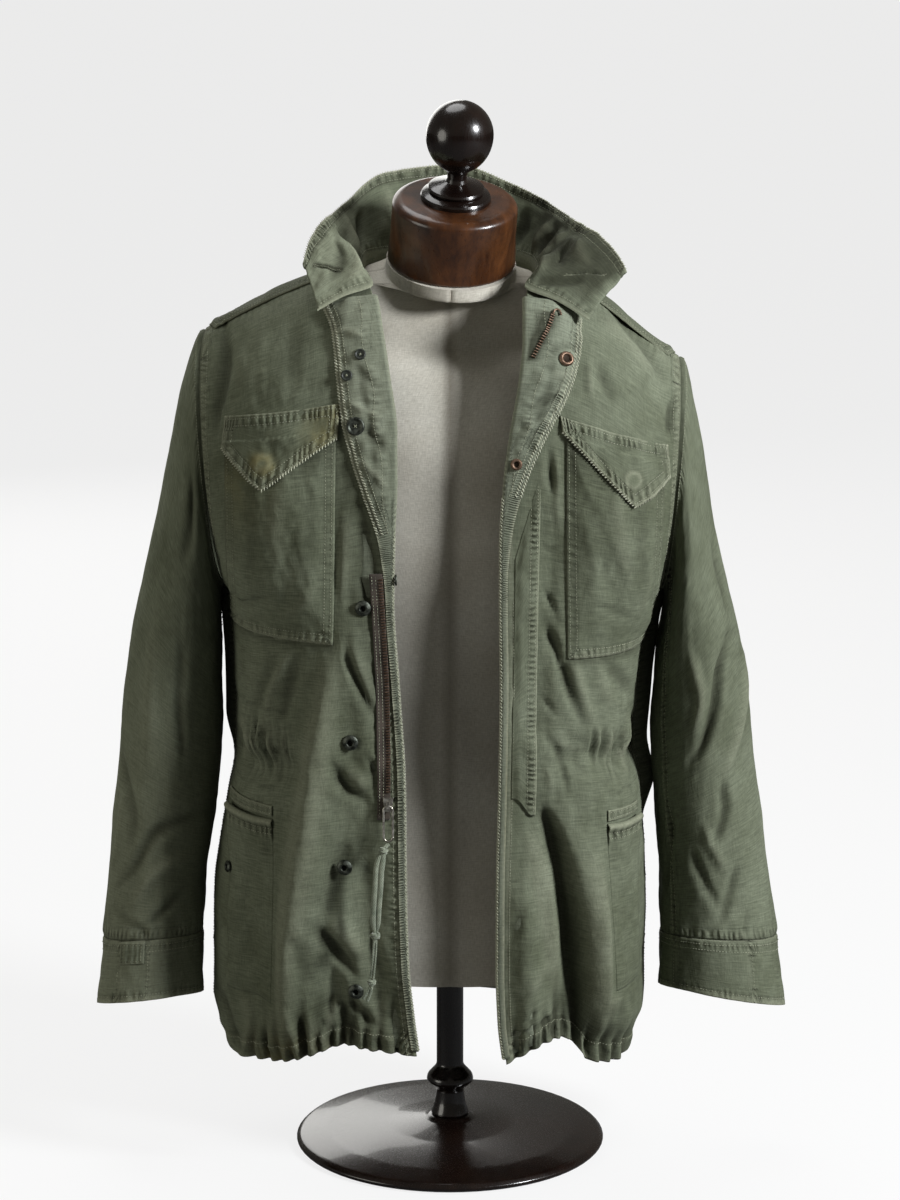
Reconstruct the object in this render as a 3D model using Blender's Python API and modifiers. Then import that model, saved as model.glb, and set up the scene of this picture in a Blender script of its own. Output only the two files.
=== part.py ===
"""Field jacket, worn open with its collar up, on a limbless linen dress form with a turned wood stand.

Metres, +Z up. The origin is at the centre of the stand's underside, and the jacket's front faces -Y. "right"
and "left" are the wearer's, so the right side lies at -X. The shell is lofted from rows: a row runs from the
front edge or the centre back round to the side seam or the armhole, and its level says how far up it lies:
0 at the hem, 1 at the armpit, 2 at the shoulder seam.
"""
import math

import bmesh
import bpy
from mathutils import Matrix, Vector
from mathutils.bvhtree import BVHTree

# Driving dimensions.
WALL = 0.0020            # shell cloth with its seam allowances
FACING = 0.0015          # facing cloth
POCKET = 0.0012          # pocket and flap cloth
GAP = 0.0003             # clearance between touching pieces
SEAM_GAP = 0.0006        # clearance where two walls meet at an angle
SEAT_GAP = 0.0006        # clearance of a piece over the facets of the panel that it lies on
LEVEL_ARMPIT = 1.0
LEVEL_ROLL = 1.8333      # where the roll line of a front meets the neckline
LEVEL_BACK_NECK = 1.75

FRONT_COLUMNS = 14
BACK_COLUMNS = 9
BODY_ROWS = 25           # 12 of its steps run up the armhole, so the sleeve has 24 columns
SLEEVE_COLUMNS = 24
SLEEVE_ROWS = 12

SIDES = {"right": -1.0, "left": 1.0}

# Front edge, then roll line, then neckline, of each front: level, distance from the middle, y, z.
FRONT_EDGE = {
    "right": (
        (0.00, 0.031, -0.138, 0.132),
        (0.08, 0.036, -0.141, 0.170),
        (0.20, 0.041, -0.145, 0.222),
        (0.35, 0.043, -0.148, 0.288),
        (0.60, 0.044, -0.150, 0.400),
        (0.80, 0.049, -0.151, 0.490),
        (1.00, 0.054, -0.151, 0.572),
        (1.15, 0.053, -0.150, 0.620),
        (1.30, 0.052, -0.149, 0.675),
        (1.45, 0.052, -0.146, 0.728),
        (1.60, 0.058, -0.138, 0.775),
        (1.70, 0.064, -0.122, 0.812),
        (LEVEL_ROLL, 0.072, -0.088, 0.850),
        (1.92, 0.083, -0.035, 0.862),
        (2.00, 0.081, 0.005, 0.865),
    ),
    "left": (
        (0.00, 0.053, -0.138, 0.124),
        (0.08, 0.048, -0.141, 0.165),
        (0.20, 0.046, -0.145, 0.220),
        (0.35, 0.046, -0.148, 0.288),
        (0.60, 0.048, -0.150, 0.400),
        (0.80, 0.049, -0.151, 0.490),
        (1.00, 0.048, -0.151, 0.572),
        (1.15, 0.048, -0.150, 0.620),
        (1.30, 0.051, -0.149, 0.675),
        (1.45, 0.058, -0.146, 0.725),
        (1.60, 0.066, -0.137, 0.770),
        (1.70, 0.070, -0.120, 0.808),
        (LEVEL_ROLL, 0.070, -0.088, 0.848),
        (1.92, 0.081, -0.035, 0.858),
        (2.00, 0.079, 0.005, 0.860),
    ),
}
# Side seam: level, distance from the middle, y, z.
SIDE_SEAM = {
    "right": (
        (0.00, 0.217, -0.010, 0.124),
        (0.10, 0.228, -0.010, 0.165),
        (0.30, 0.227, -0.010, 0.250),
        (0.55, 0.212, -0.008, 0.360),
        (0.66, 0.203, -0.008, 0.405),
        (0.78, 0.203, -0.005, 0.460),
        (0.90, 0.206, -0.002, 0.515),
        (1.00, 0.210, 0.000, 0.560),
    ),
    "left": (
        (0.00, 0.178, -0.010, 0.122),
        (0.10, 0.187, -0.010, 0.165),
        (0.30, 0.188, -0.010, 0.250),
        (0.55, 0.182, -0.008, 0.360),
        (0.66, 0.174, -0.008, 0.405),
        (0.78, 0.177, -0.005, 0.460),
        (0.90, 0.184, -0.002, 0.515),
        (1.00, 0.197, 0.000, 0.555),
    ),
}
# Armhole: distance from the middle and height of its top and bottom, half depth, bow of its front.
ARMHOLE = {
    "right": {"top": (0.228, 0.800), "bottom": (0.210, 0.560), "half_depth": 0.078, "bow": 0.008},
    "left": {"top": (0.214, 0.774), "bottom": (0.197, 0.555), "half_depth": 0.078, "bow": 0.003},
}
# Centre back, then back neckline: level, distance from the middle, y, z.
CENTRE_BACK = (
    (0.00, 0.000, 0.112, 0.118),
    (0.10, 0.000, 0.119, 0.160),
    (0.30, 0.000, 0.112, 0.250),
    (0.60, 0.000, 0.098, 0.395),
    (0.80, 0.000, 0.108, 0.490),
    (1.00, 0.000, 0.121, 0.575),
    (1.30, 0.000, 0.128, 0.680),
    (1.55, 0.000, 0.120, 0.765),
    (1.64, 0.000, 0.104, 0.818),
    (LEVEL_BACK_NECK, 0.000, 0.080, 0.857),
    (1.8333, 0.036, 0.070, 0.861),
    (1.9167, 0.064, 0.042, 0.863),
    (2.00, 0.080, 0.005, 0.8625),
)
# Heading of a row at the front edge or the centre back: level, outward, toward the panel's face, up.
EDGE_HEADING = (
    (0.00, 1.00, 0.02, 0.00),
    (1.20, 1.00, 0.02, 0.00),
    (1.60, 1.00, -0.10, -0.05),
    (1.82, 0.90, -0.10, -0.22),
    (2.00, 0.95, 0.00, -0.26),
)
# Heading of a row where it leaves the side seam or armhole: level, inward, toward the panel's face, up.
SIDE_HEADING = (
    (0.00, 0.00, 1.00, 0.00),
    (1.00, 0.00, 1.00, 0.00),
    (1.40, 0.30, 0.95, 0.02),
    (1.60, 0.55, 0.80, 0.15),
    (1.80, 0.80, 0.40, 0.40),
    (2.00, 0.84, 0.00, 0.54),
)
# Reach of a row's two ends as shares of its chord: level, at the edge, at the side.
ROW_REACH = (
    (0.00, 0.46, 0.42),
    (1.00, 0.50, 0.46),
    (1.50, 0.44, 0.40),
    (2.00, 0.33, 0.33),
)
# Width of the turned-back front: level, width.
TURN_WIDTH = {
    "right": (
        (0.00, 0.004),
        (0.98, 0.004),
        (1.15, 0.010),
        (1.30, 0.027),
        (1.40, 0.038),
        (1.50, 0.045),
        (1.60, 0.044),
        (1.72, 0.042),
        (1.81, 0.048),
    ),
    "left": (
        (0.00, 0.004),
        (1.05, 0.004),
        (1.20, 0.008),
        (1.33, 0.017),
        (1.45, 0.028),
        (1.55, 0.038),
        (1.65, 0.047),
        (1.81, 0.055),
    ),
}
# Hem waves: share of the way from the front edge to the side seam, drop below the straight hem.
HEM_WAVE = {
    "right": ((0.0, 0.000), (0.22, -0.006), (0.5, 0.010), (0.78, 0.014), (1.0, 0.000)),
    "left": ((0.0, 0.000), (0.2, -0.020), (0.32, -0.014), (0.42, 0.006), (0.7, 0.014), (1.0, 0.000)),
}
# Largest folds of the shell: panel, then distance from the middle and height of both ends, half width, rise.
FOLDS = (
    ("right", 0.105, 0.520, 0.150, 0.140, 0.024, 0.014),
    ("right", 0.085, 0.345, 0.060, 0.170, 0.020, -0.010),
    ("right", 0.185, 0.340, 0.190, 0.150, 0.018, -0.008),
    ("right", 0.130, 0.412, 0.195, 0.402, 0.014, -0.009),
    ("right", 0.092, 0.560, 0.070, 0.420, 0.016, 0.007),
    ("right", 0.115, 0.240, 0.100, 0.120, 0.014, -0.010),
    ("left", 0.082, 0.370, 0.122, 0.130, 0.018, -0.016),
    ("left", 0.062, 0.310, 0.072, 0.150, 0.016, 0.009),
    ("left", 0.118, 0.340, 0.158, 0.150, 0.020, 0.010),
    ("left", 0.100, 0.432, 0.168, 0.405, 0.014, -0.008),
    ("left", 0.115, 0.805, 0.175, 0.760, 0.015, 0.006),
    ("left", 0.095, 0.640, 0.075, 0.450, 0.016, -0.006),
    ("back", -0.055, 0.400, -0.080, 0.120, 0.026, 0.014),
    ("back", 0.075, 0.390, 0.060, 0.120, 0.024, -0.013),
    ("back", 0.015, 0.380, 0.000, 0.130, 0.020, 0.010),
    ("back", -0.150, 0.410, 0.150, 0.405, 0.015, -0.010),
    ("back", -0.120, 0.760, -0.095, 0.460, 0.017, -0.012),
    ("back", 0.118, 0.745, 0.095, 0.460, 0.017, -0.012),
)
# Sleeve rings below the armhole: outer x, outer z, inner x, inner z, y, half depth, drop of the back.
SLEEVE_RINGS = {
    "right": (
        (0.249, 0.757, 0.2175, 0.545, 0.000, 0.0810, 0.000),
        (0.260, 0.705, 0.2180, 0.522, 0.000, 0.0830, 0.000),
        (0.279, 0.617, 0.2180, 0.490, 0.002, 0.0800, 0.002),
        (0.304, 0.505, 0.2185, 0.425, 0.005, 0.0740, 0.004),
        (0.316, 0.400, 0.2230, 0.350, 0.002, 0.0690, 0.008),
        (0.326, 0.300, 0.2340, 0.275, -0.008, 0.0640, 0.014),
        (0.333, 0.214, 0.2375, 0.220, -0.020, 0.0590, 0.022),
        (0.339, 0.150, 0.2380, 0.162, -0.028, 0.0570, 0.028),
    ),
    "left": (
        (0.229, 0.732, 0.2040, 0.540, 0.000, 0.0810, 0.000),
        (0.239, 0.680, 0.2020, 0.518, 0.000, 0.0830, 0.000),
        (0.252, 0.605, 0.1970, 0.488, 0.002, 0.0800, 0.002),
        (0.277, 0.500, 0.1930, 0.420, 0.005, 0.0740, 0.004),
        (0.290, 0.400, 0.1960, 0.345, 0.002, 0.0690, 0.008),
        (0.303, 0.300, 0.2010, 0.272, -0.008, 0.0660, 0.014),
        (0.314, 0.216, 0.2020, 0.220, -0.020, 0.0630, 0.022),
        (0.322, 0.148, 0.2010, 0.170, -0.028, 0.0610, 0.028),
    ),
}
NOSE = 0.0030            # radius of a facing round the front edge
NOSE_LOOSE = 0.0016      # how much more that radius is where the front turns back
TURN_SLACK = 0.0018      # how far a turned-back front stands off the front below it
TURN_ARCH = 0.0035       # how much farther it stands off in its middle
FACING_START = 0.012     # level of the foot of a facing
FACING_STOP = 0.62       # share of the row under the neckline that a facing runs up
CUFF_RING = 7            # ring where the cuff is sewn on, counting the armhole as 0
COLLAR_DROP = 0.0003     # how far the collar's seam is let down onto the neckline
# Collar seam: share from the right end to the left end, x, y, z.
COLLAR_SEAM = (
    (-1.00, -0.1200, -0.1080, 0.8340),
    (-0.88, -0.0970, -0.1010, 0.8460),
    (-0.75, -0.0700, -0.0880, 0.8550),
    (-0.55, -0.0810, -0.0350, 0.8660),
    (-0.40, -0.0790, 0.0050, 0.8690),
    (-0.20, -0.0520, 0.0530, 0.8665),
    (0.00, 0.0000, 0.0780, 0.8605),
    (0.20, 0.0520, 0.0530, 0.8660),
    (0.40, 0.0770, 0.0050, 0.8640),
    (0.55, 0.0790, -0.0350, 0.8620),
    (0.75, 0.0680, -0.0880, 0.8530),
    (0.88, 0.0970, -0.1010, 0.8420),
    (1.00, 0.1260, -0.1080, 0.8250),
)
# Collar's outer edge: the same shares, x, y, z.
COLLAR_EDGE = (
    (-1.00, -0.1340, -0.0720, 0.8720),
    (-0.88, -0.1290, -0.0480, 0.8880),
    (-0.75, -0.1220, -0.0280, 0.8990),
    (-0.55, -0.1090, 0.0030, 0.9080),
    (-0.40, -0.0960, 0.0320, 0.9160),
    (-0.20, -0.0620, 0.0820, 0.9370),
    (0.00, 0.0040, 0.1060, 0.9420),
    (0.20, 0.0640, 0.0800, 0.9240),
    (0.40, 0.1020, 0.0340, 0.9080),
    (0.55, 0.1190, 0.0060, 0.8990),
    (0.75, 0.1390, -0.0220, 0.8900),
    (0.88, 0.1520, -0.0450, 0.8780),
    (1.00, 0.1620, -0.0660, 0.8620),
)
# Dress form: z, half width toward the right, half width toward the left, front y, back y, squareness.
TORSO = (
    (0.190, 0.150, 0.148, -0.108, 0.088, 2.3),
    (0.260, 0.154, 0.150, -0.110, 0.090, 2.3),
    (0.340, 0.148, 0.145, -0.106, 0.084, 2.3),
    (0.420, 0.140, 0.136, -0.100, 0.076, 2.3),
    (0.520, 0.150, 0.148, -0.106, 0.084, 2.3),
    (0.620, 0.166, 0.164, -0.116, 0.094, 2.3),
    (0.690, 0.174, 0.170, -0.116, 0.098, 2.2),
    (0.735, 0.178, 0.170, -0.106, 0.096, 2.1),
    (0.770, 0.176, 0.160, -0.090, 0.086, 2.0),
)
TORSO_RIDGE_LEVELS = (0.790, 0.808, 0.825, 0.838, 0.848)
STAND_POLE_RADIUS = 0.013
STAND_BASE_RADIUS = 0.150
STAND_BASE_HEIGHT = 0.026
CAP_RADIUS = 0.058
CAP_HEIGHT = 0.062
CAP_TOP = Vector((0.005, -0.034, 0.9250))
CAP_FORWARD = math.radians(18.0)
CAP_LEAN = math.radians(3.5)
NECK_RADIUS = 0.0605
FORM_CLEAR = 0.0022       # clearance of the form under the ridge of the jacket's shoulders
SHOULDER_WIDTH = 0.185   # most that the form's shoulders reach out
FINIAL_RADIUS = 0.031


# --- Numbers -----------------------------------------------------------------------------------------------

def smooth_row(rows, t):
    """The other columns of a table at t, its first column, through a cubic that never overshoots."""
    last = len(rows) - 1
    if t <= rows[0][0]:
        return rows[0][1:]
    if t >= rows[last][0]:
        return rows[last][1:]
    k = max(i for i in range(last) if rows[i][0] <= t)
    span = rows[k + 1][0] - rows[k][0]
    u = (t - rows[k][0]) / span
    values = []
    for column in range(1, len(rows[0])):
        def slope(i):
            return (rows[i + 1][column] - rows[i][column]) / (rows[i + 1][0] - rows[i][0])

        def tangent(i):
            if i == 0:
                return slope(0)
            if i == last:
                return slope(last - 1)
            before, after = slope(i - 1), slope(i)
            return 0.0 if before * after <= 0 else 2 * before * after / (before + after)

        a, b = rows[k][column], rows[k + 1][column]
        ta, tb = tangent(k) * span, tangent(k + 1) * span
        values.append(
            a * (1 + 2 * u) * (1 - u) ** 2 + ta * u * (1 - u) ** 2
            + b * u * u * (3 - 2 * u) - tb * u * u * (1 - u)
        )
    return tuple(values)


def ease(a, b, t):
    """0 below a, 1 above b, and smooth between."""
    u = min(1.0, max(0.0, (t - a) / (b - a)))
    return u * u * (3 - 2 * u)


def bezier(p0, p1, p2, p3, s):
    r = 1 - s
    return p0 * r ** 3 + p1 * (3 * r * r * s) + p2 * (3 * r * s * s) + p3 * s ** 3


# --- Shell surfaces ----------------------------------------------------------------------------------------

def armhole_point(side, turn):
    """A point of the armhole: turn is 0 at its top, pi / 2 at its front and pi at the armpit."""
    hole, sign = ARMHOLE[side], SIDES[side]
    share = (1 + math.cos(turn)) / 2
    out = hole["bottom"][0] + (hole["top"][0] - hole["bottom"][0]) * share + hole["bow"] * abs(math.sin(turn))
    z = hole["bottom"][1] + (hole["top"][1] - hole["bottom"][1]) * share
    return Vector((sign * out, -hole["half_depth"] * math.sin(turn), z))


def side_point(side, level, face):
    """End of a row at the side seam or armhole; face is -1 on a front and 1 on the back."""
    if level < LEVEL_ARMPIT:
        out, y, z = smooth_row(SIDE_SEAM[side], level)
        return Vector((SIDES[side] * out, y + face * GAP, z))
    turn = math.pi * (2 - level)
    point = armhole_point(side, turn if face < 0 else -turn)
    point.y += face * GAP
    return point


def row_point(side, level, s, edge, face):
    """A point of a shell row from its edge (s = 0) to its side (s = 1)."""
    sign = SIDES[side]
    out, y, z = smooth_row(edge, level)
    start = Vector((sign * out, y, z))
    end = side_point(side, level, face)
    away = smooth_row(EDGE_HEADING, level)
    back = smooth_row(SIDE_HEADING, level)
    reach = smooth_row(ROW_REACH, level)
    chord = (end - start).length
    part = Vector((0.0, face * SEAM_GAP * ease(1.85, 2.0, level), 0.0))
    leave = Vector((sign * away[0], face * away[1], away[2])).normalized()
    arrive = Vector((-sign * back[0], face * back[1], back[2])).normalized()
    return bezier(start, start + leave * chord * reach[0], end + arrive * chord * reach[1], end, s) + part


def fold_rise(panel, x, z):
    """How far the folds of a panel lift its cloth at a place."""
    total = 0.0
    for name, x0, z0, x1, z1, width, rise in FOLDS:
        if name != panel:
            continue
        along = ((x - x0) * (x1 - x0) + (z - z0) * (z1 - z0)) / ((x1 - x0) ** 2 + (z1 - z0) ** 2)
        reach = min(1.0, max(0.0, along))
        off = math.hypot(x - x0 - reach * (x1 - x0), z - z0 - reach * (z1 - z0))
        fade = ease(-0.12, 0.25, along) * (1 - ease(0.95, 1.15, along))
        total += rise * math.exp(-(off / width) ** 2) * fade
    return total


def front_base(side, level, s):
    point = row_point(side, level, s, FRONT_EDGE[side], -1)
    drop = smooth_row(HEM_WAVE[side], s)[0]
    point.z -= drop * (1 - ease(0.0, 0.22, level))
    return point


def back_base(side, level, s):
    return row_point(side, level, s, CENTRE_BACK, 1)


def normal_of(surface, side, level, s, outward):
    step = 0.004
    s0, s1 = max(0.0, s - step), min(1.0, s + step)
    l0, l1 = max(0.0, level - step), min(2.0, level + step)
    across = surface(side, level, s1) - surface(side, level, s0)
    up = surface(side, l1, s) - surface(side, l0, s)
    normal = across.cross(up).normalized()
    return normal if normal.dot(outward) > 0 else -normal


def front_point(side, level, s, lift=0.0):
    """A point of a front, moved out by its folds and by lift."""
    base = front_base(side, level, s)
    normal = normal_of(front_base, side, level, s, Vector((SIDES[side] * 0.3 * s, -1.0, 0.3)))
    quiet = ease(0.0, 0.12, s) * (1 - ease(0.82, 1.0, s))
    rise = fold_rise(side, abs(base.x), base.z) * quiet
    return base + normal * (rise + lift)


def back_point(side, level, s):
    """A point of the back, moved out by its folds."""
    base = back_base(side, level, s)
    normal = normal_of(back_base, side, level, s, Vector((SIDES[side] * 0.3 * s, 1.0, 0.3)))
    if s == 0.0 and level <= LEVEL_BACK_NECK:
        normal = Vector((0.0, normal.y, normal.z)).normalized()
    rise = fold_rise("back", base.x, base.z) * (1 - ease(0.82, 1.0, s)) * (1 - ease(1.6, 1.75, level))
    return base + normal * rise


def seat(panels, point, outward, lift):
    """The place above a point where a piece clears the outer facets of the panels by lift."""
    start = point + outward * SEAT_REACH
    best = None
    for name in panels:
        hit = SURFACES[name].ray_cast(start, -outward, 2 * SEAT_REACH)
        if hit[0] and (best is None or hit[3] < best):
            best = hit[3]
    if best is None:
        return point + outward * lift
    return start - outward * (best - lift)


def front_at(side, out, z, lift=0.0, panels=None):
    """The place over a front's facets at a distance from the middle and a height, and the way out of it."""
    level, s = front_place(side, out, z)
    normal = normal_of(front_base, side, level, s, Vector((SIDES[side] * 0.3 * s, -1.0, 0.3)))
    return seat(panels or [f"front_{side}"], front_point(side, level, s), normal, lift), normal


def front_place(side, out, z):
    """Level and share of the place on a front at a distance from the middle and a height."""
    level, s = 1.0, 0.5
    for _ in range(14):
        here = front_base(side, level, s)
        ds = front_base(side, level, min(1.0, s + 0.01)) - front_base(side, level, max(0.0, s - 0.01))
        dl = front_base(side, min(2.0, level + 0.01), s) - front_base(side, max(0.0, level - 0.01), s)
        width_s = min(1.0, s + 0.01) - max(0.0, s - 0.01)
        width_l = min(2.0, level + 0.01) - max(0.0, level - 0.01)
        a, b = SIDES[side] * ds.x / width_s, SIDES[side] * dl.x / width_l
        c, d = ds.z / width_s, dl.z / width_l
        ex, ez = out - abs(here.x), z - here.z
        det = a * d - b * c
        s = min(1.0, max(0.0, s + 0.8 * (d * ex - b * ez) / det))
        level = min(2.0, max(0.0, level + 0.8 * (a * ez - c * ex) / det))
    return level, s


def shoulder_point(side, along, across):
    """A point on top of the shoulder: across is below 0 on the front and above 0 on the back, in levels."""
    surface = front_point if across < 0 else back_point
    return surface(side, 2.0 - abs(across), along)


def ring_point(side, ring, turn):
    """A point of a sleeve ring below the armhole."""
    outer_x, outer_z, inner_x, inner_z, y, half_depth, drop = SLEEVE_RINGS[side][ring]
    share = (1 + math.cos(turn)) / 2
    x = inner_x + (outer_x - inner_x) * share
    z = inner_z + (outer_z - inner_z) * share + drop * math.sin(turn) / 2
    return Vector((SIDES[side] * x, y - half_depth * math.sin(turn), z))


def sleeve_point(side, ring, turn):
    """A point of the sleeve, through its rings; ring 0 is the armhole."""
    def at(k):
        if k <= 0:
            out = SEAM_GAP + WALL * max(0.0, math.cos(turn))
            return armhole_point(side, turn) + Vector((SIDES[side] * out, 0, 0))
        return ring_point(side, min(k, len(SLEEVE_RINGS[side])) - 1, turn)

    last = len(SLEEVE_RINGS[side])
    k = min(int(ring), last - 1)
    u = ring - k
    a, b = at(k), at(k + 1)
    ta = (b - at(k - 1)) * 0.5 if k > 0 else Vector((SIDES[side] * 0.02, 0, -0.012))
    tb = (at(k + 2) - a) * 0.5 if k + 2 <= last else b - a
    return (
        a * (1 + 2 * u) * (1 - u) ** 2 + ta * u * (1 - u) ** 2
        + b * u * u * (3 - 2 * u) - tb * u * u * (1 - u)
    )


# Facets of the panels that other pieces lie on, by node name.
SURFACES = {}
SEAT_REACH = 0.020


# --- Mesh building -----------------------------------------------------------------------------------------

def new_collection(name):
    collection = bpy.data.collections.new(name)
    bpy.context.scene.collection.children.link(collection)
    return collection


def material(name, colour, roughness, metallic=0.0):
    made = bpy.data.materials.get(name)
    if made:
        return made
    made = bpy.data.materials.new(name)
    made.use_nodes = True
    shader = made.node_tree.nodes["Principled BSDF"]
    shader.inputs["Base Color"].default_value = (*colour, 1.0)
    shader.inputs["Roughness"].default_value = roughness
    shader.inputs["Metallic"].default_value = metallic
    return made


MATERIALS = {
    "cotton": ((0.115, 0.130, 0.078), 0.90, 0.0),
    "facing": ((0.105, 0.115, 0.068), 0.90, 0.0),
    "tape": ((0.075, 0.052, 0.035), 0.85, 0.0),
    "linen": ((0.55, 0.51, 0.42), 0.95, 0.0),
    "burl": ((0.105, 0.040, 0.016), 0.25, 0.0),
    "ebony": ((0.012, 0.007, 0.007), 0.18, 0.0),
    "copper": ((0.36, 0.20, 0.12), 0.40, 1.0),
    "gunmetal": ((0.10, 0.11, 0.10), 0.45, 1.0),
    "steel": ((0.30, 0.28, 0.25), 0.35, 1.0),
    "button": ((0.045, 0.055, 0.040), 0.50, 0.0),
    "cord": ((0.22, 0.25, 0.19), 0.90, 0.0),
}


def add_object(name, mesh, kind, collection):
    thing = bpy.data.objects.new(name, mesh)
    collection.objects.link(thing)
    mesh.materials.append(material(kind, *MATERIALS[kind]))
    return thing


def grid_mesh(name, points, closed=False):
    """A mesh of quads through rows of points; closed joins each row's ends."""
    mesh = bmesh.new()
    rows = [[mesh.verts.new(point) for point in row] for row in points]
    width = len(rows[0])
    for lower, upper in zip(rows, rows[1:]):
        for i in range(width if closed else width - 1):
            j = (i + 1) % width
            mesh.faces.new((lower[i], lower[j], upper[j], upper[i]))
    bmesh.ops.remove_doubles(mesh, verts=mesh.verts, dist=0.00002)
    bmesh.ops.triangulate(mesh, faces=mesh.faces)
    data = bpy.data.meshes.new(name)
    mesh.to_mesh(data)
    mesh.free()
    return data


def face_toward(data, outward):
    """Turns a sheet over where the sum of its face normals runs against outward."""
    total = sum((face.normal * face.area for face in data.polygons), Vector())
    if total.dot(outward) < 0:
        data.flip_normals()


def face_from(data, centre):
    """Turns a tube over where its faces point at its axis."""
    total = sum((f.area * f.normal.dot(f.center - centre(f.center)) for f in data.polygons), 0.0)
    if total < 0:
        data.flip_normals()


def wall(name, data, thickness, kind, collection, offset=-1.0):
    """A sheet made a closed wall: offset -1 puts the thickness behind the sheet's face."""
    thing = add_object(name, data, kind, collection)
    solid = thing.modifiers.new("Wall", "SOLIDIFY")
    solid.thickness = thickness
    solid.offset = offset
    solid.use_even_offset = False
    data.shade_smooth()
    bpy.context.view_layer.update()
    SURFACES[name] = BVHTree.FromObject(thing, bpy.context.evaluated_depsgraph_get())
    return thing


def turned(name, profile, steps, kind, collection):
    """A closed turned solid from a profile of (radius, height), from the top of the axis to its bottom."""
    mesh = bmesh.new()
    verts = [mesh.verts.new((radius, 0.0, height)) for radius, height in profile]
    for upper, lower in zip(verts, verts[1:]):
        mesh.edges.new((upper, lower))
    data = bpy.data.meshes.new(name)
    mesh.to_mesh(data)
    mesh.free()
    thing = add_object(name, data, kind, collection)
    screw = thing.modifiers.new("Turn", "SCREW")
    screw.steps = steps
    screw.render_steps = steps
    screw.use_merge_vertices = True
    screw.merge_threshold = 0.00002
    screw.use_smooth_shade = True
    return thing


def along_axis(origin, axis):
    """The placement whose +Z runs along axis, with +X kept level."""
    forward = axis.normalized()
    across = Vector((0, 1, 0)).cross(forward)
    if across.length < 0.2:
        across = Vector((0, 0, 1)).cross(forward)
    across.normalize()
    up = forward.cross(across)
    turn = Matrix((across, up, forward)).transposed().to_4x4()
    return Matrix.Translation(origin) @ turn


# --- Shell -------------------------------------------------------------------------------------------------

def body_levels():
    """Levels of the shell's rows."""
    return [2.0 * (i / (BODY_ROWS - 1)) for i in range(BODY_ROWS)]


def build_front(side, collection):
    rows = [
        [front_point(side, level, i / (FRONT_COLUMNS - 1)) for i in range(FRONT_COLUMNS)]
        for level in body_levels()
    ]
    data = grid_mesh(f"front_{side}", rows)
    face_toward(data, Vector((0, -1, 0)))
    wall(f"front_{side}", data, WALL, "cotton", collection)


def build_back(collection):
    """Both halves of the back share their middle column up to the neck and part along the neckline."""
    rows = []
    for level in body_levels():
        right = [back_point("right", level, 1 - i / (BACK_COLUMNS - 1)) for i in range(BACK_COLUMNS)]
        left = [back_point("left", level, i / (BACK_COLUMNS - 1)) for i in range(BACK_COLUMNS)]
        rows.append(right + left)
    mesh = bmesh.new()
    made = [[mesh.verts.new(point) for point in row] for row in rows]
    for lower, upper in zip(made, made[1:]):
        for i in range(2 * BACK_COLUMNS - 1):
            if i == BACK_COLUMNS - 1:
                continue
            mesh.faces.new((lower[i], lower[i + 1], upper[i + 1], upper[i]))
    bmesh.ops.remove_doubles(mesh, verts=mesh.verts, dist=0.00002)
    bmesh.ops.triangulate(mesh, faces=mesh.faces)
    data = bpy.data.meshes.new("back")
    mesh.to_mesh(data)
    mesh.free()
    face_toward(data, Vector((0, 1, 0)))
    wall("back", data, WALL, "cotton", collection)


def build_sleeve(side, collection):
    turns = [math.tau * i / SLEEVE_COLUMNS for i in range(SLEEVE_COLUMNS)]

    def axis(place):
        rings = SLEEVE_RINGS[side]
        nearest = min(rings, key=lambda ring: abs((ring[1] + ring[3]) / 2 - place.z))
        return Vector((SIDES[side] * (nearest[0] + nearest[2]) / 2, nearest[4], place.z))

    rings = [CUFF_RING * (i / (SLEEVE_ROWS - 1)) for i in range(SLEEVE_ROWS)]
    rows = [[sleeve_point(side, ring, turn) for turn in turns] for ring in rings]
    data = grid_mesh(f"sleeve_{side}", rows, closed=True)
    face_from(data, axis)
    wall(f"sleeve_{side}", data, WALL, "cotton", collection)

    drop = Vector((0, 0, -SEAM_GAP))
    rings = [CUFF_RING + i / 2 for i in range(3)]
    rows = [[sleeve_point(side, ring, turn) + drop for turn in turns] for ring in rings]
    data = grid_mesh(f"cuff_{side}", rows, closed=True)
    face_from(data, axis)
    wall(f"cuff_{side}", data, WALL, "cotton", collection)


def collar_point(share, height):
    """A point of the collar from its seam (height 0) to its outer edge (height 1), bowed in like a funnel."""
    seam = Vector(smooth_row(COLLAR_SEAM, share)) - Vector((0, 0, COLLAR_DROP))
    edge = Vector(smooth_row(COLLAR_EDGE, share))
    rise = Vector((0.0, 0.0, 0.35 * (edge - seam).length))
    middle = (seam + edge) / 2 + rise * 0.25
    return seam * (1 - height) ** 2 + middle * (2 * height * (1 - height)) + edge * height ** 2


def build_collar(collection):
    columns, rows_up = 33, 5
    rows = [
        [collar_point(-1 + 2 * i / (columns - 1), k / (rows_up - 1)) for i in range(columns)]
        for k in range(rows_up)
    ]
    data = grid_mesh("collar", rows)
    wall("collar", data, WALL, "cotton", collection)


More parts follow.
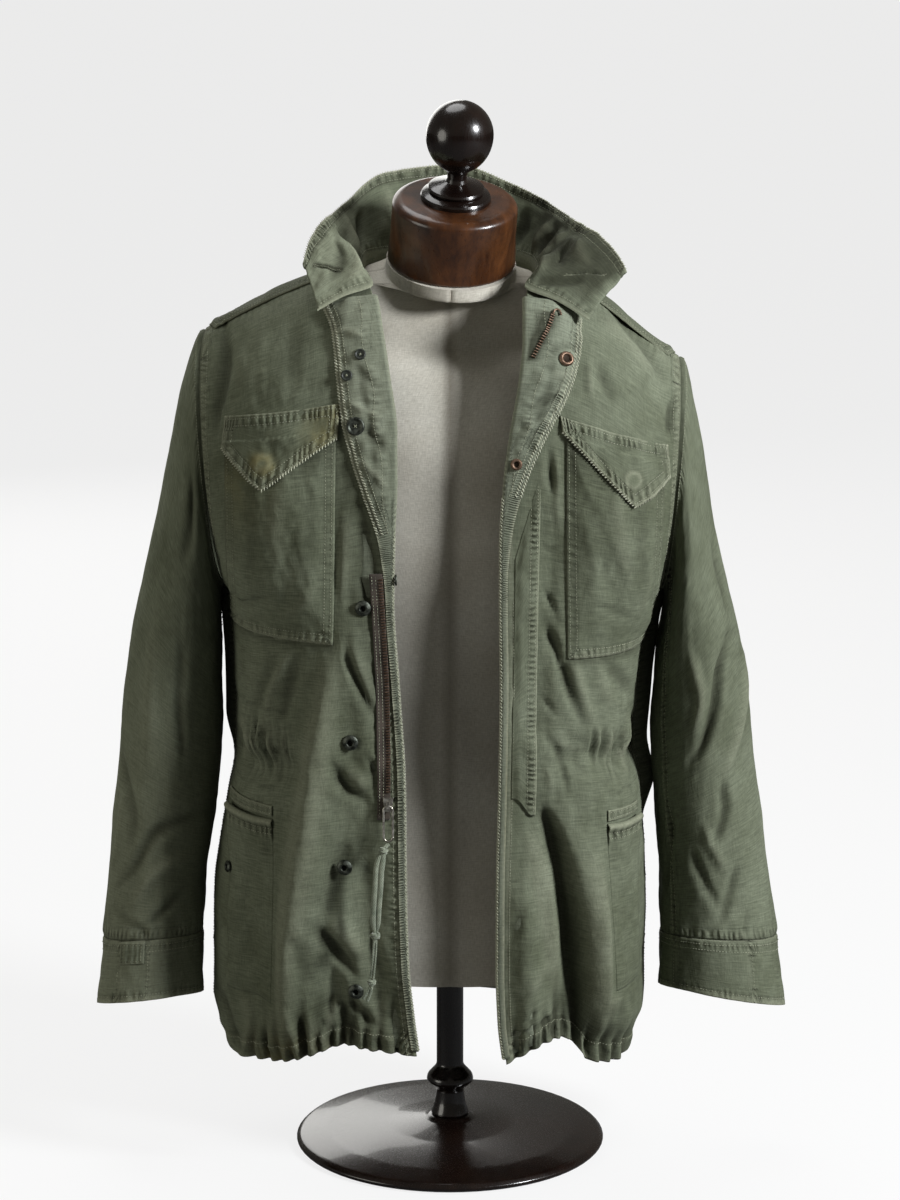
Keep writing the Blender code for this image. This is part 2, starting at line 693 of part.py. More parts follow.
def facing_section(side, level):
    """Points of a facing across the front edge: behind the front, round its edge, then over its face."""
    front = [f"front_{side}"]
    width = smooth_row(TURN_WIDTH[side], level)[0]
    edge = front_point(side, level, 0.0)
    row = (front_point(side, level, 0.2) - edge).length / 0.2
    loose = ease(0.008, 0.030, width)
    nose = NOSE + NOSE_LOOSE * loose
    normal = normal_of(front_base, side, level, 0.0, Vector((0, -1, 0.3)))
    points, outwards = [], []
    for share in (0.028, 0.014):
        point = front_point(side, level, share / row)
        points.append(seat(front, point, -normal, SEAT_GAP + FACING))
        outwards.append(-normal)
    middle = edge - normal * WALL / 2 + normal * 0.0012 * loose
    outward = (edge - front_point(side, level, 0.02)).normalized()
    for k in range(5):
        angle = -math.pi * 0.42 + math.pi * 0.84 * k / 4
        away = outward * math.cos(angle) + normal * math.sin(angle)
        points.append(middle + away * nose)
        outwards.append(away)
    for share in (0.30, 0.65, 1.0):
        reach = share * width / row
        point = front_point(side, level, reach)
        here = normal_of(front_base, side, level, reach, Vector((0, -1, 0.3)))
        points.append(seat(front, point, here, turn_lift(width, share)))
        outwards.append(here)
    return points, outwards


def turn_lift(width, share):
    """How far the face of a turned-back front stands off the front below it."""
    loose = ease(0.008, 0.030, width)
    arch = math.sin(math.pi * min(1.0, share + 0.05))
    return FACING + SEAT_GAP + (TURN_SLACK + TURN_ARCH * arch) * loose


def build_facing(side, collection):
    levels = [FACING_START] + [level for level in body_levels() if 0 < level < LEVEL_ROLL + 0.01]
    sections = [facing_section(side, level) for level in levels]
    rows = [section[0] for section in sections]
    outwards = [section[1] for section in sections]
    rows[-1] = [low.lerp(high, FACING_STOP) for low, high in zip(rows[-2], rows[-1])]
    lift_clear(rows, outwards, [f"front_{side}"], FACING + GAP, columns=(0, 1, 6, 7, 8))
    data = grid_mesh(f"facing_{side}", rows)
    edge_face = min(data.polygons, key=lambda face: (face.center - rows[2][-2]).length)
    if edge_face.normal.dot(Vector((0, -1, 0))) < 0:
        data.flip_normals()
    wall(f"facing_{side}", data, FACING, "facing", collection)


# --- Pieces that lie on the fronts -------------------------------------------------------------------------

def height_over(panels, point, outward):
    """Height of a point over the panels' facets, along outward."""
    start = point + outward * SEAT_REACH
    hits = [SURFACES[name].ray_cast(start, -outward, 2 * SEAT_REACH) for name in panels]
    reach = [hit[3] for hit in hits if hit[0]]
    return min(reach) - SEAT_REACH if reach else SEAT_REACH


def lift_clear(points, outwards, panels, clear, columns=None):
    """Raises the corners of a grid's cells, all or some columns, until no cell cuts the panels' facets."""
    columns = range(len(points[0]) - 1) if columns is None else columns
    samples = (
        (0.5, 0.0), (0.0, 0.5), (0.5, 0.5), (1.0, 0.5), (0.5, 1.0),
        (0.25, 0.25), (0.75, 0.75), (0.25, 0.75), (0.75, 0.25),
    )
    for _ in range(6):
        raises = {}
        for k in range(len(points) - 1):
            for i in columns:
                corners = ((k, i), (k, i + 1), (k + 1, i), (k + 1, i + 1))
                a, b, c, d = (points[row][column] for row, column in corners)
                outward = sum((outwards[row][column] for row, column in corners), Vector()).normalized()
                lack = 0.0
                for u, v in samples:
                    spot = a.lerp(b, u).lerp(c.lerp(d, u), v)
                    lack = max(lack, clear - height_over(panels, spot, outward))
                for corner in corners:
                    raises[corner] = max(raises.get(corner, 0.0), min(lack, 0.004))
        for (row, column), rise in raises.items():
            points[row][column] = points[row][column] + outwards[row][column] * rise


def patch(name, side, corners, columns, rows, lift, thickness, kind, collection, lower_edge=None, over=()):
    """A piece on a front between four corners (distance from the middle, height), from the top inner one.

    lift(u, v) is how far its back stands off the front, with u across and v down; lower_edge(u) lowers its
    foot; over names the pieces that it lies on besides the front.
    """
    panels = [f"front_{side}", *over]
    top_in, top_out, low_out, low_in = (Vector(corner) for corner in corners)
    points, outwards = [], []
    for k in range(rows + 1):
        v = k / rows
        line, normals = [], []
        for i in range(columns + 1):
            u = i / columns
            top = top_in.lerp(top_out, u)
            low = low_in.lerp(low_out, u)
            if lower_edge:
                low.y -= lower_edge(u)
            place = top.lerp(low, v)
            spot, normal = front_at(side, place.x, place.y, SEAT_GAP + lift(u, v), panels)
            line.append(spot)
            normals.append(normal)
        points.append(line)
        outwards.append(normals)
    lift_clear(points, outwards, panels, SEAT_GAP + GAP if over else GAP)
    data = grid_mesh(name, points)
    face_toward(data, Vector((0, -1, 0)))
    wall(name, data, thickness, kind, collection, offset=1.0)


def dome(u, v, height, rim):
    """A pocket's stand-off: flat at its rim and full inside."""
    across = min(u, 1 - u, v, 1 - v)
    return height * ease(0.0, rim, across)


CHEST_POCKET = {
    "right": ((0.103, 0.728), (0.2050, 0.712), (0.2060, 0.533), (0.106, 0.531)),
    "left": ((0.104, 0.724), (0.1960, 0.690), (0.1935, 0.512), (0.107, 0.516)),
}
CHEST_FLAP = {
    "right": ((0.099, 0.752), (0.2050, 0.734), (0.2070, 0.706), (0.101, 0.722)),
    "left": ((0.099, 0.741), (0.1995, 0.7055), (0.2005, 0.677), (0.101, 0.727)),
}
FLAP_POINT = 0.625       # how far across a flap its point lies
FLAP_DROP = 0.040        # how far the point hangs below the line between the flap's lower corners
HIP_BAND = {
    "right": ((0.164, 0.371), (0.2060, 0.371), (0.2060, 0.361), (0.164, 0.361)),
    "left": ((0.146, 0.366), (0.1750, 0.362), (0.1750, 0.353), (0.146, 0.355)),
}
HIP_POCKET = {
    "right": ((0.164, 0.3585), (0.2060, 0.3590), (0.2130, 0.180), (0.166, 0.180)),
    "left": ((0.146, 0.3530), (0.1750, 0.3510), (0.1770, 0.190), (0.150, 0.190)),
}
POCKET_FULL = 0.0075


def flap_foot(u):
    """How far a flap's foot hangs below the line between its lower corners."""
    return FLAP_DROP * (u / FLAP_POINT if u < FLAP_POINT else (1 - u) / (1 - FLAP_POINT))


def build_pockets(side, collection):
    patch(f"chest_pocket_{side}", side, CHEST_POCKET[side], 8, 9,
          lambda u, v: dome(u, v, POCKET_FULL, 0.13), POCKET, "cotton", collection)
    patch(f"chest_flap_{side}", side, CHEST_FLAP[side], 8, 5,
          lambda u, v: 0.0012 * v, POCKET, "cotton", collection, flap_foot, [f"chest_pocket_{side}"])
    patch(f"hip_band_{side}", side, HIP_BAND[side], 4, 2,
          lambda u, v: 0.0, POCKET, "cotton", collection)
    patch(f"hip_pocket_{side}", side, HIP_POCKET[side], 4, 8,
          lambda u, v: 0.004 * (1 - ease(0.0, 0.5, v)) * ease(0.0, 0.4, u), POCKET, "cotton", collection)


# Fly: distance from the middle and height of its corners, from the top inner one.
FLY_CORNERS = ((0.0590, 0.610), (0.0820, 0.690), (0.0790, 0.385), (0.0560, 0.385))
FLY_DROP = 0.017         # how far the outer end of the fly's foot hangs below its inner end


def build_fly(collection):
    """The strip of the left front that covers the zip, down to its stitched point."""
    patch("fly_placket_left", "left", FLY_CORNERS, 3, 14, lambda u, v: 0.0,
          POCKET, "cotton", collection, lambda u: FLY_DROP * ease(0.2, 0.9, u))


# Tab on the right cuff: rings from and to, turns from and to in degrees.
CUFF_TAB = (7.03, 7.38, 57.0, 86.0)


def build_cuff_tab(collection):
    first, last, start, end = CUFF_TAB
    points, outwards = [], []
    for k in range(4):
        ring = first + (last - first) * k / 3
        line, normals = [], []
        for i in range(4):
            turn = math.radians(start + (end - start) * i / 3)
            spot = sleeve_point("right", ring, turn)
            hub = sum((sleeve_point("right", ring, math.tau * j / 8) for j in range(8)), Vector()) / 8
            normal = (spot - hub).normalized()
            line.append(seat(["cuff_right"], spot, normal, SEAT_GAP))
            normals.append(normal)
        points.append(line)
        outwards.append(normals)
    lift_clear(points, outwards, ["cuff_right"], GAP)
    data = grid_mesh("cuff_tab_right", points)
    face_toward(data, Vector((-0.3, -1, 0)))
    wall("cuff_tab_right", data, POCKET, "cotton", collection, offset=1.0)


STRAP_START = 0.20       # share of the shoulder seam at which a strap starts
STRAP_STOP = 0.975       # share of the shoulder seam at which a strap's middle ends


def build_epaulette(side, collection):
    """The shoulder strap: it follows the ridge of the shoulder from the collar to the armhole."""
    panels = [f"front_{side}", "back"]
    rows, outwards = [], []
    step = 1 / (BODY_ROWS - 1)
    for k in range(-2, 3):
        across = k * step
        ends = 1 - 0.03 * abs(k)
        row, leans = [], []
        for i in range(9):
            along = STRAP_START + (STRAP_STOP * ends - STRAP_START) * i / 8
            lean = Vector((SIDES[side] * 0.35, 0.25 * k, 1.0)).normalized()
            row.append(seat(panels, shoulder_point(side, along, across), lean, SEAT_GAP))
            leans.append(lean)
        rows.append(row)
        outwards.append(leans)
    lift_clear(rows, outwards, panels, SEAT_GAP)
    data = grid_mesh(f"epaulette_{side}", rows)
    face_toward(data, Vector((0, 0, 1)))
    wall(f"epaulette_{side}", data, POCKET, "cotton", collection, offset=1.0)


# --- Fastenings --------------------------------------------------------------------------------------------

def rest_on(panels, origin, normal, radius):
    """Placement of a round piece on panels: +Z straight out, its foot just clear of the highest facet."""
    placement = along_axis(origin, normal)
    axis = placement.to_3x3() @ Vector((0, 0, 1))
    highest = -SEAT_REACH
    for k in range(25):
        turn = math.tau * k / 8
        off = Vector((math.cos(turn), math.sin(turn), 0)) * radius * (1.0, 0.66, 0.33, 0.0)[k // 8]
        start = placement @ off + axis * SEAT_REACH
        for name in panels:
            hit = SURFACES[name].ray_cast(start, -axis, 2 * SEAT_REACH)
            if hit[0]:
                highest = max(highest, SEAT_REACH - hit[3])
    return along_axis(origin + axis * (highest + SEAT_GAP), axis)


def on_front(side, out, z, radius):
    """Placement of a round piece on a front."""
    level, s = front_place(side, out, z)
    normal = normal_of(front_base, side, level, s, Vector((0, -1, 0.3)))
    return rest_on([f"front_{side}"], front_point(side, level, s), normal, radius)


STUD = ((0.0, 0.0012), (0.0022, 0.0012), (0.0026, 0.0030), (0.0040, 0.0030), (0.0072, 0.0016),
        (0.0074, 0.0), (0.0, 0.0))
RING = ((0.0, 0.0010), (0.0032, 0.0010), (0.0040, 0.0024), (0.0062, 0.0022), (0.0070, 0.0008),
        (0.0070, 0.0), (0.0, 0.0))
BUTTON = ((0.0, 0.0018), (0.0050, 0.0018), (0.0060, 0.0030), (0.0078, 0.0028), (0.0085, 0.0014),
          (0.0080, 0.0), (0.0, 0.0))


def scaled(profile, factor):
    return tuple((radius * factor, height * factor) for radius, height in profile)


def build_studs(collection):
    places = (
        ("stud_1", 0.079, 0.566),
        ("stud_2", 0.090, 0.441),
        ("stud_3", 0.097, 0.320),
        ("stud_4", 0.088, 0.196),
    )
    for name, out, z in places:
        turned(name, STUD, 12, "gunmetal", collection).matrix_world = on_front("right", out, z, STUD[-2][0])
    level, s = front_place("right", 0.2080, 0.300)
    normal = normal_of(front_base, "right", level, s, Vector((-0.3, -1, 0.1)))
    small = scaled(STUD, 0.75)
    thing = turned("stud_5", small, 12, "gunmetal", collection)
    thing.matrix_world = rest_on(["hip_pocket_right"], front_point("right", level, s), normal, small[-2][0])


def on_facing(side, level, share, radius):
    """Placement on the face of a turned-back facing, share of the way from the roll to its free edge."""
    width = smooth_row(TURN_WIDTH[side], level)[0]
    row = (front_point(side, level, 0.2) - front_point(side, level, 0.0)).length / 0.2
    point = front_point(side, level, share * width / row, 0.006)
    normal = normal_of(front_base, side, level, share * width / row, Vector((0, -1, 0.3)))
    return rest_on([f"facing_{side}"], point, normal, radius)


def build_facing_hardware(collection):
    pieces = (
        ("snap_ring_1", RING, 1.0, "copper", "left", 1.667, 0.72),
        ("snap_ring_2", RING, 0.78, "copper", "left", 1.370, 0.27),
        ("liner_button_1", BUTTON, 0.62, "button", "right", 1.655, 0.42),
        ("liner_button_2", BUTTON, 0.62, "button", "right", 1.615, 0.76),
        ("liner_button_3", BUTTON, 1.0, "gunmetal", "right", 1.475, 0.72),
    )
    for name, profile, factor, kind, side, level, share in pieces:
        thing = turned(name, scaled(profile, factor), 12, kind, collection)
        thing.matrix_world = on_facing(side, level, share, profile[-2][0] * factor)
    section, outwards = facing_section("right", 1.06)
    nose = 4
    thing = turned("liner_button_4", scaled(BUTTON, 0.62), 12, "gunmetal", collection)
    thing.matrix_world = rest_on(["facing_right"], section[nose], outwards[nose], 0.003)


# Zip: middle of the chain from the jacket's middle at a height.
CHAIN_LINE = ((0.36, 0.0570), (0.42, 0.0565), (0.48, 0.0572), (0.53, 0.0595), (0.60, 0.0635))
CHAIN_WIDTH = 0.0040
CHAIN_THICK = 0.0018
CHAIN_FOOT = 0.392       # the slider hides the chain below this height
# Chain on the left facing: level, how far across the facing its middle lies.
FACING_CHAIN = ((1.655, 0.10), (1.690, 0.21), (1.730, 0.33), (1.766, 0.40))
TAPE_WIDTH = 0.0120
TAPE_THICK = 0.0008
ZIP_TOP = 0.598
ZIP_FOOT = 0.366
SLIDER_Z = 0.381
SLIDER_SIZE = Vector((0.0095, 0.0125, 0.0040))
PULL_LENGTH = 0.034
PULL_WIDTH = 0.0085
PULL_WIRE = 0.0011


def strip_on_front(name, side, offset, width, top, foot, rows, lift, thickness, kind, collection):
    """A strip beside the chain line of the zip: offset is its inner edge from the line."""
    points, outwards = [], []
    for k in range(rows + 1):
        z = top + (foot - top) * k / rows
        line = smooth_row(CHAIN_LINE, z)[0]
        made = [front_at(side, line + offset + width * i / 2, z, lift) for i in range(3)]
        points.append([spot for spot, _ in made])
        outwards.append([normal for _, normal in made])
    lift_clear(points, outwards, [f"front_{side}"], lift - SEAT_GAP + GAP)
    data = grid_mesh(name, points)
    face_toward(data, Vector((0, -1, 0)))
    wall(name, data, thickness, kind, collection, offset=1.0)


def build_zip(collection):
    """Tape and chain on the right front, and the stretch of chain that shows on the left facing."""
    strip_on_front("zip_tape_right", "right", -CHAIN_WIDTH / 2, TAPE_WIDTH, ZIP_TOP, ZIP_FOOT, 14,
                   SEAT_GAP, TAPE_THICK, "tape", collection)
    strip_on_front("zip_chain_right", "right", -CHAIN_WIDTH / 2, CHAIN_WIDTH, ZIP_TOP - 0.004, CHAIN_FOOT, 14,
                   2 * SEAT_GAP + TAPE_THICK + GAP, CHAIN_THICK, "copper", collection)
    rows, outwards = [], []
    foot, top = FACING_CHAIN[0][0], FACING_CHAIN[-1][0]
    for i in range(8):
        level = foot + (top - foot) * i / 7
        middle = smooth_row(FACING_CHAIN, level)[0]
        placements = [on_facing("left", level, middle + off, 0.002) for off in (-0.035, 0.035)]
        rows.append([placement.translation for placement in placements])
        outwards.append([placement.to_3x3() @ Vector((0, 0, 1)) for placement in placements])
    lift_clear(rows, outwards, ["facing_left"], GAP)
    data = grid_mesh("zip_chain_left", rows)
    face_toward(data, Vector((0, -1, 0)))
    wall("zip_chain_left", data, CHAIN_THICK, "copper", collection, offset=1.0)


def slider_placement():
    level, s = front_place("right", smooth_row(CHAIN_LINE, SLIDER_Z)[0], SLIDER_Z)
    normal = normal_of(front_base, "right", level, s, Vector((0, -1, 0.3)))
    return rest_on(["zip_tape_right", "front_right"], front_point("right", level, s), normal, 0.0062)


def build_slider(collection):
    """Slider body: a bevelled block that narrows to its foot."""
    bpy.ops.mesh.primitive_cube_add(size=1.0)
    body = bpy.context.object
    body.name = "zip_slider"
    body.data.name = "zip_slider"
    for owner in list(body.users_collection):
        owner.objects.unlink(body)
    collection.objects.link(body)
    body.data.transform(Matrix.Diagonal((*SLIDER_SIZE, 1.0)) @ Matrix.Translation((0, 0, 0.5)))
    shaped = bmesh.new()
    shaped.from_mesh(body.data)
    for vert in shaped.verts:
        if vert.co.y < 0:
            vert.co.x *= 0.72
    bmesh.ops.bevel(shaped, geom=shaped.edges[:], offset=0.0007, segments=1, affect="EDGES")
    shaped.to_mesh(body.data)
    shaped.free()
    body.data.materials.append(material("steel", *MATERIALS["steel"]))
    body.matrix_world = slider_placement()


def pull_axis():
    """Middle of the pull's hinge: just above the slider's face."""
    return slider_placement() @ Vector((0, 0.0, SLIDER_SIZE.z + GAP + PULL_WIRE))


def build_pull(collection):
    """A closed wire loop that hangs down from its hinge, clear of the cloth."""
    hinge = pull_axis()
    loop = bpy.data.curves.new("zip_pull", "CURVE")
    loop.dimensions = "3D"
    spline = loop.splines.new("POLY")
    count = 20
    spline.points.add(count - 1)
    half = PULL_WIDTH / 2
    straight = PULL_LENGTH - PULL_WIDTH
    for i in range(count):
        angle = math.tau * i / count
        x = half * math.cos(angle)
        z = half * math.sin(angle)
        z = z if z > 0 else z - straight
        spline.points[i].co = (x, 0.0, z - half, 1.0)
    spline.use_cyclic_u = True
    loop.bevel_depth = PULL_WIRE
    loop.bevel_resolution = 1
    thing = bpy.data.objects.new("zip_pull", loop)
    loop.materials.append(material("steel", *MATERIALS["steel"]))
    collection.objects.link(thing)
    thing.location = hinge
    return thing


# Pull cord: x, y, z of the route's own points, from the pull to the free end.
CORD_ROUTE = (
    (-0.0568, -0.1585, 0.3450),
    (-0.0610, -0.1610, 0.3400),
    (-0.0650, -0.1635, 0.3250),
    (-0.0665, -0.1648, 0.3050),
    (-0.0685, -0.1650, 0.2800),
    (-0.0690, -0.1645, 0.2600),
    (-0.0700, -0.1635, 0.2400),
    (-0.0718, -0.1625, 0.2220),
    (-0.0735, -0.1615, 0.2080),
    (-0.0790, -0.1605, 0.1960),
)
# Knots on the cord: name, share of its length, radius of the bead.
CORD_KNOTS = (
    ("cord_knot_top", 0.050, 0.0042),
    ("cord_knot_middle", 0.580, 0.0046),
    ("cord_knot_end", 0.880, 0.0040),
)
CORD_RADIUS = 0.0013


def cord_points(step):
    """Points along a smooth curve through the route, about step apart."""
    route = [Vector(point) for point in CORD_ROUTE]
    made = []
    for k in range(len(route) - 1):
        before = route[max(0, k - 1)]
        after = route[min(len(route) - 1, k + 2)]
        a, b = route[k], route[k + 1]
        ta, tb = (b - before) / 2, (after - a) / 2
        pieces = max(1, round((b - a).length / step))
        for i in range(pieces):
            u = i / pieces
            made.append(
                a * (1 + 2 * u) * (1 - u) ** 2 + ta * u * (1 - u) ** 2
                + b * u * u * (3 - 2 * u) - tb * u * u * (1 - u)
            )
    made.append(route[-1])
    return made


def build_cord(collection):
    data = bpy.data.curves.new("pull_cord", "CURVE")
    data.dimensions = "3D"
    spline = data.splines.new("POLY")
    points = cord_points(3 * CORD_RADIUS * 2)
    spline.points.add(len(points) - 1)
    for spot, point in zip(spline.points, points):
        spot.co = (*point, 1.0)
    data.bevel_depth = CORD_RADIUS
    data.bevel_resolution = 2
    data.use_fill_caps = True
    data.materials.append(material("cord", *MATERIALS["cord"]))
    thing = bpy.data.objects.new("pull_cord", data)
    collection.objects.link(thing)

    for name, share, radius in CORD_KNOTS:
        k = min(len(points) - 2, max(1, round(share * (len(points) - 1))))
        hole = CORD_RADIUS + GAP
        wire = (radius - hole) / 2
        bpy.ops.mesh.primitive_torus_add(major_radius=hole + wire, minor_radius=wire, major_segments=12,
                                         minor_segments=6)
        knot = bpy.context.object
        knot.name = name
        for owner in list(knot.users_collection):
            owner.objects.unlink(knot)
        collection.objects.link(knot)
        knot.data.materials.append(material("cord", *MATERIALS["cord"]))
        knot.matrix_world = along_axis(points[k], points[k + 1] - points[k - 1])


# --- Dress form --------------------------------------------------------------------------------------------

def ridge_width(side, z):
    """Distance from the middle at which the inside of the shoulder lies just above a height."""
    low, high = 0.0, 1.0
    for _ in range(30):
        middle = (low + high) / 2
        if front_base(side, 2.0, middle).z - WALL - FORM_CLEAR > z:
            low = middle
        else:
            high = middle
    return min(SHOULDER_WIDTH, abs(front_base(side, 2.0, low).x))


def torso_ring(z, right, left, front, back, squareness, columns):
    points = []
    for i in range(columns):
        angle = math.tau * i / columns
        c, s = math.cos(angle), math.sin(angle)
        power = 2 / squareness
        x = math.copysign(abs(c) ** power, c) * (left if c > 0 else right)
        y = math.copysign(abs(s) ** power, s) * (back if s > 0 else -front)
        points.append(Vector((x, y, z)))
    return points


def cap_placement():
    axis = Vector((math.sin(CAP_LEAN), -math.sin(CAP_FORWARD), math.cos(CAP_FORWARD))).normalized()
    return along_axis(CAP_TOP, axis), axis


def build_torso(collection):
    columns = 26
    rings = [torso_ring(*row, columns) for row in TORSO]
    for z in TORSO_RIDGE_LEVELS:
        share = (z - 0.770) / (0.860 - 0.770)
        depth = 0.068 - 0.026 * share
        rings.append(torso_ring(z, ridge_width("right", z), ridge_width("left", z), -depth, depth * 0.9,
                                2.0, columns))
    placement, axis = cap_placement()
    top = placement.translation - axis * (CAP_HEIGHT + GAP)
    for drop, radius in ((0.012, NECK_RADIUS + 0.001), (0.0, NECK_RADIUS)):
        ring = []
        for i in range(columns):
            angle = math.tau * i / columns
            flat = Vector((math.cos(angle), math.sin(angle), 0)) * radius
            flat.z = -(axis.x * flat.x + axis.y * flat.y) / axis.z
            ring.append(top - axis * drop + flat)
        rings.append(ring)
    mesh = bmesh.new()
    made = [[mesh.verts.new(point) for point in ring] for ring in rings]
    for lower, upper in zip(made, made[1:]):
        for i in range(columns):
            j = (i + 1) % columns
            mesh.faces.new((lower[i], lower[j], upper[j], upper[i]))
    mesh.faces.new(list(reversed(made[0])))
    mesh.faces.new(made[-1])
    data = bpy.data.meshes.new("form_torso")
    bmesh.ops.recalc_face_normals(mesh, faces=mesh.faces)
    mesh.to_mesh(data)
    mesh.free()
    add_object("form_torso", data, "linen", collection)
    data.shade_smooth()


def build_cap(collection):
    placement, axis = cap_placement()
    rim = 0.004
    profile = [(0.0, 0.0), (CAP_RADIUS - rim, 0.0), (CAP_RADIUS, -rim), (CAP_RADIUS, -CAP_HEIGHT * 0.55),
               (CAP_RADIUS + 0.0015, -CAP_HEIGHT), (0.0, -CAP_HEIGHT)]
    cap = turned("neck_cap", profile, 32, "burl", collection)
    cap.matrix_world = placement

    steps = 9
    ball = FINIAL_RADIUS
    profile = [(0.0, 0.096)]
    for i in range(1, steps):
        angle = math.pi * i / steps * 0.86
        stretch = 0.032 if angle < math.pi / 2 else 0.036
        profile.append((ball * math.sin(angle), 0.064 + stretch * math.cos(angle)))
    profile += [(0.0095, 0.028), (0.0090, 0.022), (0.0120, 0.017), (0.0250, 0.0135), (0.0265, 0.0105),
                (0.0250, 0.0085), (0.0310, 0.0060), (0.0325, 0.0030), (0.0325, GAP), (0.0, GAP)]
    finial = turned("finial", profile, 18, "ebony", collection)
    finial.matrix_world = along_axis(CAP_TOP, axis)


def build_stand(collection):
    bottom = TORSO[0][0]
    height = STAND_BASE_HEIGHT
    profile = [(0.0, height), (0.020, height), (0.024, height - 0.003), (0.060, height - 0.008),
               (0.120, height - 0.013), (STAND_BASE_RADIUS - 0.004, height - 0.017),
               (STAND_BASE_RADIUS, height - 0.021), (STAND_BASE_RADIUS, 0.003),
               (STAND_BASE_RADIUS - 0.003, 0.0), (0.0, 0.0)]
    turned("stand_base", profile, 32, "ebony", collection)
    pole = STAND_POLE_RADIUS
    top = bottom - GAP
    foot = height + GAP
    profile = [(0.0, top), (0.034, top), (0.036, top - 0.004), (0.030, top - 0.009), (pole, top - 0.016),
               (pole, foot + 0.050), (pole + 0.009, foot + 0.040), (pole + 0.010, foot + 0.034),
               (pole, foot + 0.026), (pole + 0.002, foot + 0.012), (pole + 0.006, foot), (0.0, foot)]
    turned("stand_pole", profile, 16, "ebony", collection)


def main():
    for thing in list(bpy.data.objects):
        bpy.data.objects.remove(thing, do_unlink=True)
    collection = new_collection("field_jacket")
    build_torso(collection)
    build_cap(collection)
    build_stand(collection)
    build_back(collection)
    for side in SIDES:
        build_front(side, collection)
    for side in SIDES:
        build_sleeve(side, collection)
        build_facing(side, collection)
        build_pockets(side, collection)
        build_epaulette(side, collection)
    build_collar(collection)
    build_fly(collection)
    build_cuff_tab(collection)
    build_studs(collection)
    build_facing_hardware(collection)
    build_zip(collection)
    build_slider(collection)
    build_pull(collection)
    build_cord(collection)


main()
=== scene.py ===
"""Field jacket on a dress form: cloth, seams, fastenings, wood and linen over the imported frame.

Metres, +Z up. The jacket's front faces -Y, and "right" and "left" are the wearer's, so the right side lies
at -X. The shell is lofted from rows: a row runs from the front edge or the centre back round to the side
seam or the armhole, and its level says how far up it lies: 0 at the hem, 1 at the armpit, 2 at the
shoulder seam. Each cloth piece is a fine grid laid on that shell, with its creases modelled into it.
"""
import math

import bpy
import numpy as np
from bpy.props import FloatProperty, FloatVectorProperty, IntProperty, PointerProperty
from mathutils import Matrix, Vector


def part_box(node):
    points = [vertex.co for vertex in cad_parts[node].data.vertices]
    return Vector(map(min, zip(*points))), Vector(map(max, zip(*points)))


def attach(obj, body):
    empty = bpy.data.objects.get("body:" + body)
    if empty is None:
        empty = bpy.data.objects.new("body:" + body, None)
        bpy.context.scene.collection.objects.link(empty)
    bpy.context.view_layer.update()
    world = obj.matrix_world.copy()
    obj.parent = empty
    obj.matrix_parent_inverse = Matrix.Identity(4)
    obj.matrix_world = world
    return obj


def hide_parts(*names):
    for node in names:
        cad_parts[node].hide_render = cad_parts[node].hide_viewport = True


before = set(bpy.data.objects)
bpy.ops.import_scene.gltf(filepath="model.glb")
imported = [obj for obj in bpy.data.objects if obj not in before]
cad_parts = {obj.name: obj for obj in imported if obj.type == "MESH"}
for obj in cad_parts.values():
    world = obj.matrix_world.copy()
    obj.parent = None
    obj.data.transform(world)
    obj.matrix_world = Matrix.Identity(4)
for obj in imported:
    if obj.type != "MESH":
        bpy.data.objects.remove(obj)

bl_info = {
    "name": "Field Jacket",
    "version": (1, 0, 0),
    "blender": (4, 5, 0),
    "location": "View3D > Sidebar > Field Jacket",
    "description": "Dresses the packed frame of a field jacket on a dress form with cloth, seams and fastenings",
    "category": "Object",
}

# Driving dimensions.
WALL = 0.002             # shell cloth with its seam allowances
FACING = 0.0015          # facing cloth
POCKET = 0.0012          # pocket and flap cloth
GAP = 0.0003             # clearance between touching pieces
SEAM_GAP = 0.0006        # clearance where two walls meet at an angle
SEAT_GAP = 0.0006        # clearance of a piece over the facets of the panel that it lies on
LEVEL_ROLL = 1.8333      # where the roll line of a front meets the neckline
LEVEL_BACK_NECK = 1.75

SIDES = {"right": -1.0, "left": 1.0}

# Front edge, then roll line, then neckline, of each front: level, distance from the middle, y, z.
FRONT_EDGE = {
    "right": (
        (0.0, 0.031, -0.138, 0.132), (0.08, 0.036, -0.141, 0.17), (0.2, 0.041, -0.145, 0.222),
        (0.35, 0.043, -0.148, 0.288), (0.6, 0.044, -0.15, 0.4), (0.8, 0.049, -0.151, 0.49),
        (1.0, 0.054, -0.151, 0.572), (1.15, 0.053, -0.15, 0.62), (1.3, 0.052, -0.149, 0.675),
        (1.45, 0.052, -0.146, 0.728), (1.6, 0.058, -0.138, 0.775), (1.7, 0.064, -0.122, 0.812),
        (LEVEL_ROLL, 0.072, -0.088, 0.85), (1.92, 0.083, -0.035, 0.862), (2.0, 0.081, 0.005, 0.865),
    ),
    "left": (
        (0.0, 0.053, -0.138, 0.124), (0.08, 0.048, -0.141, 0.165), (0.2, 0.046, -0.145, 0.22),
        (0.35, 0.046, -0.148, 0.288), (0.6, 0.048, -0.15, 0.4), (0.8, 0.049, -0.151, 0.49),
        (1.0, 0.048, -0.151, 0.572), (1.15, 0.048, -0.15, 0.62), (1.3, 0.051, -0.149, 0.675),
        (1.45, 0.058, -0.146, 0.725), (1.6, 0.066, -0.137, 0.77), (1.7, 0.07, -0.12, 0.808),
        (LEVEL_ROLL, 0.07, -0.088, 0.848), (1.92, 0.081, -0.035, 0.858), (2.0, 0.079, 0.005, 0.86),
    ),
}
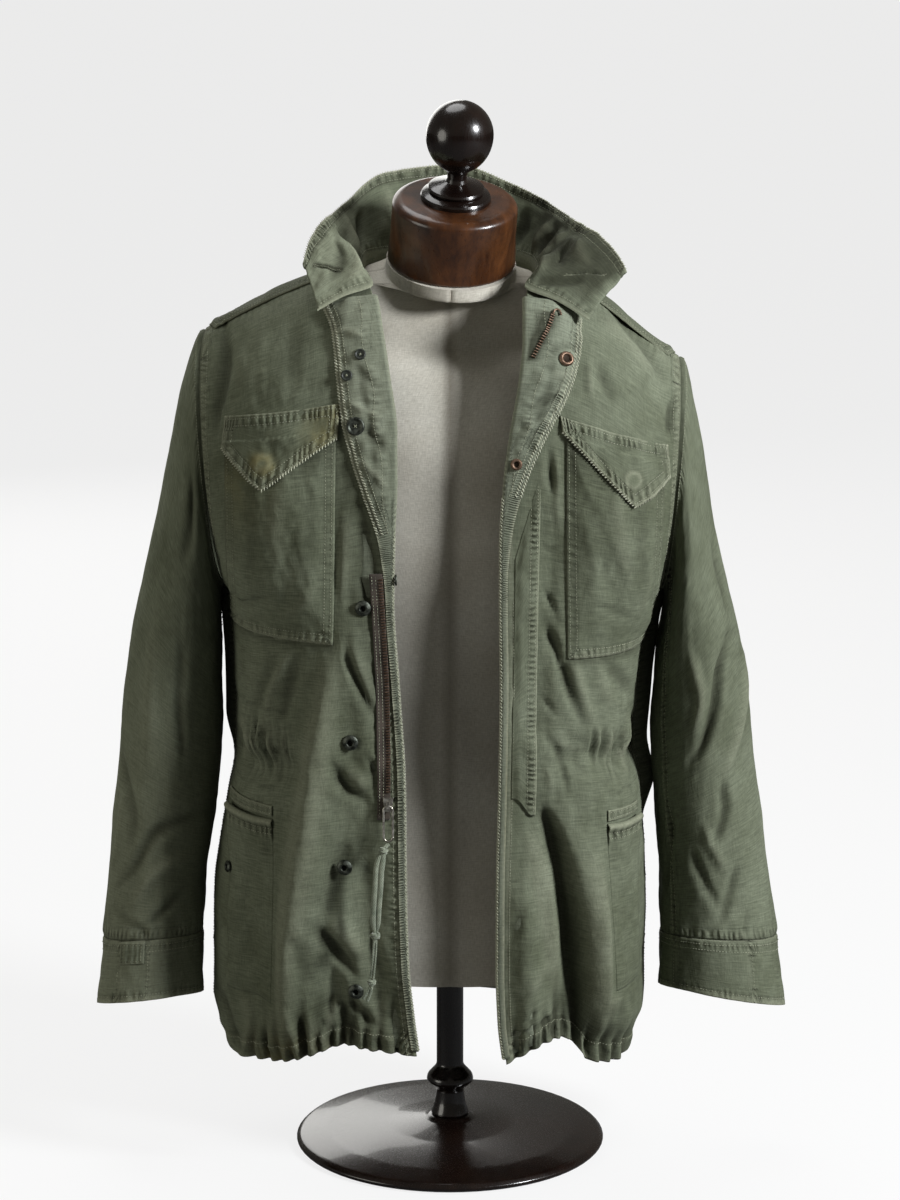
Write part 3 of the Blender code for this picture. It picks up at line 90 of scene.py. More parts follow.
# Side seam: level, distance from the middle, y, z.
SIDE_SEAM = {
    "right": (
        (0.0, 0.217, -0.01, 0.124), (0.1, 0.228, -0.01, 0.165), (0.3, 0.227, -0.01, 0.25),
        (0.55, 0.212, -0.008, 0.36), (0.66, 0.203, -0.008, 0.405), (0.78, 0.203, -0.005, 0.46),
        (0.9, 0.206, -0.002, 0.515), (1.0, 0.21, 0.0, 0.56),
    ),
    "left": (
        (0.0, 0.178, -0.01, 0.122), (0.1, 0.187, -0.01, 0.165), (0.3, 0.188, -0.01, 0.25),
        (0.55, 0.182, -0.008, 0.36), (0.66, 0.174, -0.008, 0.405), (0.78, 0.177, -0.005, 0.46),
        (0.9, 0.184, -0.002, 0.515), (1.0, 0.197, 0.0, 0.555),
    ),
}
# Armhole: distance from the middle and height of its top and bottom, half depth, bow of its front.
ARMHOLE = {
    "right": {"top": (0.228, 0.8), "bottom": (0.21, 0.56), "half_depth": 0.078, "bow": 0.008},
    "left": {"top": (0.214, 0.774), "bottom": (0.197, 0.555), "half_depth": 0.078, "bow": 0.003},
}
# Centre back, then back neckline: level, distance from the middle, y, z.
CENTRE_BACK = (
    (0.0, 0.0, 0.112, 0.118), (0.1, 0.0, 0.119, 0.16), (0.3, 0.0, 0.112, 0.25), (0.6, 0.0, 0.098, 0.395),
    (0.8, 0.0, 0.108, 0.49), (1.0, 0.0, 0.121, 0.575), (1.3, 0.0, 0.128, 0.68), (1.55, 0.0, 0.12, 0.765),
    (1.64, 0.0, 0.104, 0.818), (LEVEL_BACK_NECK, 0.0, 0.08, 0.857), (1.8333, 0.036, 0.07, 0.861),
    (1.9167, 0.064, 0.042, 0.863), (2.0, 0.08, 0.005, 0.8625),
)
# Heading of a row at the front edge or the centre back: level, outward, toward the panel's face, up.
EDGE_HEADING = (
    (0.0, 1.0, 0.02, 0.0), (1.2, 1.0, 0.02, 0.0), (1.6, 1.0, -0.1, -0.05), (1.82, 0.9, -0.1, -0.22),
    (2.0, 0.95, 0.0, -0.26),
)
# Heading of a row where it leaves the side seam or armhole: level, inward, toward the panel's face, up.
SIDE_HEADING = (
    (0.0, 0.0, 1.0, 0.0), (1.0, 0.0, 1.0, 0.0), (1.4, 0.3, 0.95, 0.02), (1.6, 0.55, 0.8, 0.15),
    (1.8, 0.8, 0.4, 0.4), (2.0, 0.84, 0.0, 0.54),
)
# Reach of a row's two ends as shares of its chord: level, at the edge, at the side.
ROW_REACH = (
    (0.0, 0.46, 0.42), (1.0, 0.5, 0.46), (1.5, 0.44, 0.4), (2.0, 0.33, 0.33),
)
# Width of the turned-back front: level, width.
TURN_WIDTH = {
    "right": (
        (0.0, 0.004), (0.98, 0.004), (1.15, 0.01), (1.3, 0.027), (1.4, 0.038), (1.5, 0.045), (1.6, 0.044),
        (1.72, 0.042), (1.81, 0.048),
    ),
    "left": (
        (0.0, 0.004), (1.05, 0.004), (1.2, 0.008), (1.33, 0.017), (1.45, 0.028), (1.55, 0.038),
        (1.65, 0.047), (1.81, 0.055),
    ),
}
# Hem waves: share of the way from the front edge to the side seam, drop below the straight hem.
HEM_WAVE = {
    "right": ((0.0, 0.0), (0.22, -0.006), (0.5, 0.01), (0.78, 0.014), (1.0, 0.0)),
    "left": ((0.0, 0.0), (0.2, -0.02), (0.32, -0.014), (0.42, 0.006), (0.7, 0.014), (1.0, 0.0)),
}
# Largest folds of the shell: panel, then distance from the middle and height of both ends, half width, rise.
FOLDS = (
    ("right", 0.105, 0.52, 0.15, 0.14, 0.024, 0.014), ("right", 0.085, 0.345, 0.06, 0.17, 0.02, -0.01),
    ("right", 0.185, 0.34, 0.19, 0.15, 0.018, -0.008), ("right", 0.13, 0.412, 0.195, 0.402, 0.014, -0.009),
    ("right", 0.092, 0.56, 0.07, 0.42, 0.016, 0.007), ("right", 0.115, 0.24, 0.1, 0.12, 0.014, -0.01),
    ("left", 0.082, 0.37, 0.122, 0.13, 0.018, -0.016), ("left", 0.062, 0.31, 0.072, 0.15, 0.016, 0.009),
    ("left", 0.118, 0.34, 0.158, 0.15, 0.02, 0.01), ("left", 0.1, 0.432, 0.168, 0.405, 0.014, -0.008),
    ("left", 0.115, 0.805, 0.175, 0.76, 0.015, 0.006), ("left", 0.095, 0.64, 0.075, 0.45, 0.016, -0.006),
    ("back", -0.055, 0.4, -0.08, 0.12, 0.026, 0.014), ("back", 0.075, 0.39, 0.06, 0.12, 0.024, -0.013),
    ("back", 0.015, 0.38, 0.0, 0.13, 0.02, 0.01), ("back", -0.15, 0.41, 0.15, 0.405, 0.015, -0.01),
    ("back", -0.12, 0.76, -0.095, 0.46, 0.017, -0.012), ("back", 0.118, 0.745, 0.095, 0.46, 0.017, -0.012),
)
# Sleeve rings below the armhole: outer x, outer z, inner x, inner z, y, half depth, drop of the back.
SLEEVE_RINGS = {
    "right": (
        (0.249, 0.757, 0.2175, 0.545, 0.0, 0.081, 0.0), (0.26, 0.705, 0.218, 0.522, 0.0, 0.083, 0.0),
        (0.279, 0.617, 0.218, 0.49, 0.002, 0.08, 0.002), (0.304, 0.505, 0.2185, 0.425, 0.005, 0.074, 0.004),
        (0.316, 0.4, 0.223, 0.35, 0.002, 0.069, 0.008), (0.326, 0.3, 0.234, 0.275, -0.008, 0.064, 0.014),
        (0.333, 0.214, 0.2375, 0.22, -0.02, 0.059, 0.022),
        (0.339, 0.15, 0.238, 0.162, -0.028, 0.057, 0.028),
    ),
    "left": (
        (0.229, 0.732, 0.204, 0.54, 0.0, 0.081, 0.0), (0.239, 0.68, 0.202, 0.518, 0.0, 0.083, 0.0),
        (0.252, 0.605, 0.197, 0.488, 0.002, 0.08, 0.002), (0.277, 0.5, 0.193, 0.42, 0.005, 0.074, 0.004),
        (0.29, 0.4, 0.196, 0.345, 0.002, 0.069, 0.008), (0.303, 0.3, 0.201, 0.272, -0.008, 0.066, 0.014),
        (0.314, 0.216, 0.202, 0.22, -0.02, 0.063, 0.022), (0.322, 0.148, 0.201, 0.17, -0.028, 0.061, 0.028),
    ),
}
NOSE = 0.003             # radius of a facing round the front edge
NOSE_LOOSE = 0.0016      # how much more that radius is where the front turns back
NOSE_LIFT = 0.0012       # how much further forward it lies there
HEM_LINE = 0.0165        # height of the stitches over the hem
SIDE_SPAN = 0.2          # length of cloth in one unit of s beside a side seam
LEVEL_RISE = 0.43        # height of a front in one level
EDGE_TURNS = 0.0064      # from turn to turn of the overcast edge
CUFF_LENGTH = 0.064
STRAP_LONG = 0.12
STRAP_WIDE = 0.048
STRAP_LEVELS = 4 / 24    # width of a strap in levels
FLY_WIDE = 0.0215
THREAD_LIFT = 0.00012    # how far stitches stand off the cloth
STITCH_WIDE = 0.00075
STITCH_HIGH = 0.00042
# Seeds of the gathers of each side's pocket, flap, hip pocket and hip band.
POCKET_SEED = {"right": 101, "left": 103}
FLAP_SEED = {"right": 111, "left": 113}
HIP_SEED = {"right": 121, "left": 123}
BAND_SEED = {"right": 131, "left": 133}
TURN_SLACK = 0.0018      # how far a turned-back front stands off the front below it
TURN_ARCH = 0.0035       # how much farther it stands off in its middle
FACING_START = 0.012     # level of the foot of a facing
FACING_STOP = 0.62       # share of the row under the neckline that a facing runs up
CUFF_RING = 7            # ring where the cuff is sewn on, counting the armhole as 0
COLLAR_DROP = 0.0003     # how far the collar's seam is let down onto the neckline
# Collar seam: share from the right end to the left end, x, y, z.
COLLAR_SEAM = (
    (-1.0, -0.12, -0.108, 0.834), (-0.88, -0.097, -0.101, 0.846), (-0.75, -0.07, -0.088, 0.855),
    (-0.55, -0.081, -0.035, 0.866), (-0.4, -0.079, 0.005, 0.869), (-0.2, -0.052, 0.053, 0.8665),
    (0.0, 0.0, 0.078, 0.8605), (0.2, 0.052, 0.053, 0.866), (0.4, 0.077, 0.005, 0.864),
    (0.55, 0.079, -0.035, 0.862), (0.75, 0.068, -0.088, 0.853), (0.88, 0.097, -0.101, 0.842),
    (1.0, 0.126, -0.108, 0.825),
)
# Collar's outer edge: the same shares, x, y, z.
COLLAR_EDGE = (
    (-1.0, -0.134, -0.072, 0.872), (-0.88, -0.129, -0.048, 0.888), (-0.75, -0.122, -0.028, 0.899),
    (-0.55, -0.109, 0.003, 0.908), (-0.4, -0.096, 0.032, 0.916), (-0.2, -0.062, 0.082, 0.937),
    (0.0, 0.004, 0.106, 0.942), (0.2, 0.064, 0.08, 0.924), (0.4, 0.102, 0.034, 0.908),
    (0.55, 0.119, 0.006, 0.899), (0.75, 0.139, -0.022, 0.89), (0.88, 0.152, -0.045, 0.878),
    (1.0, 0.162, -0.066, 0.862),
)
# Dress form: z, half width toward the right, half width toward the left, front y, back y, squareness.
TORSO = (
    (0.19, 0.15, 0.148, -0.108, 0.088, 2.3), (0.26, 0.154, 0.15, -0.11, 0.09, 2.3),
    (0.34, 0.148, 0.145, -0.106, 0.084, 2.3), (0.42, 0.14, 0.136, -0.1, 0.076, 2.3),
    (0.52, 0.15, 0.148, -0.106, 0.084, 2.3), (0.62, 0.166, 0.164, -0.116, 0.094, 2.3),
    (0.69, 0.174, 0.17, -0.116, 0.098, 2.2), (0.735, 0.178, 0.17, -0.106, 0.096, 2.1),
    (0.77, 0.176, 0.16, -0.09, 0.086, 2.0),
)
TORSO_RIDGE_LEVELS = (0.79, 0.808, 0.825, 0.838, 0.848)
STAND_POLE_RADIUS = 0.013
STAND_BASE_RADIUS = 0.15
STAND_BASE_HEIGHT = 0.026
CAP_RADIUS = 0.058
CAP_HEIGHT = 0.062
CAP_TOP = Vector((0.005, -0.034, 0.925))
CAP_FORWARD = math.radians(18.0)
CAP_LEAN = math.radians(3.5)
NECK_RADIUS = 0.0605
FORM_CLEAR = 0.0022      # clearance of the form under the ridge of the jacket's shoulders
SHOULDER_WIDTH = 0.185   # most that the form's shoulders reach out
FINIAL_RADIUS = 0.031
CHEST_POCKET = {
    "right": ((0.103, 0.728), (0.205, 0.712), (0.206, 0.533), (0.106, 0.531)),
    "left": ((0.104, 0.724), (0.196, 0.69), (0.1935, 0.512), (0.107, 0.516)),
}
CHEST_FLAP = {
    "right": ((0.099, 0.752), (0.205, 0.734), (0.207, 0.706), (0.101, 0.722)),
    "left": ((0.099, 0.741), (0.1995, 0.7055), (0.2005, 0.677), (0.101, 0.727)),
}
FLAP_POINT = 0.625       # how far across a flap its point lies
FLAP_DROP = 0.04         # how far the point hangs below the line between the flap's lower corners
HIP_BAND = {
    "right": ((0.164, 0.371), (0.206, 0.371), (0.206, 0.361), (0.164, 0.361)),
    "left": ((0.146, 0.366), (0.175, 0.362), (0.175, 0.353), (0.146, 0.355)),
}
HIP_POCKET = {
    "right": ((0.164, 0.3585), (0.206, 0.359), (0.213, 0.18), (0.166, 0.18)),
    "left": ((0.146, 0.353), (0.175, 0.351), (0.177, 0.19), (0.15, 0.19)),
}
POCKET_FULL = 0.0075
# Tab on the right cuff: rings from and to, turns from and to in degrees.
CUFF_TAB = (7.03, 7.38, 57.0, 86.0)
# Zip: middle of the chain from the jacket's middle at a height.
CHAIN_LINE = ((0.36, 0.057), (0.42, 0.0565), (0.48, 0.0572), (0.53, 0.0595), (0.6, 0.0635))
CHAIN_WIDTH = 0.004
CHAIN_FOOT = 0.392       # the slider hides the chain below this height
# Chain on the left facing: level, how far across the facing its middle lies.
FACING_CHAIN = ((1.655, 0.1), (1.69, 0.21), (1.73, 0.33), (1.766, 0.4))
TAPE_WIDTH = 0.012
TAPE_THICK = 0.0008
ZIP_TOP = 0.598
ZIP_FOOT = 0.366
# Pull cord: x, y, z of the route's own points, from the pull to the free end.
CORD_ROUTE = (
    (-0.0568, -0.1585, 0.345), (-0.061, -0.161, 0.34), (-0.065, -0.1635, 0.325), (-0.0665, -0.1648, 0.305),
    (-0.0685, -0.165, 0.28), (-0.069, -0.1645, 0.26), (-0.07, -0.1635, 0.24), (-0.0718, -0.1625, 0.222),
    (-0.0735, -0.1615, 0.208), (-0.079, -0.1605, 0.196),
)
# Knots on the cord: name, share of its length, radius of the bead.
CORD_KNOTS = (
    ("cord_knot_top", 0.05, 0.0042), ("cord_knot_middle", 0.58, 0.0046), ("cord_knot_end", 0.88, 0.004),
)
# Round fastenings in section: radius, height.
STUD_LINE = (
    (0.0, 0.001), (0.0018, 0.001), (0.0024, 0.0014), (0.0028, 0.0029), (0.0036, 0.0032), (0.0046, 0.003),
    (0.0066, 0.0019), (0.0073, 0.0012), (0.0074, 0.0004), (0.007, 0.0), (0.0, 0.0),
)
RING_LINE = (
    (0.0, 0.0008), (0.0028, 0.0008), (0.0033, 0.0011), (0.0039, 0.0023), (0.0047, 0.0026), (0.0058, 0.0024),
    (0.0066, 0.0015), (0.007, 0.0007), (0.0069, 0.0), (0.0, 0.0),
)
BUTTON_LINE = (
    (0.0, 0.0016), (0.0046, 0.0017), (0.0053, 0.002), (0.0061, 0.0029), (0.0071, 0.0031), (0.0079, 0.0027),
    (0.0085, 0.0016), (0.0083, 0.0005), (0.0078, 0.0), (0.0, 0.0),
)
# Creases of the shell: their points, as distance from the middle and height in millimetres, then half width
# and rise in tenths of a millimetre. On the back the first numbers are x itself.
CREASES = {
    "right": (
        (210, 813, 206, 779, 213, 740, 215, 711, 64, -60), (142, 825, 146, 790, 150, 762, 150, -18),
        (195, 796, 191, 774, 193, 750, 120, 14), (170, 815, 175, 782, 171, 755, 120, 10),
        (96, 661, 97, 610, 102, 572, 82, 40), (78, 675, 74, 610, 76, 564, 73, -60),
        (104, 535, 124, 401, 147, 258, 161, 131, 137, 90), (95, 530, 84, 498, 70, 465, 37, -50),
        (89, 536, 77, 502, 64, 468, 46, 25), (145, 523, 165, 480, 170, 442, 37, 30),
        (135, 523, 150, 478, 157, 448, 55, -40), (158, 519, 178, 476, 184, 450, 46, -30),
        (179, 455, 181, 428, 179, 407, 24, -30), (173, 460, 173, 435, 171, 406, 22, 30),
        (167, 458, 165, 427, 165, 398, 22, -30), (161, 450, 160, 424, 163, 392, 24, 25),
        (154, 446, 154, 423, 156, 401, 24, -25), (190, 449, 191, 424, 189, 405, 24, 20),
        (197, 433, 198, 416, 196, 404, 24, -20), (108, 429, 101, 405, 90, 391, 73, 382, 46, -50),
        (92, 420, 83, 404, 75, 394, 73, 40), (77, 430, 71, 418, 69, 409, 32, -30),
        (97, 344, 106, 307, 117, 262, 82, -50), (125, 264, 108, 239, 87, 207, 64, -80),
        (111, 275, 95, 251, 78, 227, 82, 40), (140, 259, 136, 226, 129, 197, 82, -30),
        (95, 187, 82, 170, 67, 158, 55, -50), (106, 190, 114, 165, 125, 135, 46, 50),
        (100, 183, 97, 161, 93, 140, 41, -50), (141, 178, 138, 152, 136, 125, 41, -50),
        (149, 184, 146, 155, 144, 124, 46, 30), (129, 176, 128, 153, 128, 129, 37, 30),
        (120, 171, 118, 152, 116, 130, 32, -40), (178, 151, 174, 131, 169, 112, 37, -35),
        (221, 176, 211, 142, 195, 115, 46, -40), (200, 202, 194, 157, 187, 111, 55, 35),
        (162, 338, 176, 283, 198, 203, 73, -40), (176, 342, 193, 287, 208, 219, 73, 30),
        (60, 192, 67, 167, 62, 141, 55, 30), (48, 201, 52, 172, 47, 143, 46, -30),
        (78, 284, 67, 255, 61, 226, 55, 20), (58, 206, 69, 229, 72, 260, 46, -20),
    ),
    "left": (
        (135, 823, 161, 796, 189, 760, 64, 45), (147, 825, 175, 796, 202, 758, 64, -40),
        (159, 816, 184, 792, 207, 762, 55, 25), (122, 790, 125, 772, 128, 754, 41, 30),
        (132, 784, 140, 765, 148, 750, 46, -30), (205, 746, 203, 724, 202, 706, 41, -50),
        (88, 716, 90, 693, 92, 666, 37, -40), (96, 711, 98, 675, 98, 628, 37, 20),
        (83, 624, 89, 619, 96, 620, 23, -25), (84, 582, 93, 569, 100, 552, 27, -25),
        (85, 551, 99, 524, 110, 486, 127, 443, 46, -60), (97, 547, 110, 523, 123, 477, 138, 442, 55, 30),
        (83, 482, 91, 473, 98, 463, 27, -30), (85, 446, 97, 434, 105, 410, 108, 383, 37, -35),
        (85, 421, 92, 403, 95, 384, 37, 20), (70, 487, 60, 472, 60, 461, 66, 455, 29, -40),
        (62, 498, 55, 480, 52, 461, 37, 25),
        (81, 380, 93, 356, 105, 317, 113, 261, 118, 209, 123, 144, 73, -140),
        (72, 356, 87, 308, 98, 249, 104, 181, 110, 70), (130, 333, 138, 264, 141, 195, 144, 141, 128, 70),
        (132, 450, 135, 430, 137, 411, 22, -35), (137, 447, 139, 430, 140, 408, 20, 30),
        (143, 446, 144, 429, 145, 406, 22, -35), (149, 443, 150, 428, 151, 407, 20, 30),
        (155, 440, 156, 426, 158, 407, 22, -30), (162, 439, 163, 425, 165, 407, 20, 25),
        (169, 435, 170, 423, 172, 409, 20, -25), (90, 441, 110, 433, 129, 425, 37, 25),
        (92, 430, 112, 419, 131, 402, 37, -25), (146, 504, 159, 487, 174, 462, 55, -40),
        (134, 509, 142, 484, 149, 462, 55, 25), (45, 147, 65, 156, 89, 166, 105, 171, 23, -30),
        (69, 166, 75, 174, 78, 180, 23, -30), (56, 245, 63, 265, 70, 284, 64, -30),
        (73, 196, 84, 211, 94, 224, 64, 25), (91, 170, 96, 157, 99, 142, 37, -60),
        (108, 190, 105, 166, 109, 139, 46, -40), (157, 182, 152, 153, 147, 127, 55, -30),
        (50, 610, 58, 597, 67, 592, 27, -20), (51, 564, 61, 553, 71, 547, 32, -20),
        (53, 517, 60, 527, 69, 536, 37, 20),
    ),
    "back": (
        (-190, 700, -160, 660, -120, 640, 80, -40), (-180, 660, -150, 610, -130, 560, 100, 35),
        (185, 695, 160, 650, 130, 625, 85, -40), (176, 650, 152, 600, 128, 560, 100, 35),
        (-60, 730, -40, 690, -45, 640, 100, -25), (50, 735, 36, 690, 44, 630, 100, 25),
        (0, 600, 6, 540, -4, 470, 90, -30), (-150, 500, -130, 460, -128, 420, 60, 35),
        (-120, 470, -112, 430, -114, 392, 40, -35), (-98, 462, -94, 428, -96, 396, 36, 30),
        (-74, 466, -70, 430, -72, 390, 40, -34), (-50, 460, -48, 426, -52, 394, 36, 28),
        (-24, 464, -24, 430, -20, 388, 42, -34), (2, 458, 4, 428, 2, 396, 36, 30),
        (28, 466, 26, 430, 30, 392, 40, -32), (52, 460, 54, 426, 50, 390, 36, 30),
        (80, 468, 78, 432, 84, 394, 42, -34), (106, 462, 110, 430, 108, 396, 36, 28),
        (134, 480, 132, 440, 128, 398, 50, -34), (-120, 360, -130, 290, -128, 210, 90, -40),
        (-30, 370, -22, 300, -32, 220, 90, 35), (110, 360, 120, 280, 112, 200, 90, 40),
        (40, 340, 30, 270, 36, 190, 80, -35), (-150, 190, -146, 165, -142, 138, 50, 35),
        (-105, 185, -100, 160, -102, 136, 45, -40), (-40, 188, -46, 162, -42, 138, 45, -38),
        (-8, 186, -4, 162, -10, 136, 45, 34), (30, 190, 24, 164, 28, 138, 50, -40),
        (84, 186, 90, 162, 88, 138, 45, 36), (130, 188, 126, 164, 128, 140, 45, -38),
    ),
}
# Creases of the sleeves: points as turn in degrees and hundredths of a ring, then half width and rise.
SLEEVE_CREASES = {
    "right": (
        (5, 495, 55, 545, 55, 590, 92, -40), (145, 515, 90, 555, 65, 605, 30, 645, 64, -50),
        (140, 570, 95, 600, 65, 660, 74, 40), (85, 680, 110, 650, 135, 610, 55, -30),
        (75, 100, 85, 190, 75, 270, 83, -50), (100, 330, 100, 400, 110, 465, 83, -30),
        (60, 330, 65, 430, 70, 510, 129, 30), (35, 660, 80, 685, 90, 700, 46, -25),
        (40, 520, 35, 575, 25, 620, 46, 25),
    ),
    "left": (
        (30, 375, 60, 390, 75, 425, 95, 455, 115, 465, 74, -80), (100, 340, 90, 400, 105, 435, 74, 50),
        (5, 400, 40, 460, 80, 510, 83, 50), (75, 500, 75, 540, 95, 570, 64, -50),
        (115, 565, 105, 605, 90, 655, 55, -40), (65, 595, 80, 635, 95, 685, 55, -40),
        (60, 660, 65, 680, 70, 695, 37, -30), (50, 370, 40, 375, 15, 385, 28, -30),
        (35, 280, 30, 335, 35, 365, 83, -40), (100, 535, 90, 575, 80, 600, 55, 35),
        (135, 500, 145, 565, 160, 640, 55, -35),
    ),
}
# Fly: distance from the middle and height of its corners, from the top inner one.
FLY_CORNERS = ((0.059, 0.61), (0.082, 0.69), (0.079, 0.385), (0.056, 0.385))
FLY_DROP = 0.017         # how far the outer end of the fly's foot hangs below its inner end
STRAP_START = 0.2        # share of the shoulder seam at which a strap starts
STRAP_STOP = 0.975       # share of the shoulder seam at which a strap's middle ends
FLAP_SLOPE = 0.8         # how much shorter a flap's foot lies off than straight down
# Sleeve: ring, length of sleeve down to it.
SLEEVE_LENGTHS = (
    (0, 0.0), (1, 0.03), (2, 0.067), (3, 0.127), (4, 0.215), (5, 0.305), (6, 0.393), (7, 0.463), (8, 0.524),
)
# Turns, in degrees, of the seams down each sleeve and of the stitched lines down each cuff.
SLEEVE_SEAMS = {"right": (205.0,), "left": (142.0,)}
CUFF_LINES = {"right": (55.0, 90.0, 205.0), "left": (62.0, 136.0, 142.0)}
# Stitched slits of the collar: both ends, along its length from the middle and up from its seam.
COLLAR_SLITS = (((-0.222, 0.05), (-0.196, 0.026)), ((0.196, 0.024), (0.222, 0.05)))
FORM_SEAMS = (-90.0, -52.0, -128.0, 0.0, 180.0, 90.0, 52.0, 128.0)
# Round fastenings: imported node, profile, size, finish.
FASTENINGS = (
    ("stud_1", STUD_LINE, 1.0, "gunmetal"), ("stud_2", STUD_LINE, 1.0, "gunmetal"),
    ("stud_3", STUD_LINE, 1.0, "gunmetal"), ("stud_4", STUD_LINE, 1.0, "gunmetal"),
    ("stud_5", STUD_LINE, 0.75, "gunmetal"), ("snap_ring_1", RING_LINE, 1.0, "copper"),
    ("snap_ring_2", RING_LINE, 0.78, "copper"), ("liner_button_1", BUTTON_LINE, 0.62, "button"),
    ("liner_button_2", BUTTON_LINE, 0.62, "button"), ("liner_button_3", BUTTON_LINE, 1.0, "gunmetal"),
    ("liner_button_4", BUTTON_LINE, 0.62, "gunmetal"),
)
# Creases of a turned-back front: points in millimetres from its roll and up it, then half width and rise.
LAPEL_CREASES = {
    "right": (
        (4, 560, 20, 585, 36, 600, 45, 22), (6, 600, 20, 622, 40, 640, 50, -24),
        (8, 640, 22, 652, 40, 668, 45, 20), (10, 680, 24, 700, 42, 712, 50, -24),
        (12, 725, 26, 738, 42, 742, 45, 22), (14, 550, 18, 610, 22, 680, 20, 740, 40, -16),
    ),
    "left": (
        (12, 590, 16, 630, 20, 680, 22, 740, 50, -22), (4, 620, 18, 640, 34, 650, 45, 20),
        (6, 655, 22, 672, 44, 682, 50, -26), (10, 690, 28, 700, 50, 708, 45, 24),
        (16, 718, 34, 728, 52, 736, 45, -24), (30, 660, 36, 700, 38, 745, 40, 18),
    ),
}
# Creases of the collar: points in millimetres from its middle and up from its seam, then half width and rise.
COLLAR_CREASES = (
    (-215, 20, -190, 34, -170, 55, 70, -30), (-200, 10, -172, 22, -150, 40, 70, 30),
    (-165, 8, -150, 30, -140, 56, 80, -32), (-128, 6, -120, 30, -112, 60, 80, 34),
    (-100, 6, -90, 28, -82, 50, 70, -30), (-60, 10, -52, 34, -46, 58, 80, 26),
    (-20, 6, -12, 30, -16, 56, 80, -28), (20, 8, 28, 34, 22, 60, 80, 28), (55, 6, 62, 30, 60, 56, 70, -34),
    (85, 6, 90, 30, 96, 58, 60, 40), (104, 6, 106, 30, 110, 54, 50, -45),
    (122, 8, 128, 30, 132, 56, 70, 30), (150, 50, 168, 36, 190, 30, 60, -36),
    (140, 14, 160, 20, 184, 16, 60, 30), (165, 58, 185, 48, 206, 44, 60, 28),
    (180, 8, 198, 16, 212, 30, 55, -28), (-222, 50, -209, 37, -196, 26, 16, -34),
    (196, 24, 209, 38, 222, 50, 16, -34),
)
# Creases of the chest pockets: points in millimetres across and down, then half width and rise.
POCKET_CREASES = {
    "right": (
        (26, 40, 24, 90, 30, 150, 70, -26), (52, 30, 56, 80, 50, 130, 80, 24),
        (80, 40, 76, 90, 82, 150, 70, -24), (60, 150, 80, 165, 98, 172, 50, -22),
        (14, 140, 30, 160, 50, 176, 55, 20),
    ),
    "left": (
        (14, 40, 30, 80, 36, 140, 70, -26), (46, 30, 50, 80, 60, 130, 80, 24),
        (74, 30, 70, 90, 76, 150, 70, -26), (20, 150, 44, 160, 70, 172, 55, -22),
        (84, 100, 78, 140, 66, 170, 50, 20),
    ),
}
# Gathers that the hem's drawstring pulls in: distance from the middle, how far up they run.
HEM_GATHERS = {
    "right": (
        (0.05, 0.022), (0.066, 0.034), (0.079, 0.02), (0.091, 0.046), (0.102, 0.028), (0.113, 0.05),
        (0.124, 0.024), (0.136, 0.042), (0.147, 0.02), (0.16, 0.036), (0.174, 0.024), (0.188, 0.02),
    ),
    "left": (
        (0.062, 0.018), (0.076, 0.03), (0.088, 0.02), (0.101, 0.04), (0.112, 0.022), (0.124, 0.046),
        (0.135, 0.026), (0.146, 0.038), (0.157, 0.02), (0.168, 0.026), (0.18, 0.018),
    ),
}
# Where the gathered waist seam lies: its height on each side.
WAIST = {"right": 0.424, "left": 0.417}
FLOOR_SPAN = 90.0
CAMERA_LIFT = math.radians(12.5)
CAMERA_AWAY = 3.6
CAMERA_TARGET = Vector((0.0, 0.0, 0.54))
# Rolls of the back's cloth under the arms: how far they stand out, and the heights between which they do.
SIDE_ROLLS = {"right": (0.015, 0.37, 0.6), "left": (0.0185, 0.31, 0.59)}
# Rings and buttons that lie flat on a turned-back front: level, how far across it.
LAPEL_SEATS = {
    "right": ((1.655, 0.42), (1.615, 0.76), (1.475, 0.72)),
    "left": ((1.667, 0.72), (1.37, 0.27)),
}


# --- Numbers -----------------------------------------------------------------------------------------------

def table(rows):
    """A reader of a table: its other columns at a first column's values, by a cubic that never overshoots."""
    data = np.array(rows, float)
    x, y = data[:, 0], data[:, 1:]
    slope = np.diff(y, axis=0) / np.diff(x)[:, None]
    tangent = np.zeros_like(y)
    tangent[0], tangent[-1] = slope[0], slope[-1]
    before, after = slope[:-1], slope[1:]
    same = before * after > 0
    tangent[1:-1] = np.where(same, 2 * before * after / np.where(same, before + after, 1.0), 0.0)

    def read(t):
        t = np.clip(np.asarray(t, float), x[0], x[-1])
        k = np.clip(np.searchsorted(x, t, side="right") - 1, 0, len(x) - 2)
        span = (x[k + 1] - x[k])[..., None]
        u = (t - x[k])[..., None] / span
        return between(y[k], y[k + 1], tangent[k] * span, tangent[k + 1] * span, u)

    return read


def between(a, b, leave, arrive, u):
    """A cubic from a to b as u goes from 0 to 1, with the slopes that it leaves and arrives with."""
    return (a * (1 + 2 * u) * (1 - u) ** 2 + leave * u * (1 - u) ** 2
            + b * u * u * (3 - 2 * u) - arrive * u * u * (1 - u))


def grids(a, b):
    return np.broadcast_arrays(np.asarray(a, float), np.asarray(b, float))


def ease(a, b, t):
    """0 below a, 1 above b, and smooth between."""
    u = np.clip((np.asarray(t, float) - a) / (b - a), 0.0, 1.0)
    return u * u * (3 - 2 * u)


def bell(t):
    return np.exp(-np.square(t))


def unit(vectors):
    size = np.sqrt(np.square(vectors).sum(-1, keepdims=True))
    return vectors / np.maximum(size, 1e-12)


def dot(a, b):
    return (a * b).sum(-1)


def turned_to(normal, outward):
    return np.where((dot(normal, outward) < 0)[..., None], -normal, normal)


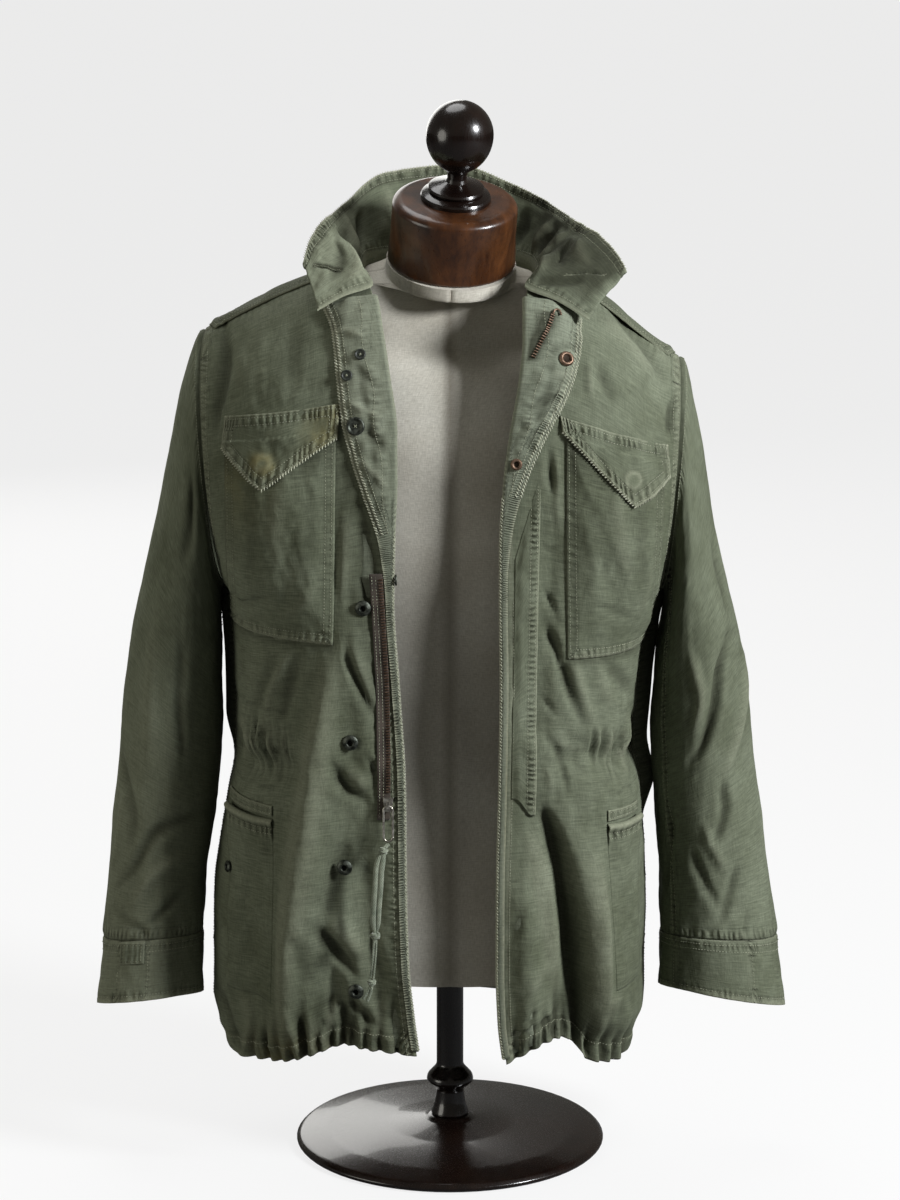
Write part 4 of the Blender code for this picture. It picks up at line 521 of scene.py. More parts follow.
def swell(seed, size, *places):
    """Smooth noise between about -1 and 1 whose swells are about size long."""
    dice = np.random.default_rng(seed)
    total = 0.0
    for _ in range(8):
        heading = dice.normal(size=len(places))
        heading /= np.linalg.norm(heading)
        wave = size * dice.uniform(0.7, 1.7)
        total = total + np.sin(math.tau * sum(h * p for h, p in zip(heading, places)) / wave
                               + dice.uniform(0, math.tau))
    return total / 3.2


def pucker(along, off, pitch, reach, seed):
    """Small gathers across a stitched line: along it, and off it."""
    beat = np.sin(math.tau * (along / pitch + 0.35 * swell(seed, pitch * 5, along)))
    return beat * (0.65 + 0.5 * swell(seed + 1, pitch * 9, along)) * bell(off / reach)


def gathers(along, off, pitch, reach, seed, depth, amount=1.0):
    """Rise of the small gathers across a stitched line, with the marks from which their painted shade and
    highlight are drawn.

    The marks are imaginary numbers, so they add up beside the real ones: in the rubbing mark how strong the
    gathers are, in the shade mark how many of them lie before this place. From the two the cloth's material
    paints each trough darker as shade and each crest lighter as a highlight.
    """
    count = (along / pitch + 0.35 * swell(seed, pitch * 5, along)) * (np.abs(off) < 1.8 * reach)
    lift = 0.7 * depth * pucker(along, off, pitch, reach, seed)
    return amount * lift, 1j * amount * bell(off / reach), 1j * count


def smooth_line(points, pieces=6):
    """A smooth curve through points, pieces to each stretch."""
    points = np.array(points, float)
    made = []
    for k in range(len(points) - 1):
        before = points[max(0, k - 1)]
        a, b = points[k], points[k + 1]
        after = points[min(len(points) - 1, k + 2)]
        ta, tb = (b - before) / 2, (after - a) / 2
        made += [between(a, b, ta, tb, i / pieces) for i in range(pieces)]
    made.append(points[-1])
    return np.array(made)


def marked(rise, wear_and_highlight, grime_and_shade, marks):
    """Adds gathers and their marks to a rise, a wear and a grime."""
    for lift, worn, murk in marks:
        rise, wear_and_highlight, grime_and_shade = rise + lift, wear_and_highlight + worn, grime_and_shade + murk
    return rise, wear_and_highlight, grime_and_shade


def creases_of(rows, first=1000, second=1000):
    """Creases from rows of whole numbers: their points, half width and rise."""
    return [([(a / first, b / second) for a, b in zip(row[:-2:2], row[1:-2:2])],
             row[-2] / 10000, row[-1] / 10000) for row in rows]


def crease_rise(creases, a, b):
    """How far a set of soft creases lifts the cloth at places (a, b), in metres."""
    a, b = grids(a, b)
    total = np.zeros(a.shape)
    for points, width, rise in creases:
        line = smooth_line(points, 5)
        reach = 3.2 * width
        near = ((a > line[:, 0].min() - reach) & (a < line[:, 0].max() + reach)
                & (b > line[:, 1].min() - reach) & (b < line[:, 1].max() + reach))
        if not near.any():
            continue
        pa, pb = a[near], b[near]
        best = np.full(pa.shape, 1e9)
        along = np.zeros(pa.shape)
        count = len(line) - 1
        for k in range(count):
            start, run = line[k], line[k + 1] - line[k]
            t = np.clip(((pa - start[0]) * run[0] + (pb - start[1]) * run[1]) / max(run @ run, 1e-12), 0, 1)
            off = np.hypot(pa - start[0] - t * run[0], pb - start[1] - t * run[1])
            closer = off < best
            best = np.where(closer, off, best)
            along = np.where(closer, (k + t) / count, along)
        taper = ease(-0.06, 0.34, along) * (1 - ease(0.62, 1.05, along))
        wide = width * (0.65 + 0.35 * taper)
        total[near] += rise * taper * (1.18 * bell(best / wide) - 0.18 * bell(best / (2.3 * wide)))
    return total


# --- Shell surfaces ----------------------------------------------------------------------------------------

EDGE = {side: table(rows) for side, rows in FRONT_EDGE.items()}
SEAM = {side: table(rows) for side, rows in SIDE_SEAM.items()}
CENTRE = table(CENTRE_BACK)
AWAY = table(EDGE_HEADING)
ARRIVE = table(SIDE_HEADING)
REACH = table(ROW_REACH)
TURN = {side: table(rows) for side, rows in TURN_WIDTH.items()}
HEM = {side: table(rows) for side, rows in HEM_WAVE.items()}
CHAIN = table(CHAIN_LINE)
CHAIN_LEFT = table(FACING_CHAIN)
SLEEVE_RUN = table(SLEEVE_LENGTHS)


def armhole(side, turn):
    """Points of the armhole: turn is 0 at its top, a quarter turn at its front, half a turn at the armpit."""
    hole = ARMHOLE[side]
    share = (1 + np.cos(turn)) / 2
    out = hole["bottom"][0] + (hole["top"][0] - hole["bottom"][0]) * share + hole["bow"] * abs(np.sin(turn))
    z = hole["bottom"][1] + (hole["top"][1] - hole["bottom"][1]) * share
    return np.stack([SIDES[side] * out, -hole["half_depth"] * np.sin(turn), z], -1)


def row_point(side, level, s, edge, face):
    """Points of the shell's rows from their edge (s = 0) to their side (s = 1); face is -1 on a front."""
    level, s = grids(level, s)
    sign = SIDES[side]
    start = edge(level) * (sign, 1, 1)
    turn = math.pi * (2 - level) * (1 if face < 0 else -1)
    end = np.where((level < 1)[..., None], SEAM[side](level) * (sign, 1, 1), armhole(side, turn))
    end = end + np.array((0, face * GAP, 0))
    leave = unit(AWAY(level) * (sign, face, 1))
    arrive = unit(ARRIVE(level) * (-sign, face, 1))
    reach = REACH(level)
    chord = np.sqrt(np.square(end - start).sum(-1))[..., None]
    p1 = start + leave * chord * reach[..., 0:1]
    p2 = end + arrive * chord * reach[..., 1:2]
    t = s[..., None]
    r = 1 - t
    part = np.zeros(level.shape + (3,))
    part[..., 1] = face * SEAM_GAP * ease(1.85, 2.0, level)
    return start * r ** 3 + p1 * (3 * r * r * t) + p2 * (3 * r * t * t) + end * t ** 3 + part


def front_base(side, level, s):
    point = row_point(side, level, s, EDGE[side], -1)
    drop = HEM[side](s)[..., 0] * (1 - ease(0.0, 0.22, level))
    point[..., 2] -= drop
    return point


def back_base(side, level, s):
    return row_point(side, level, s, CENTRE, 1)


def way_out(surface, side, level, s, face):
    """Directions straight out of a shell surface."""
    level, s = grids(level, s)
    step = 0.004
    across = surface(side, level, np.minimum(1, s + step)) - surface(side, level, np.maximum(0, s - step))
    up = surface(side, np.minimum(2, level + step), s) - surface(side, np.maximum(0, level - step), s)
    normal = unit(np.cross(across, up))
    outward = np.stack([SIDES[side] * 0.3 * s, np.full(s.shape, float(face)), np.full(s.shape, 0.3)], -1)
    return turned_to(normal, outward)


def fold_rise(panel, x, z):
    """How far the large folds of a panel lift its cloth."""
    total = np.zeros(np.shape(x))
    for name, x0, z0, x1, z1, width, rise in FOLDS:
        if name != panel:
            continue
        along = ((x - x0) * (x1 - x0) + (z - z0) * (z1 - z0)) / ((x1 - x0) ** 2 + (z1 - z0) ** 2)
        reach = np.clip(along, 0.0, 1.0)
        off = np.hypot(x - x0 - reach * (x1 - x0), z - z0 - reach * (z1 - z0))
        total = total + rise * bell(off / width) * ease(-0.12, 0.25, along) * (1 - ease(0.95, 1.15, along))
    return total


def front_soft(side, level, s, lift=0.0):
    """Points of a front with its large folds alone, and the directions out of it."""
    base = front_base(side, level, s)
    normal = way_out(front_base, side, level, s, -1)
    quiet = ease(0.0, 0.12, s) * (1 - ease(0.82, 1.0, s))
    rise = fold_rise(side, abs(base[..., 0]), base[..., 2]) * quiet + lift
    return base + normal * np.asarray(rise)[..., None], normal


def front_places(side, out, z):
    """Levels and shares of places on a front at distances from the middle and heights."""
    out, z = grids(out, z)
    level, s = np.full(out.shape, 1.0), np.full(out.shape, 0.5)
    for _ in range(16):
        here = front_base(side, level, s)
        s1, s0 = np.minimum(1, s + 0.01), np.maximum(0, s - 0.01)
        l1, l0 = np.minimum(2, level + 0.01), np.maximum(0, level - 0.01)
        ds = (front_base(side, level, s1) - front_base(side, level, s0)) / (s1 - s0)[..., None]
        dl = (front_base(side, l1, s) - front_base(side, l0, s)) / (l1 - l0)[..., None]
        a, b = SIDES[side] * ds[..., 0], SIDES[side] * dl[..., 0]
        c, d = ds[..., 2], dl[..., 2]
        ex, ez = out - abs(here[..., 0]), z - here[..., 2]
        det = a * d - b * c
        s = np.clip(s + 0.8 * (d * ex - b * ez) / det, 0.0, 1.0)
        level = np.clip(level + 0.8 * (a * ez - c * ex) / det, 0.0, 2.0)
    return level, s


def row_run(side, level):
    """Metres of cloth to one unit of s next to the front edge."""
    edge, _ = front_soft(side, level, np.zeros(np.shape(level)))
    near, _ = front_soft(side, level, np.full(np.shape(level), 0.2))
    return np.sqrt(np.square(near - edge).sum(-1)) / 0.2


def corners_place(corners, u, v, drop=0.0):
    """Distance from the middle and height at u across and v down between four corners."""
    top_in, top_out, low_out, low_in = (np.array(corner) for corner in corners)
    u, v = np.asarray(u, float)[..., None], np.asarray(v, float)[..., None]
    low = low_in + (low_out - low_in) * u
    low = low - np.stack([np.zeros(low.shape[:-1]), np.broadcast_to(drop, low.shape[:-1])], -1)
    top = top_in + (top_out - top_in) * u
    place = top + (low - top) * v
    return place[..., 0], place[..., 1]


def corners_share(corners, out, z):
    """How far across and down a place lies between four corners."""
    top_in, top_out, low_out, low_in = (np.array(corner) for corner in corners)
    u = np.full(np.shape(out), 0.5)
    v = np.full(np.shape(out), 0.5)
    for _ in range(8):
        inner = top_in[0] + (low_in[0] - top_in[0]) * v
        outer = top_out[0] + (low_out[0] - top_out[0]) * v
        u = (out - inner) / (outer - inner)
        high = top_in[1] + (top_out[1] - top_in[1]) * u
        low = low_in[1] + (low_out[1] - low_in[1]) * u
        v = (high - z) / (high - low)
    return u, v


def covered(side, out, z):
    """1 under the pockets, flaps and bands of a front, 0 well clear of them."""
    total = np.zeros(np.shape(out))
    for corners in (CHEST_POCKET[side], CHEST_FLAP[side], HIP_BAND[side], HIP_POCKET[side]):
        u, v = corners_share(corners, out, z)
        wide = abs(corners[1][0] - corners[0][0])
        high = abs(corners[0][1] - corners[3][1])
        inside = np.minimum(np.minimum(u, 1 - u) * wide, np.minimum(v, 1 - v) * high)
        total = np.maximum(total, ease(-0.009, -0.001, inside))
    if side == "left":
        inner, outer = FLY_CORNERS[0][0], FLY_CORNERS[1][0]
        band = ease(inner - 0.008, inner, out) * (1 - ease(outer, outer + 0.008, out))
        total = np.maximum(total, 0.75 * band * ease(0.365, 0.38, z) * (1 - ease(0.66, 0.69, z)))
    return total


def hem_height(side, s):
    return front_base(side, np.zeros(np.shape(s)), s)[..., 2]


def hem_rise(up):
    """Rise of a hem's doubled cloth and of the sunk stitches above it."""
    return 0.0007 * (1 - ease(0.0175, 0.0195, up)) - 0.0004 * bell((up - 0.017) / 0.0011)


def front_detail(side, level, s):
    """Rise of a front's creases, hem and seam puckers, with how rubbed and how dark they leave it: crests get a
    painted highlight, valleys and gathers painted shade, and painted shadows fall under the chest pocket and
    beside the right lapel.
    """
    base = front_base(side, level, s)
    out, z = abs(base[..., 0]), base[..., 2]
    quiet = ease(0.0, 0.06, s) * (1 - ease(0.94, 1.0, s))
    creases = crease_rise(creases_of(CREASES[side]), out, z)
    width = TURN[side](level)[..., 0]
    off_edge = s * row_run(side, level)
    lapel = ease(0.006, 0.012, width)
    under = 1 - lapel * (1 - ease(width, width + 0.02, off_edge))
    open_cloth = (1 - covered(side, out, z)) * under
    ripple = 0.00055 * swell(11, 0.034, out * 1.6, z * 0.55) + 0.00035 * swell(12, 0.013, out * 1.5, z * 0.6)
    ripple = ripple * (1 - 0.6 * ease(0.74, 0.79, z))
    rise = (creases + ripple) * quiet * open_cloth
    up = z - hem_height(side, s)
    rise += hem_rise(up)
    rise -= 0.0005 * (1 - ease(0.0, 0.0016, up))
    crest = np.clip(creases / 0.005, -1, 1) * open_cloth
    shoulder, side_off = (2 - level) * 0.075, (1 - s) * SIDE_SPAN
    # Rubbed at the hem, front edge, shoulder and side seam; crests of creases are painted lighter as a
    # highlight.
    wear_and_highlight = 0.55 * bell(up / 0.0022) + 0.15 * bell((up - 0.017) / 0.0016) + 0.22 * np.clip(crest, 0, 1)
    wear_and_highlight += 0.35 * bell((off_edge - 0.0065) / 0.0018) * (1 - lapel) + 0.3 * bell(shoulder / 0.004)
    wear_and_highlight += 0.15 * bell((side_off - 0.004) / 0.003)
    # Valleys of creases are painted darker as shade; the lines over the hem and at the side seam are dark seams.
    grime_and_shade = 0.85 * np.clip(-crest, 0, 1) + 0.35 * bell((up - 0.02) / 0.002) + 0.5 * bell(side_off / 0.002)
    # Painted shadow under the chest pocket's foot.
    u, v = corners_share(CHEST_POCKET[side], out, z)
    below = np.maximum(0, v - 1) * (CHEST_POCKET[side][0][1] - CHEST_POCKET[side][3][1])
    grime_and_shade += 0.85 * bell(below / 0.007) * (v > 1) * ease(-0.02, 0.02, u) * (1 - ease(0.98, 1.02, u)) * quiet
    # Painted shadow that the lapel casts on the right front beside it.
    if side == "right":
        beside = ease(width + 0.002, width + 0.006, off_edge)
        beside = beside * (1 - ease(width + 0.01, width + 0.046, off_edge))
        grime_and_shade += 0.62 * beside * ease(0.44, 0.5, z) * (1 - ease(0.7, 0.8, z))
    arm = 1 - ease(1.95, 2.0, level)
    rise, wear_and_highlight, grime_and_shade = marked(rise, wear_and_highlight, grime_and_shade, (
        gathers(out, up - 0.01, 0.0098, 0.009, 31, 0.0022, open_cloth),
        gathers(z, off_edge - 0.007, 0.0074, 0.0055, 33, 0.0016, 0.75 * (1 - lapel) * (side == "right")),
        gathers(out, shoulder - 0.004, 0.0068, 0.006, 35, 0.0005, 0.5 * ease(1.7, 1.9, level)),
        gathers(z, side_off - 0.006, 0.0068, 0.0042, 37, 0.0008, 0.7 * arm),
        gathers(out, z - WAIST[side], 0.0082, 0.021, 39, 0.0042, 1.6 * ease(0.14, 0.162, out)),
    ))
    # Hem gathers: sunk troughs, painted darker as shade.
    for reach, drawn in HEM_GATHERS[side]:
        line = bell((out - reach) / 0.0034) * bell(np.maximum(up - 0.012, 0) / drawn)
        rise -= 0.0054 * line * open_cloth
        grime_and_shade += 1.1 * line * open_cloth
    return rise, wear_and_highlight, grime_and_shade


def front_cloth(side, level, s, lift=0.0):
    """Points of a front with all of its creases, and the directions out of it."""
    rise, _, _ = front_detail(side, level, s)
    return front_soft(side, level, s, rise + lift)


def back_cloth(side, level, s, lift=0.0):
    """Points of the back with its creases, the directions out of it, and its marks of rubbing and dirt, which
    also carry a painted highlight on crests and painted shade in valleys.
    """
    level, s = grids(level, s)
    base = back_base(side, level, s)
    normal = way_out(back_base, side, level, s, 1)
    flat = (s == 0) & (level <= LEVEL_BACK_NECK)
    normal[..., 0] = np.where(flat, 0.0, normal[..., 0])
    normal = unit(normal)
    x, z = base[..., 0], base[..., 2]
    large = fold_rise("back", x, z) * (1 - ease(0.82, 1.0, s)) * (1 - ease(1.6, 1.75, level))
    side_off = (1 - s) * SIDE_SPAN
    creases = crease_rise(creases_of(CREASES["back"]), x, z)
    creases = creases * (1 - ease(0.95, 1.0, s)) * (1 - ease(1.6, 1.74, level))
    up = z - back_base(side, np.zeros(level.shape), s)[..., 2]
    rise = creases + 0.0006 * swell(21, 0.035, x * 1.5, z * 0.5) * (1 - ease(0.95, 1.0, s))
    rise += hem_rise(up)
    crest = np.clip(creases / 0.005, -1, 1)
    # Rubbed at the hem and side seams; crests of creases are painted lighter as a highlight.
    wear_and_highlight = 0.55 * bell(up / 0.0022) + 0.2 * bell((up - 0.017) / 0.0016) + 0.2 * np.clip(crest, 0, 1)
    wear_and_highlight += 0.15 * bell((side_off - 0.004) / 0.003)
    # Valleys of creases are painted darker as shade; the lines over the hem and at the side seams are dark
    # seams.
    grime_and_shade = 0.85 * np.clip(-crest, 0, 1) + 0.35 * bell((up - 0.02) / 0.002) + 0.5 * bell(side_off / 0.002)
    arm = 1 - ease(1.95, 2.0, level)
    rise, wear_and_highlight, grime_and_shade = marked(rise, wear_and_highlight, grime_and_shade, (
        gathers(x, up - 0.01, 0.0095, 0.011, 41, 0.0018),
        gathers(z, side_off - 0.006, 0.0068, 0.0042, 43, 0.0008, 0.7 * arm),
    ))
    size, low, high = SIDE_ROLLS[side]
    roll = size * bell((s - 0.905) / 0.062) * (1 - ease(0.955, 1.0, s))
    roll = roll * ease(low, low + 0.06, z) * (1 - ease(high - 0.06, high, z))
    away = roll[..., None] * (SIDES[side], 0.25, 0.0)
    return base + away + normal * (large + rise + lift)[..., None], normal, wear_and_highlight, grime_and_shade


def ring_place(side, k, turn):
    """Points of the sleeve's own rings; ring 0 is the armhole."""
    rings = np.array(SLEEVE_RINGS[side])
    row = rings[np.clip(k, 1, len(rings)) - 1]
    share = (1 + np.cos(turn)) / 2
    x = row[..., 2] + (row[..., 0] - row[..., 2]) * share
    z = row[..., 3] + (row[..., 1] - row[..., 3]) * share + row[..., 6] * np.sin(turn) / 2
    made = np.stack([SIDES[side] * x, row[..., 4] - row[..., 5] * np.sin(turn), z], -1)
    hole = armhole(side, turn)
    hole[..., 0] += SIDES[side] * (SEAM_GAP + WALL * np.maximum(0.0, np.cos(turn)))
    return np.where((k <= 0)[..., None], hole, made)


def sleeve_base(side, ring, turn):
    """Points of the sleeve through its rings."""
    ring, turn = grids(ring, turn)
    last = len(SLEEVE_RINGS[side])
    k = np.minimum(ring.astype(int), last - 1)
    u = (ring - k)[..., None]
    a, b = ring_place(side, k, turn), ring_place(side, k + 1, turn)
    first = np.array((SIDES[side] * 0.02, 0, -0.012))
    ta = np.where((k > 0)[..., None], (b - ring_place(side, k - 1, turn)) * 0.5, first)
    tb = np.where((k + 2 <= last)[..., None], (ring_place(side, k + 2, turn) - a) * 0.5, b - a)
    return between(a, b, ta, tb, u)


def sleeve_out(side, ring, turn):
    """Directions straight out of the sleeve."""
    ring, turn = grids(ring, turn)
    step = 0.01
    last = len(SLEEVE_RINGS[side])
    around = sleeve_base(side, ring, turn + step) - sleeve_base(side, ring, turn - step)
    along = sleeve_base(side, np.minimum(last, ring + step), turn) - sleeve_base(
        side, np.maximum(0, ring - step), turn)
    normal = unit(np.cross(around, along))
    outward = np.stack([SIDES[side] * np.cos(turn), -np.sin(turn), 0 * turn], -1)
    return turned_to(normal, outward)


SLEEVE_RADIUS = 0.068


def sleeve_cloth(side, ring, turn, lift=0.0):
    """Points of the sleeve with its creases, the directions out of it, and its marks of rubbing and dirt, which
    also carry a painted highlight on crests, painted light on the lower right sleeve and painted shade in
    valleys.
    """
    ring, turn = grids(ring, turn)
    base = sleeve_base(side, ring, turn)
    normal = sleeve_out(side, ring, turn)
    a = (turn % math.tau) * SLEEVE_RADIUS
    b = SLEEVE_RUN(ring)[..., 0]
    rows = []
    for points, width, rise in creases_of(SLEEVE_CREASES[side], 1, 100):
        rows.append(([(math.radians(p) * SLEEVE_RADIUS, float(SLEEVE_RUN(q)[0])) for p, q in points],
                     width, rise))
        behind = [(math.radians(330 - p) * SLEEVE_RADIUS, float(SLEEVE_RUN(q * 0.97 + 0.12)[0]))
                  for p, q in points]
        rows.append((behind, width * 1.15, rise * 0.9))
    creases = crease_rise(rows, a, b)
    around = np.cos(turn) * SLEEVE_RADIUS, np.sin(turn) * SLEEVE_RADIUS
    ripple = 0.0007 * swell(51, 0.045, *around, b * 0.6) + 0.0003 * swell(52, 0.016, *around, b * 0.7)
    cuff = SLEEVE_RUN(np.array(float(CUFF_RING)))[0] - b
    gather = np.sin(a / 0.0125 * math.tau / 2 + 1.7 * swell(53, 0.05, *around)) * 0.001
    rise = (creases + ripple) * ease(0.0, 0.02, b) * ease(-0.001, 0.006, cuff)
    rise += gather * (1 - ease(0.0, 0.034, cuff)) * (cuff > 0) * ease(0.0, 0.004, cuff)
    crest = np.clip(creases / 0.005, -1, 1)
    # Crests are painted lighter as a highlight; the lower right sleeve is painted lighter, standing in for
    # light.
    wear_and_highlight = 0.22 * np.clip(crest, 0, 1) + 0.16 * ease(0.12, 0.34, b) * (side == "right")
    # Valleys of creases are painted darker as shade; dark lines at the cuff seam and the armhole seam.
    grime_and_shade = 0.85 * np.clip(-crest, 0, 1) + 0.3 * bell((cuff - 0.001) / 0.003)
    grime_and_shade = grime_and_shade + 0.4 * (1 - ease(0.0, 0.0035, b))
    round_about = turn * SLEEVE_RADIUS
    marks = [gathers(round_about, b - 0.008, 0.0074, 0.006, 55, 0.0012, 0.4),
             gathers(round_about, cuff - 0.004, 0.0078, 0.0045, 59, 0.0006)]
    for seam in SLEEVE_SEAMS[side]:
        off = (turn - math.radians(seam)) * SLEEVE_RADIUS
        rise = rise - 0.0008 * bell(off / 0.0016)
        wear_and_highlight = wear_and_highlight + 0.25 * bell((off - 0.0035) / 0.0016)
        grime_and_shade = grime_and_shade + 0.55 * bell(off / 0.002)
        marks.append(gathers(b, off, 0.0068, 0.006, 57, 0.0011))
    rise, wear_and_highlight, grime_and_shade = marked(rise, wear_and_highlight, grime_and_shade, marks)
    rise = rise - 0.001 * (1 - ease(0.0, 0.0035, b))
    return base + normal * (rise + lift)[..., None], normal, wear_and_highlight, grime_and_shade


COLLAR_LINE = table(COLLAR_SEAM)
COLLAR_RIM = table(COLLAR_EDGE)


def collar_base(share, height):
    """Points of the collar from its seam (height 0) to its outer edge (height 1), bowed in like a funnel."""
    share, height = grids(share, height)
    seam = COLLAR_LINE(share) - np.array((0, 0, COLLAR_DROP))
    edge = COLLAR_RIM(share)
    rise = np.zeros(seam.shape)
    rise[..., 2] = 0.35 * np.sqrt(np.square(edge - seam).sum(-1))
    middle = (seam + edge) / 2 + rise * 0.25
    t = height[..., None]
    return seam * (1 - t) ** 2 + middle * (2 * t * (1 - t)) + edge * t ** 2


COLLAR_HALF = 0.235      # length of half of the collar's outer edge
COLLAR_HIGH = 0.075


def collar_cloth(share, height, lift=0.0):
    """Points of the collar's inner face, the directions out of it, and its marks of rubbing and dirt, which also
    carry a painted highlight on crests, painted light on the right half, and painted shade in valleys, in the
    slits and over the left half.
    """
    share, height = grids(share, height)
    base = collar_base(share, height)
    across = [collar_base(np.clip(share + step, -1, 1), height) for step in (0.004, -0.004)]
    up = [collar_base(share, np.clip(height + step, 0, 1)) for step in (0.016, -0.016)]
    normal = unit(np.cross(across[0] - across[1], up[0] - up[1]))
    a, b = share * COLLAR_HALF, height * COLLAR_HIGH
    creases = 1.5 * crease_rise(creases_of(COLLAR_CREASES), a, b)
    off = (1 - height) * COLLAR_HIGH
    seam = ease(0.0, 0.12, height)
    rise = creases * seam * ease(-0.002, 0.004, off)
    rise = rise + (0.0009 * swell(61, 0.032, a, b) + 0.0004 * swell(62, 0.012, a, b)) * seam
    rise = rise - 0.0009 * bell((off - 0.0105) / 0.0014)
    crest = np.clip(creases / 0.0045, -1, 1) * seam
    # Rubbed outer edge and seam; crests of creases are painted lighter as a highlight.
    wear_and_highlight = 0.85 * bell(off / 0.0018) + 0.3 * np.clip(crest, 0, 1) + 0.35 * bell(b / 0.0025)
    # The right half is painted lighter, standing in for light.
    wear_and_highlight = wear_and_highlight + 0.16 * ease(0.25, 0.5, -share)
    # Valleys of creases are painted darker as shade, with dark stitched lines.
    grime_and_shade = 0.9 * np.clip(-crest, 0, 1) + 0.8 * bell((off - 0.0108) / 0.0018)
    grime_and_shade = grime_and_shade + 0.2 * bell((b - 0.004) / 0.003)
    # Painted shade: the inner face of the left half is darkened, and so is the band along the outer edge, most
    # on that half.
    shaded = ease(0.2, 0.42, share)
    grime_and_shade = grime_and_shade + (0.34 + 0.3 * shaded) * bell((off - 0.006) / 0.005)
    grime_and_shade = grime_and_shade + 1.4 * shaded * (1 - ease(0.94, 1.0, share)) * ease(-0.2, 0.5, height)
    # The slits are painted dark as the shade in them.
    for (a0, b0), (a1, b1) in COLLAR_SLITS:
        reach = ((a - a0) * (a1 - a0) + (b - b0) * (b1 - b0)) / math.hypot(a1 - a0, b1 - b0) ** 2
        reach = np.clip(reach, 0, 1)
        grime_and_shade = grime_and_shade + 1.9 * bell(np.hypot(a - a0 - reach * (a1 - a0), b - b0 - reach * (b1 - b0)) / 0.0019)
    rise, wear_and_highlight, grime_and_shade = marked(rise, wear_and_highlight, grime_and_shade, (gathers(a, off - 0.0055, 0.0066, 0.005, 63, 0.0012),
                                                   gathers(a, b - 0.004, 0.0075, 0.005, 65, 0.0006, seam)))
    return base + normal * (rise + lift)[..., None], normal, wear_and_highlight, grime_and_shade


# --- Lapels ------------------------------------------------------------------------------------------------

def turn_lift(width, share):
    """How far the face of a turned-back front stands off the front below it."""
    loose = ease(0.008, 0.03, width)
    arch = np.sin(math.pi * np.minimum(1.0, share + 0.05))
    return FACING + SEAT_GAP + (TURN_SLACK + TURN_ARCH * arch) * loose


def quilt_line(level):
    """How far across a facing its quilted line runs."""
    return 0.3 + 0.05 * np.sin(level * 31.0)


def lapel_face(side, level, share, lift=0.0):
    """Points on the face of a turned-back front, and the directions out of it."""
    level, share = grids(level, share)
    width = TURN[side](level)[..., 0]
    loose = ease(0.008, 0.03, width)
    reach = share * width / row_run(side, level)
    off = (1 - share) * width
    rise = turn_lift(width, share) - 0.0011 * loose * (1 - ease(0.0, 0.0035, off))
    far = share * width
    rise = rise + lapel_detail(side, level, far, off, loose)[0] * ease(0.0, 0.1, share)
    return front_soft(side, level, reach, rise + lift)


def lapel_detail(side, level, far, off, loose):
    """Creases, quilting and gathers of a turned-back front: far from its roll and off its free edge. Its marks
    carry a painted highlight on crests, painted light on the right lapel, painted shade in valleys and a painted
    shadow beside the left chain.
    """
    up = level * LEVEL_RISE
    share = far / (far + off)
    calm = np.ones(np.broadcast(level, far).shape)
    for at, across in LAPEL_SEATS[side]:
        calm = calm * (1 - bell(np.hypot(up - at * LEVEL_RISE, (share - across) * (far + off)) / 0.011))
    creases = crease_rise(creases_of(LAPEL_CREASES[side]), far, up) * loose * calm
    rise = creases - 0.0007 * bell((off - 0.0028) / 0.0009) * loose
    rise = rise + (0.0008 * swell(73, 0.02, far, up) - 0.0006 * bell((off - 0.0085) / 0.0012)) * loose * calm
    crest = np.clip(creases / 0.003, -1, 1)
    wear_and_highlight = 0.95 * bell(off / 0.0017) + 0.55 * bell((off - 0.0047) / 0.0013) * loose
    # Crests of creases are painted lighter as a highlight.
    wear_and_highlight = wear_and_highlight + 0.3 * np.clip(crest, 0, 1)
    # Valleys of creases are painted darker as shade, with a dark stitched line.
    grime_and_shade = 0.9 * np.clip(-crest, 0, 1) + 0.55 * bell((off - 0.0029) / 0.0008) * loose
    # The right lapel is painted lighter, standing in for light.
    wear_and_highlight = wear_and_highlight + 0.14 * loose * (side == "right")
    quilt = far - quilt_line(level) * (far + off)
    drawn = 1.0 if side == "right" else 0.55 * ease(0.92, 1.02, level)
    marks = [gathers(up, off - 0.0075, 0.0066, 0.0045, 71, 0.0015, 0.6 * loose * calm),
             gathers(up, quilt, 0.0085, 0.0045, 75, 0.002, 0.5 * loose * calm),
             gathers(up - 0.6 * off, off - 0.003, 0.0074, 0.005, 77, 0.001, 1.3 * (1 - loose) * drawn)]
    rise, wear_and_highlight, grime_and_shade = marked(rise, wear_and_highlight, grime_and_shade, marks)
    # Painted shadow along the left facing beside the zip's chain.
    if side == "left":
        behind = (share - CHAIN_LEFT(level)[..., 0]) * (far + off) + 0.0035
        between = ease(FACING_CHAIN[0][0] - 0.01, FACING_CHAIN[0][0], level)
        between = between * (1 - ease(FACING_CHAIN[-1][0], FACING_CHAIN[-1][0] + 0.01, level))
        grime_and_shade = grime_and_shade + 1.8 * bell(behind / 0.0075) * between
    return rise, wear_and_highlight, grime_and_shade


def edge_roll(side, levels):
    """A facing's roll round the front edge: its middle, the ways outward and forward, and its radius."""
    loose = ease(0.008, 0.03, TURN[side](levels)[..., 0])
    zero = np.zeros(levels.shape)
    edge, normal = front_soft(side, levels, zero)
    outward = unit(edge - front_soft(side, levels, zero + 0.02)[0])
    middle = edge - normal * (WALL / 2) + normal * (NOSE_LIFT * loose)[..., None]
    return middle, outward, normal, (NOSE + NOSE_LOOSE * loose)[..., None]


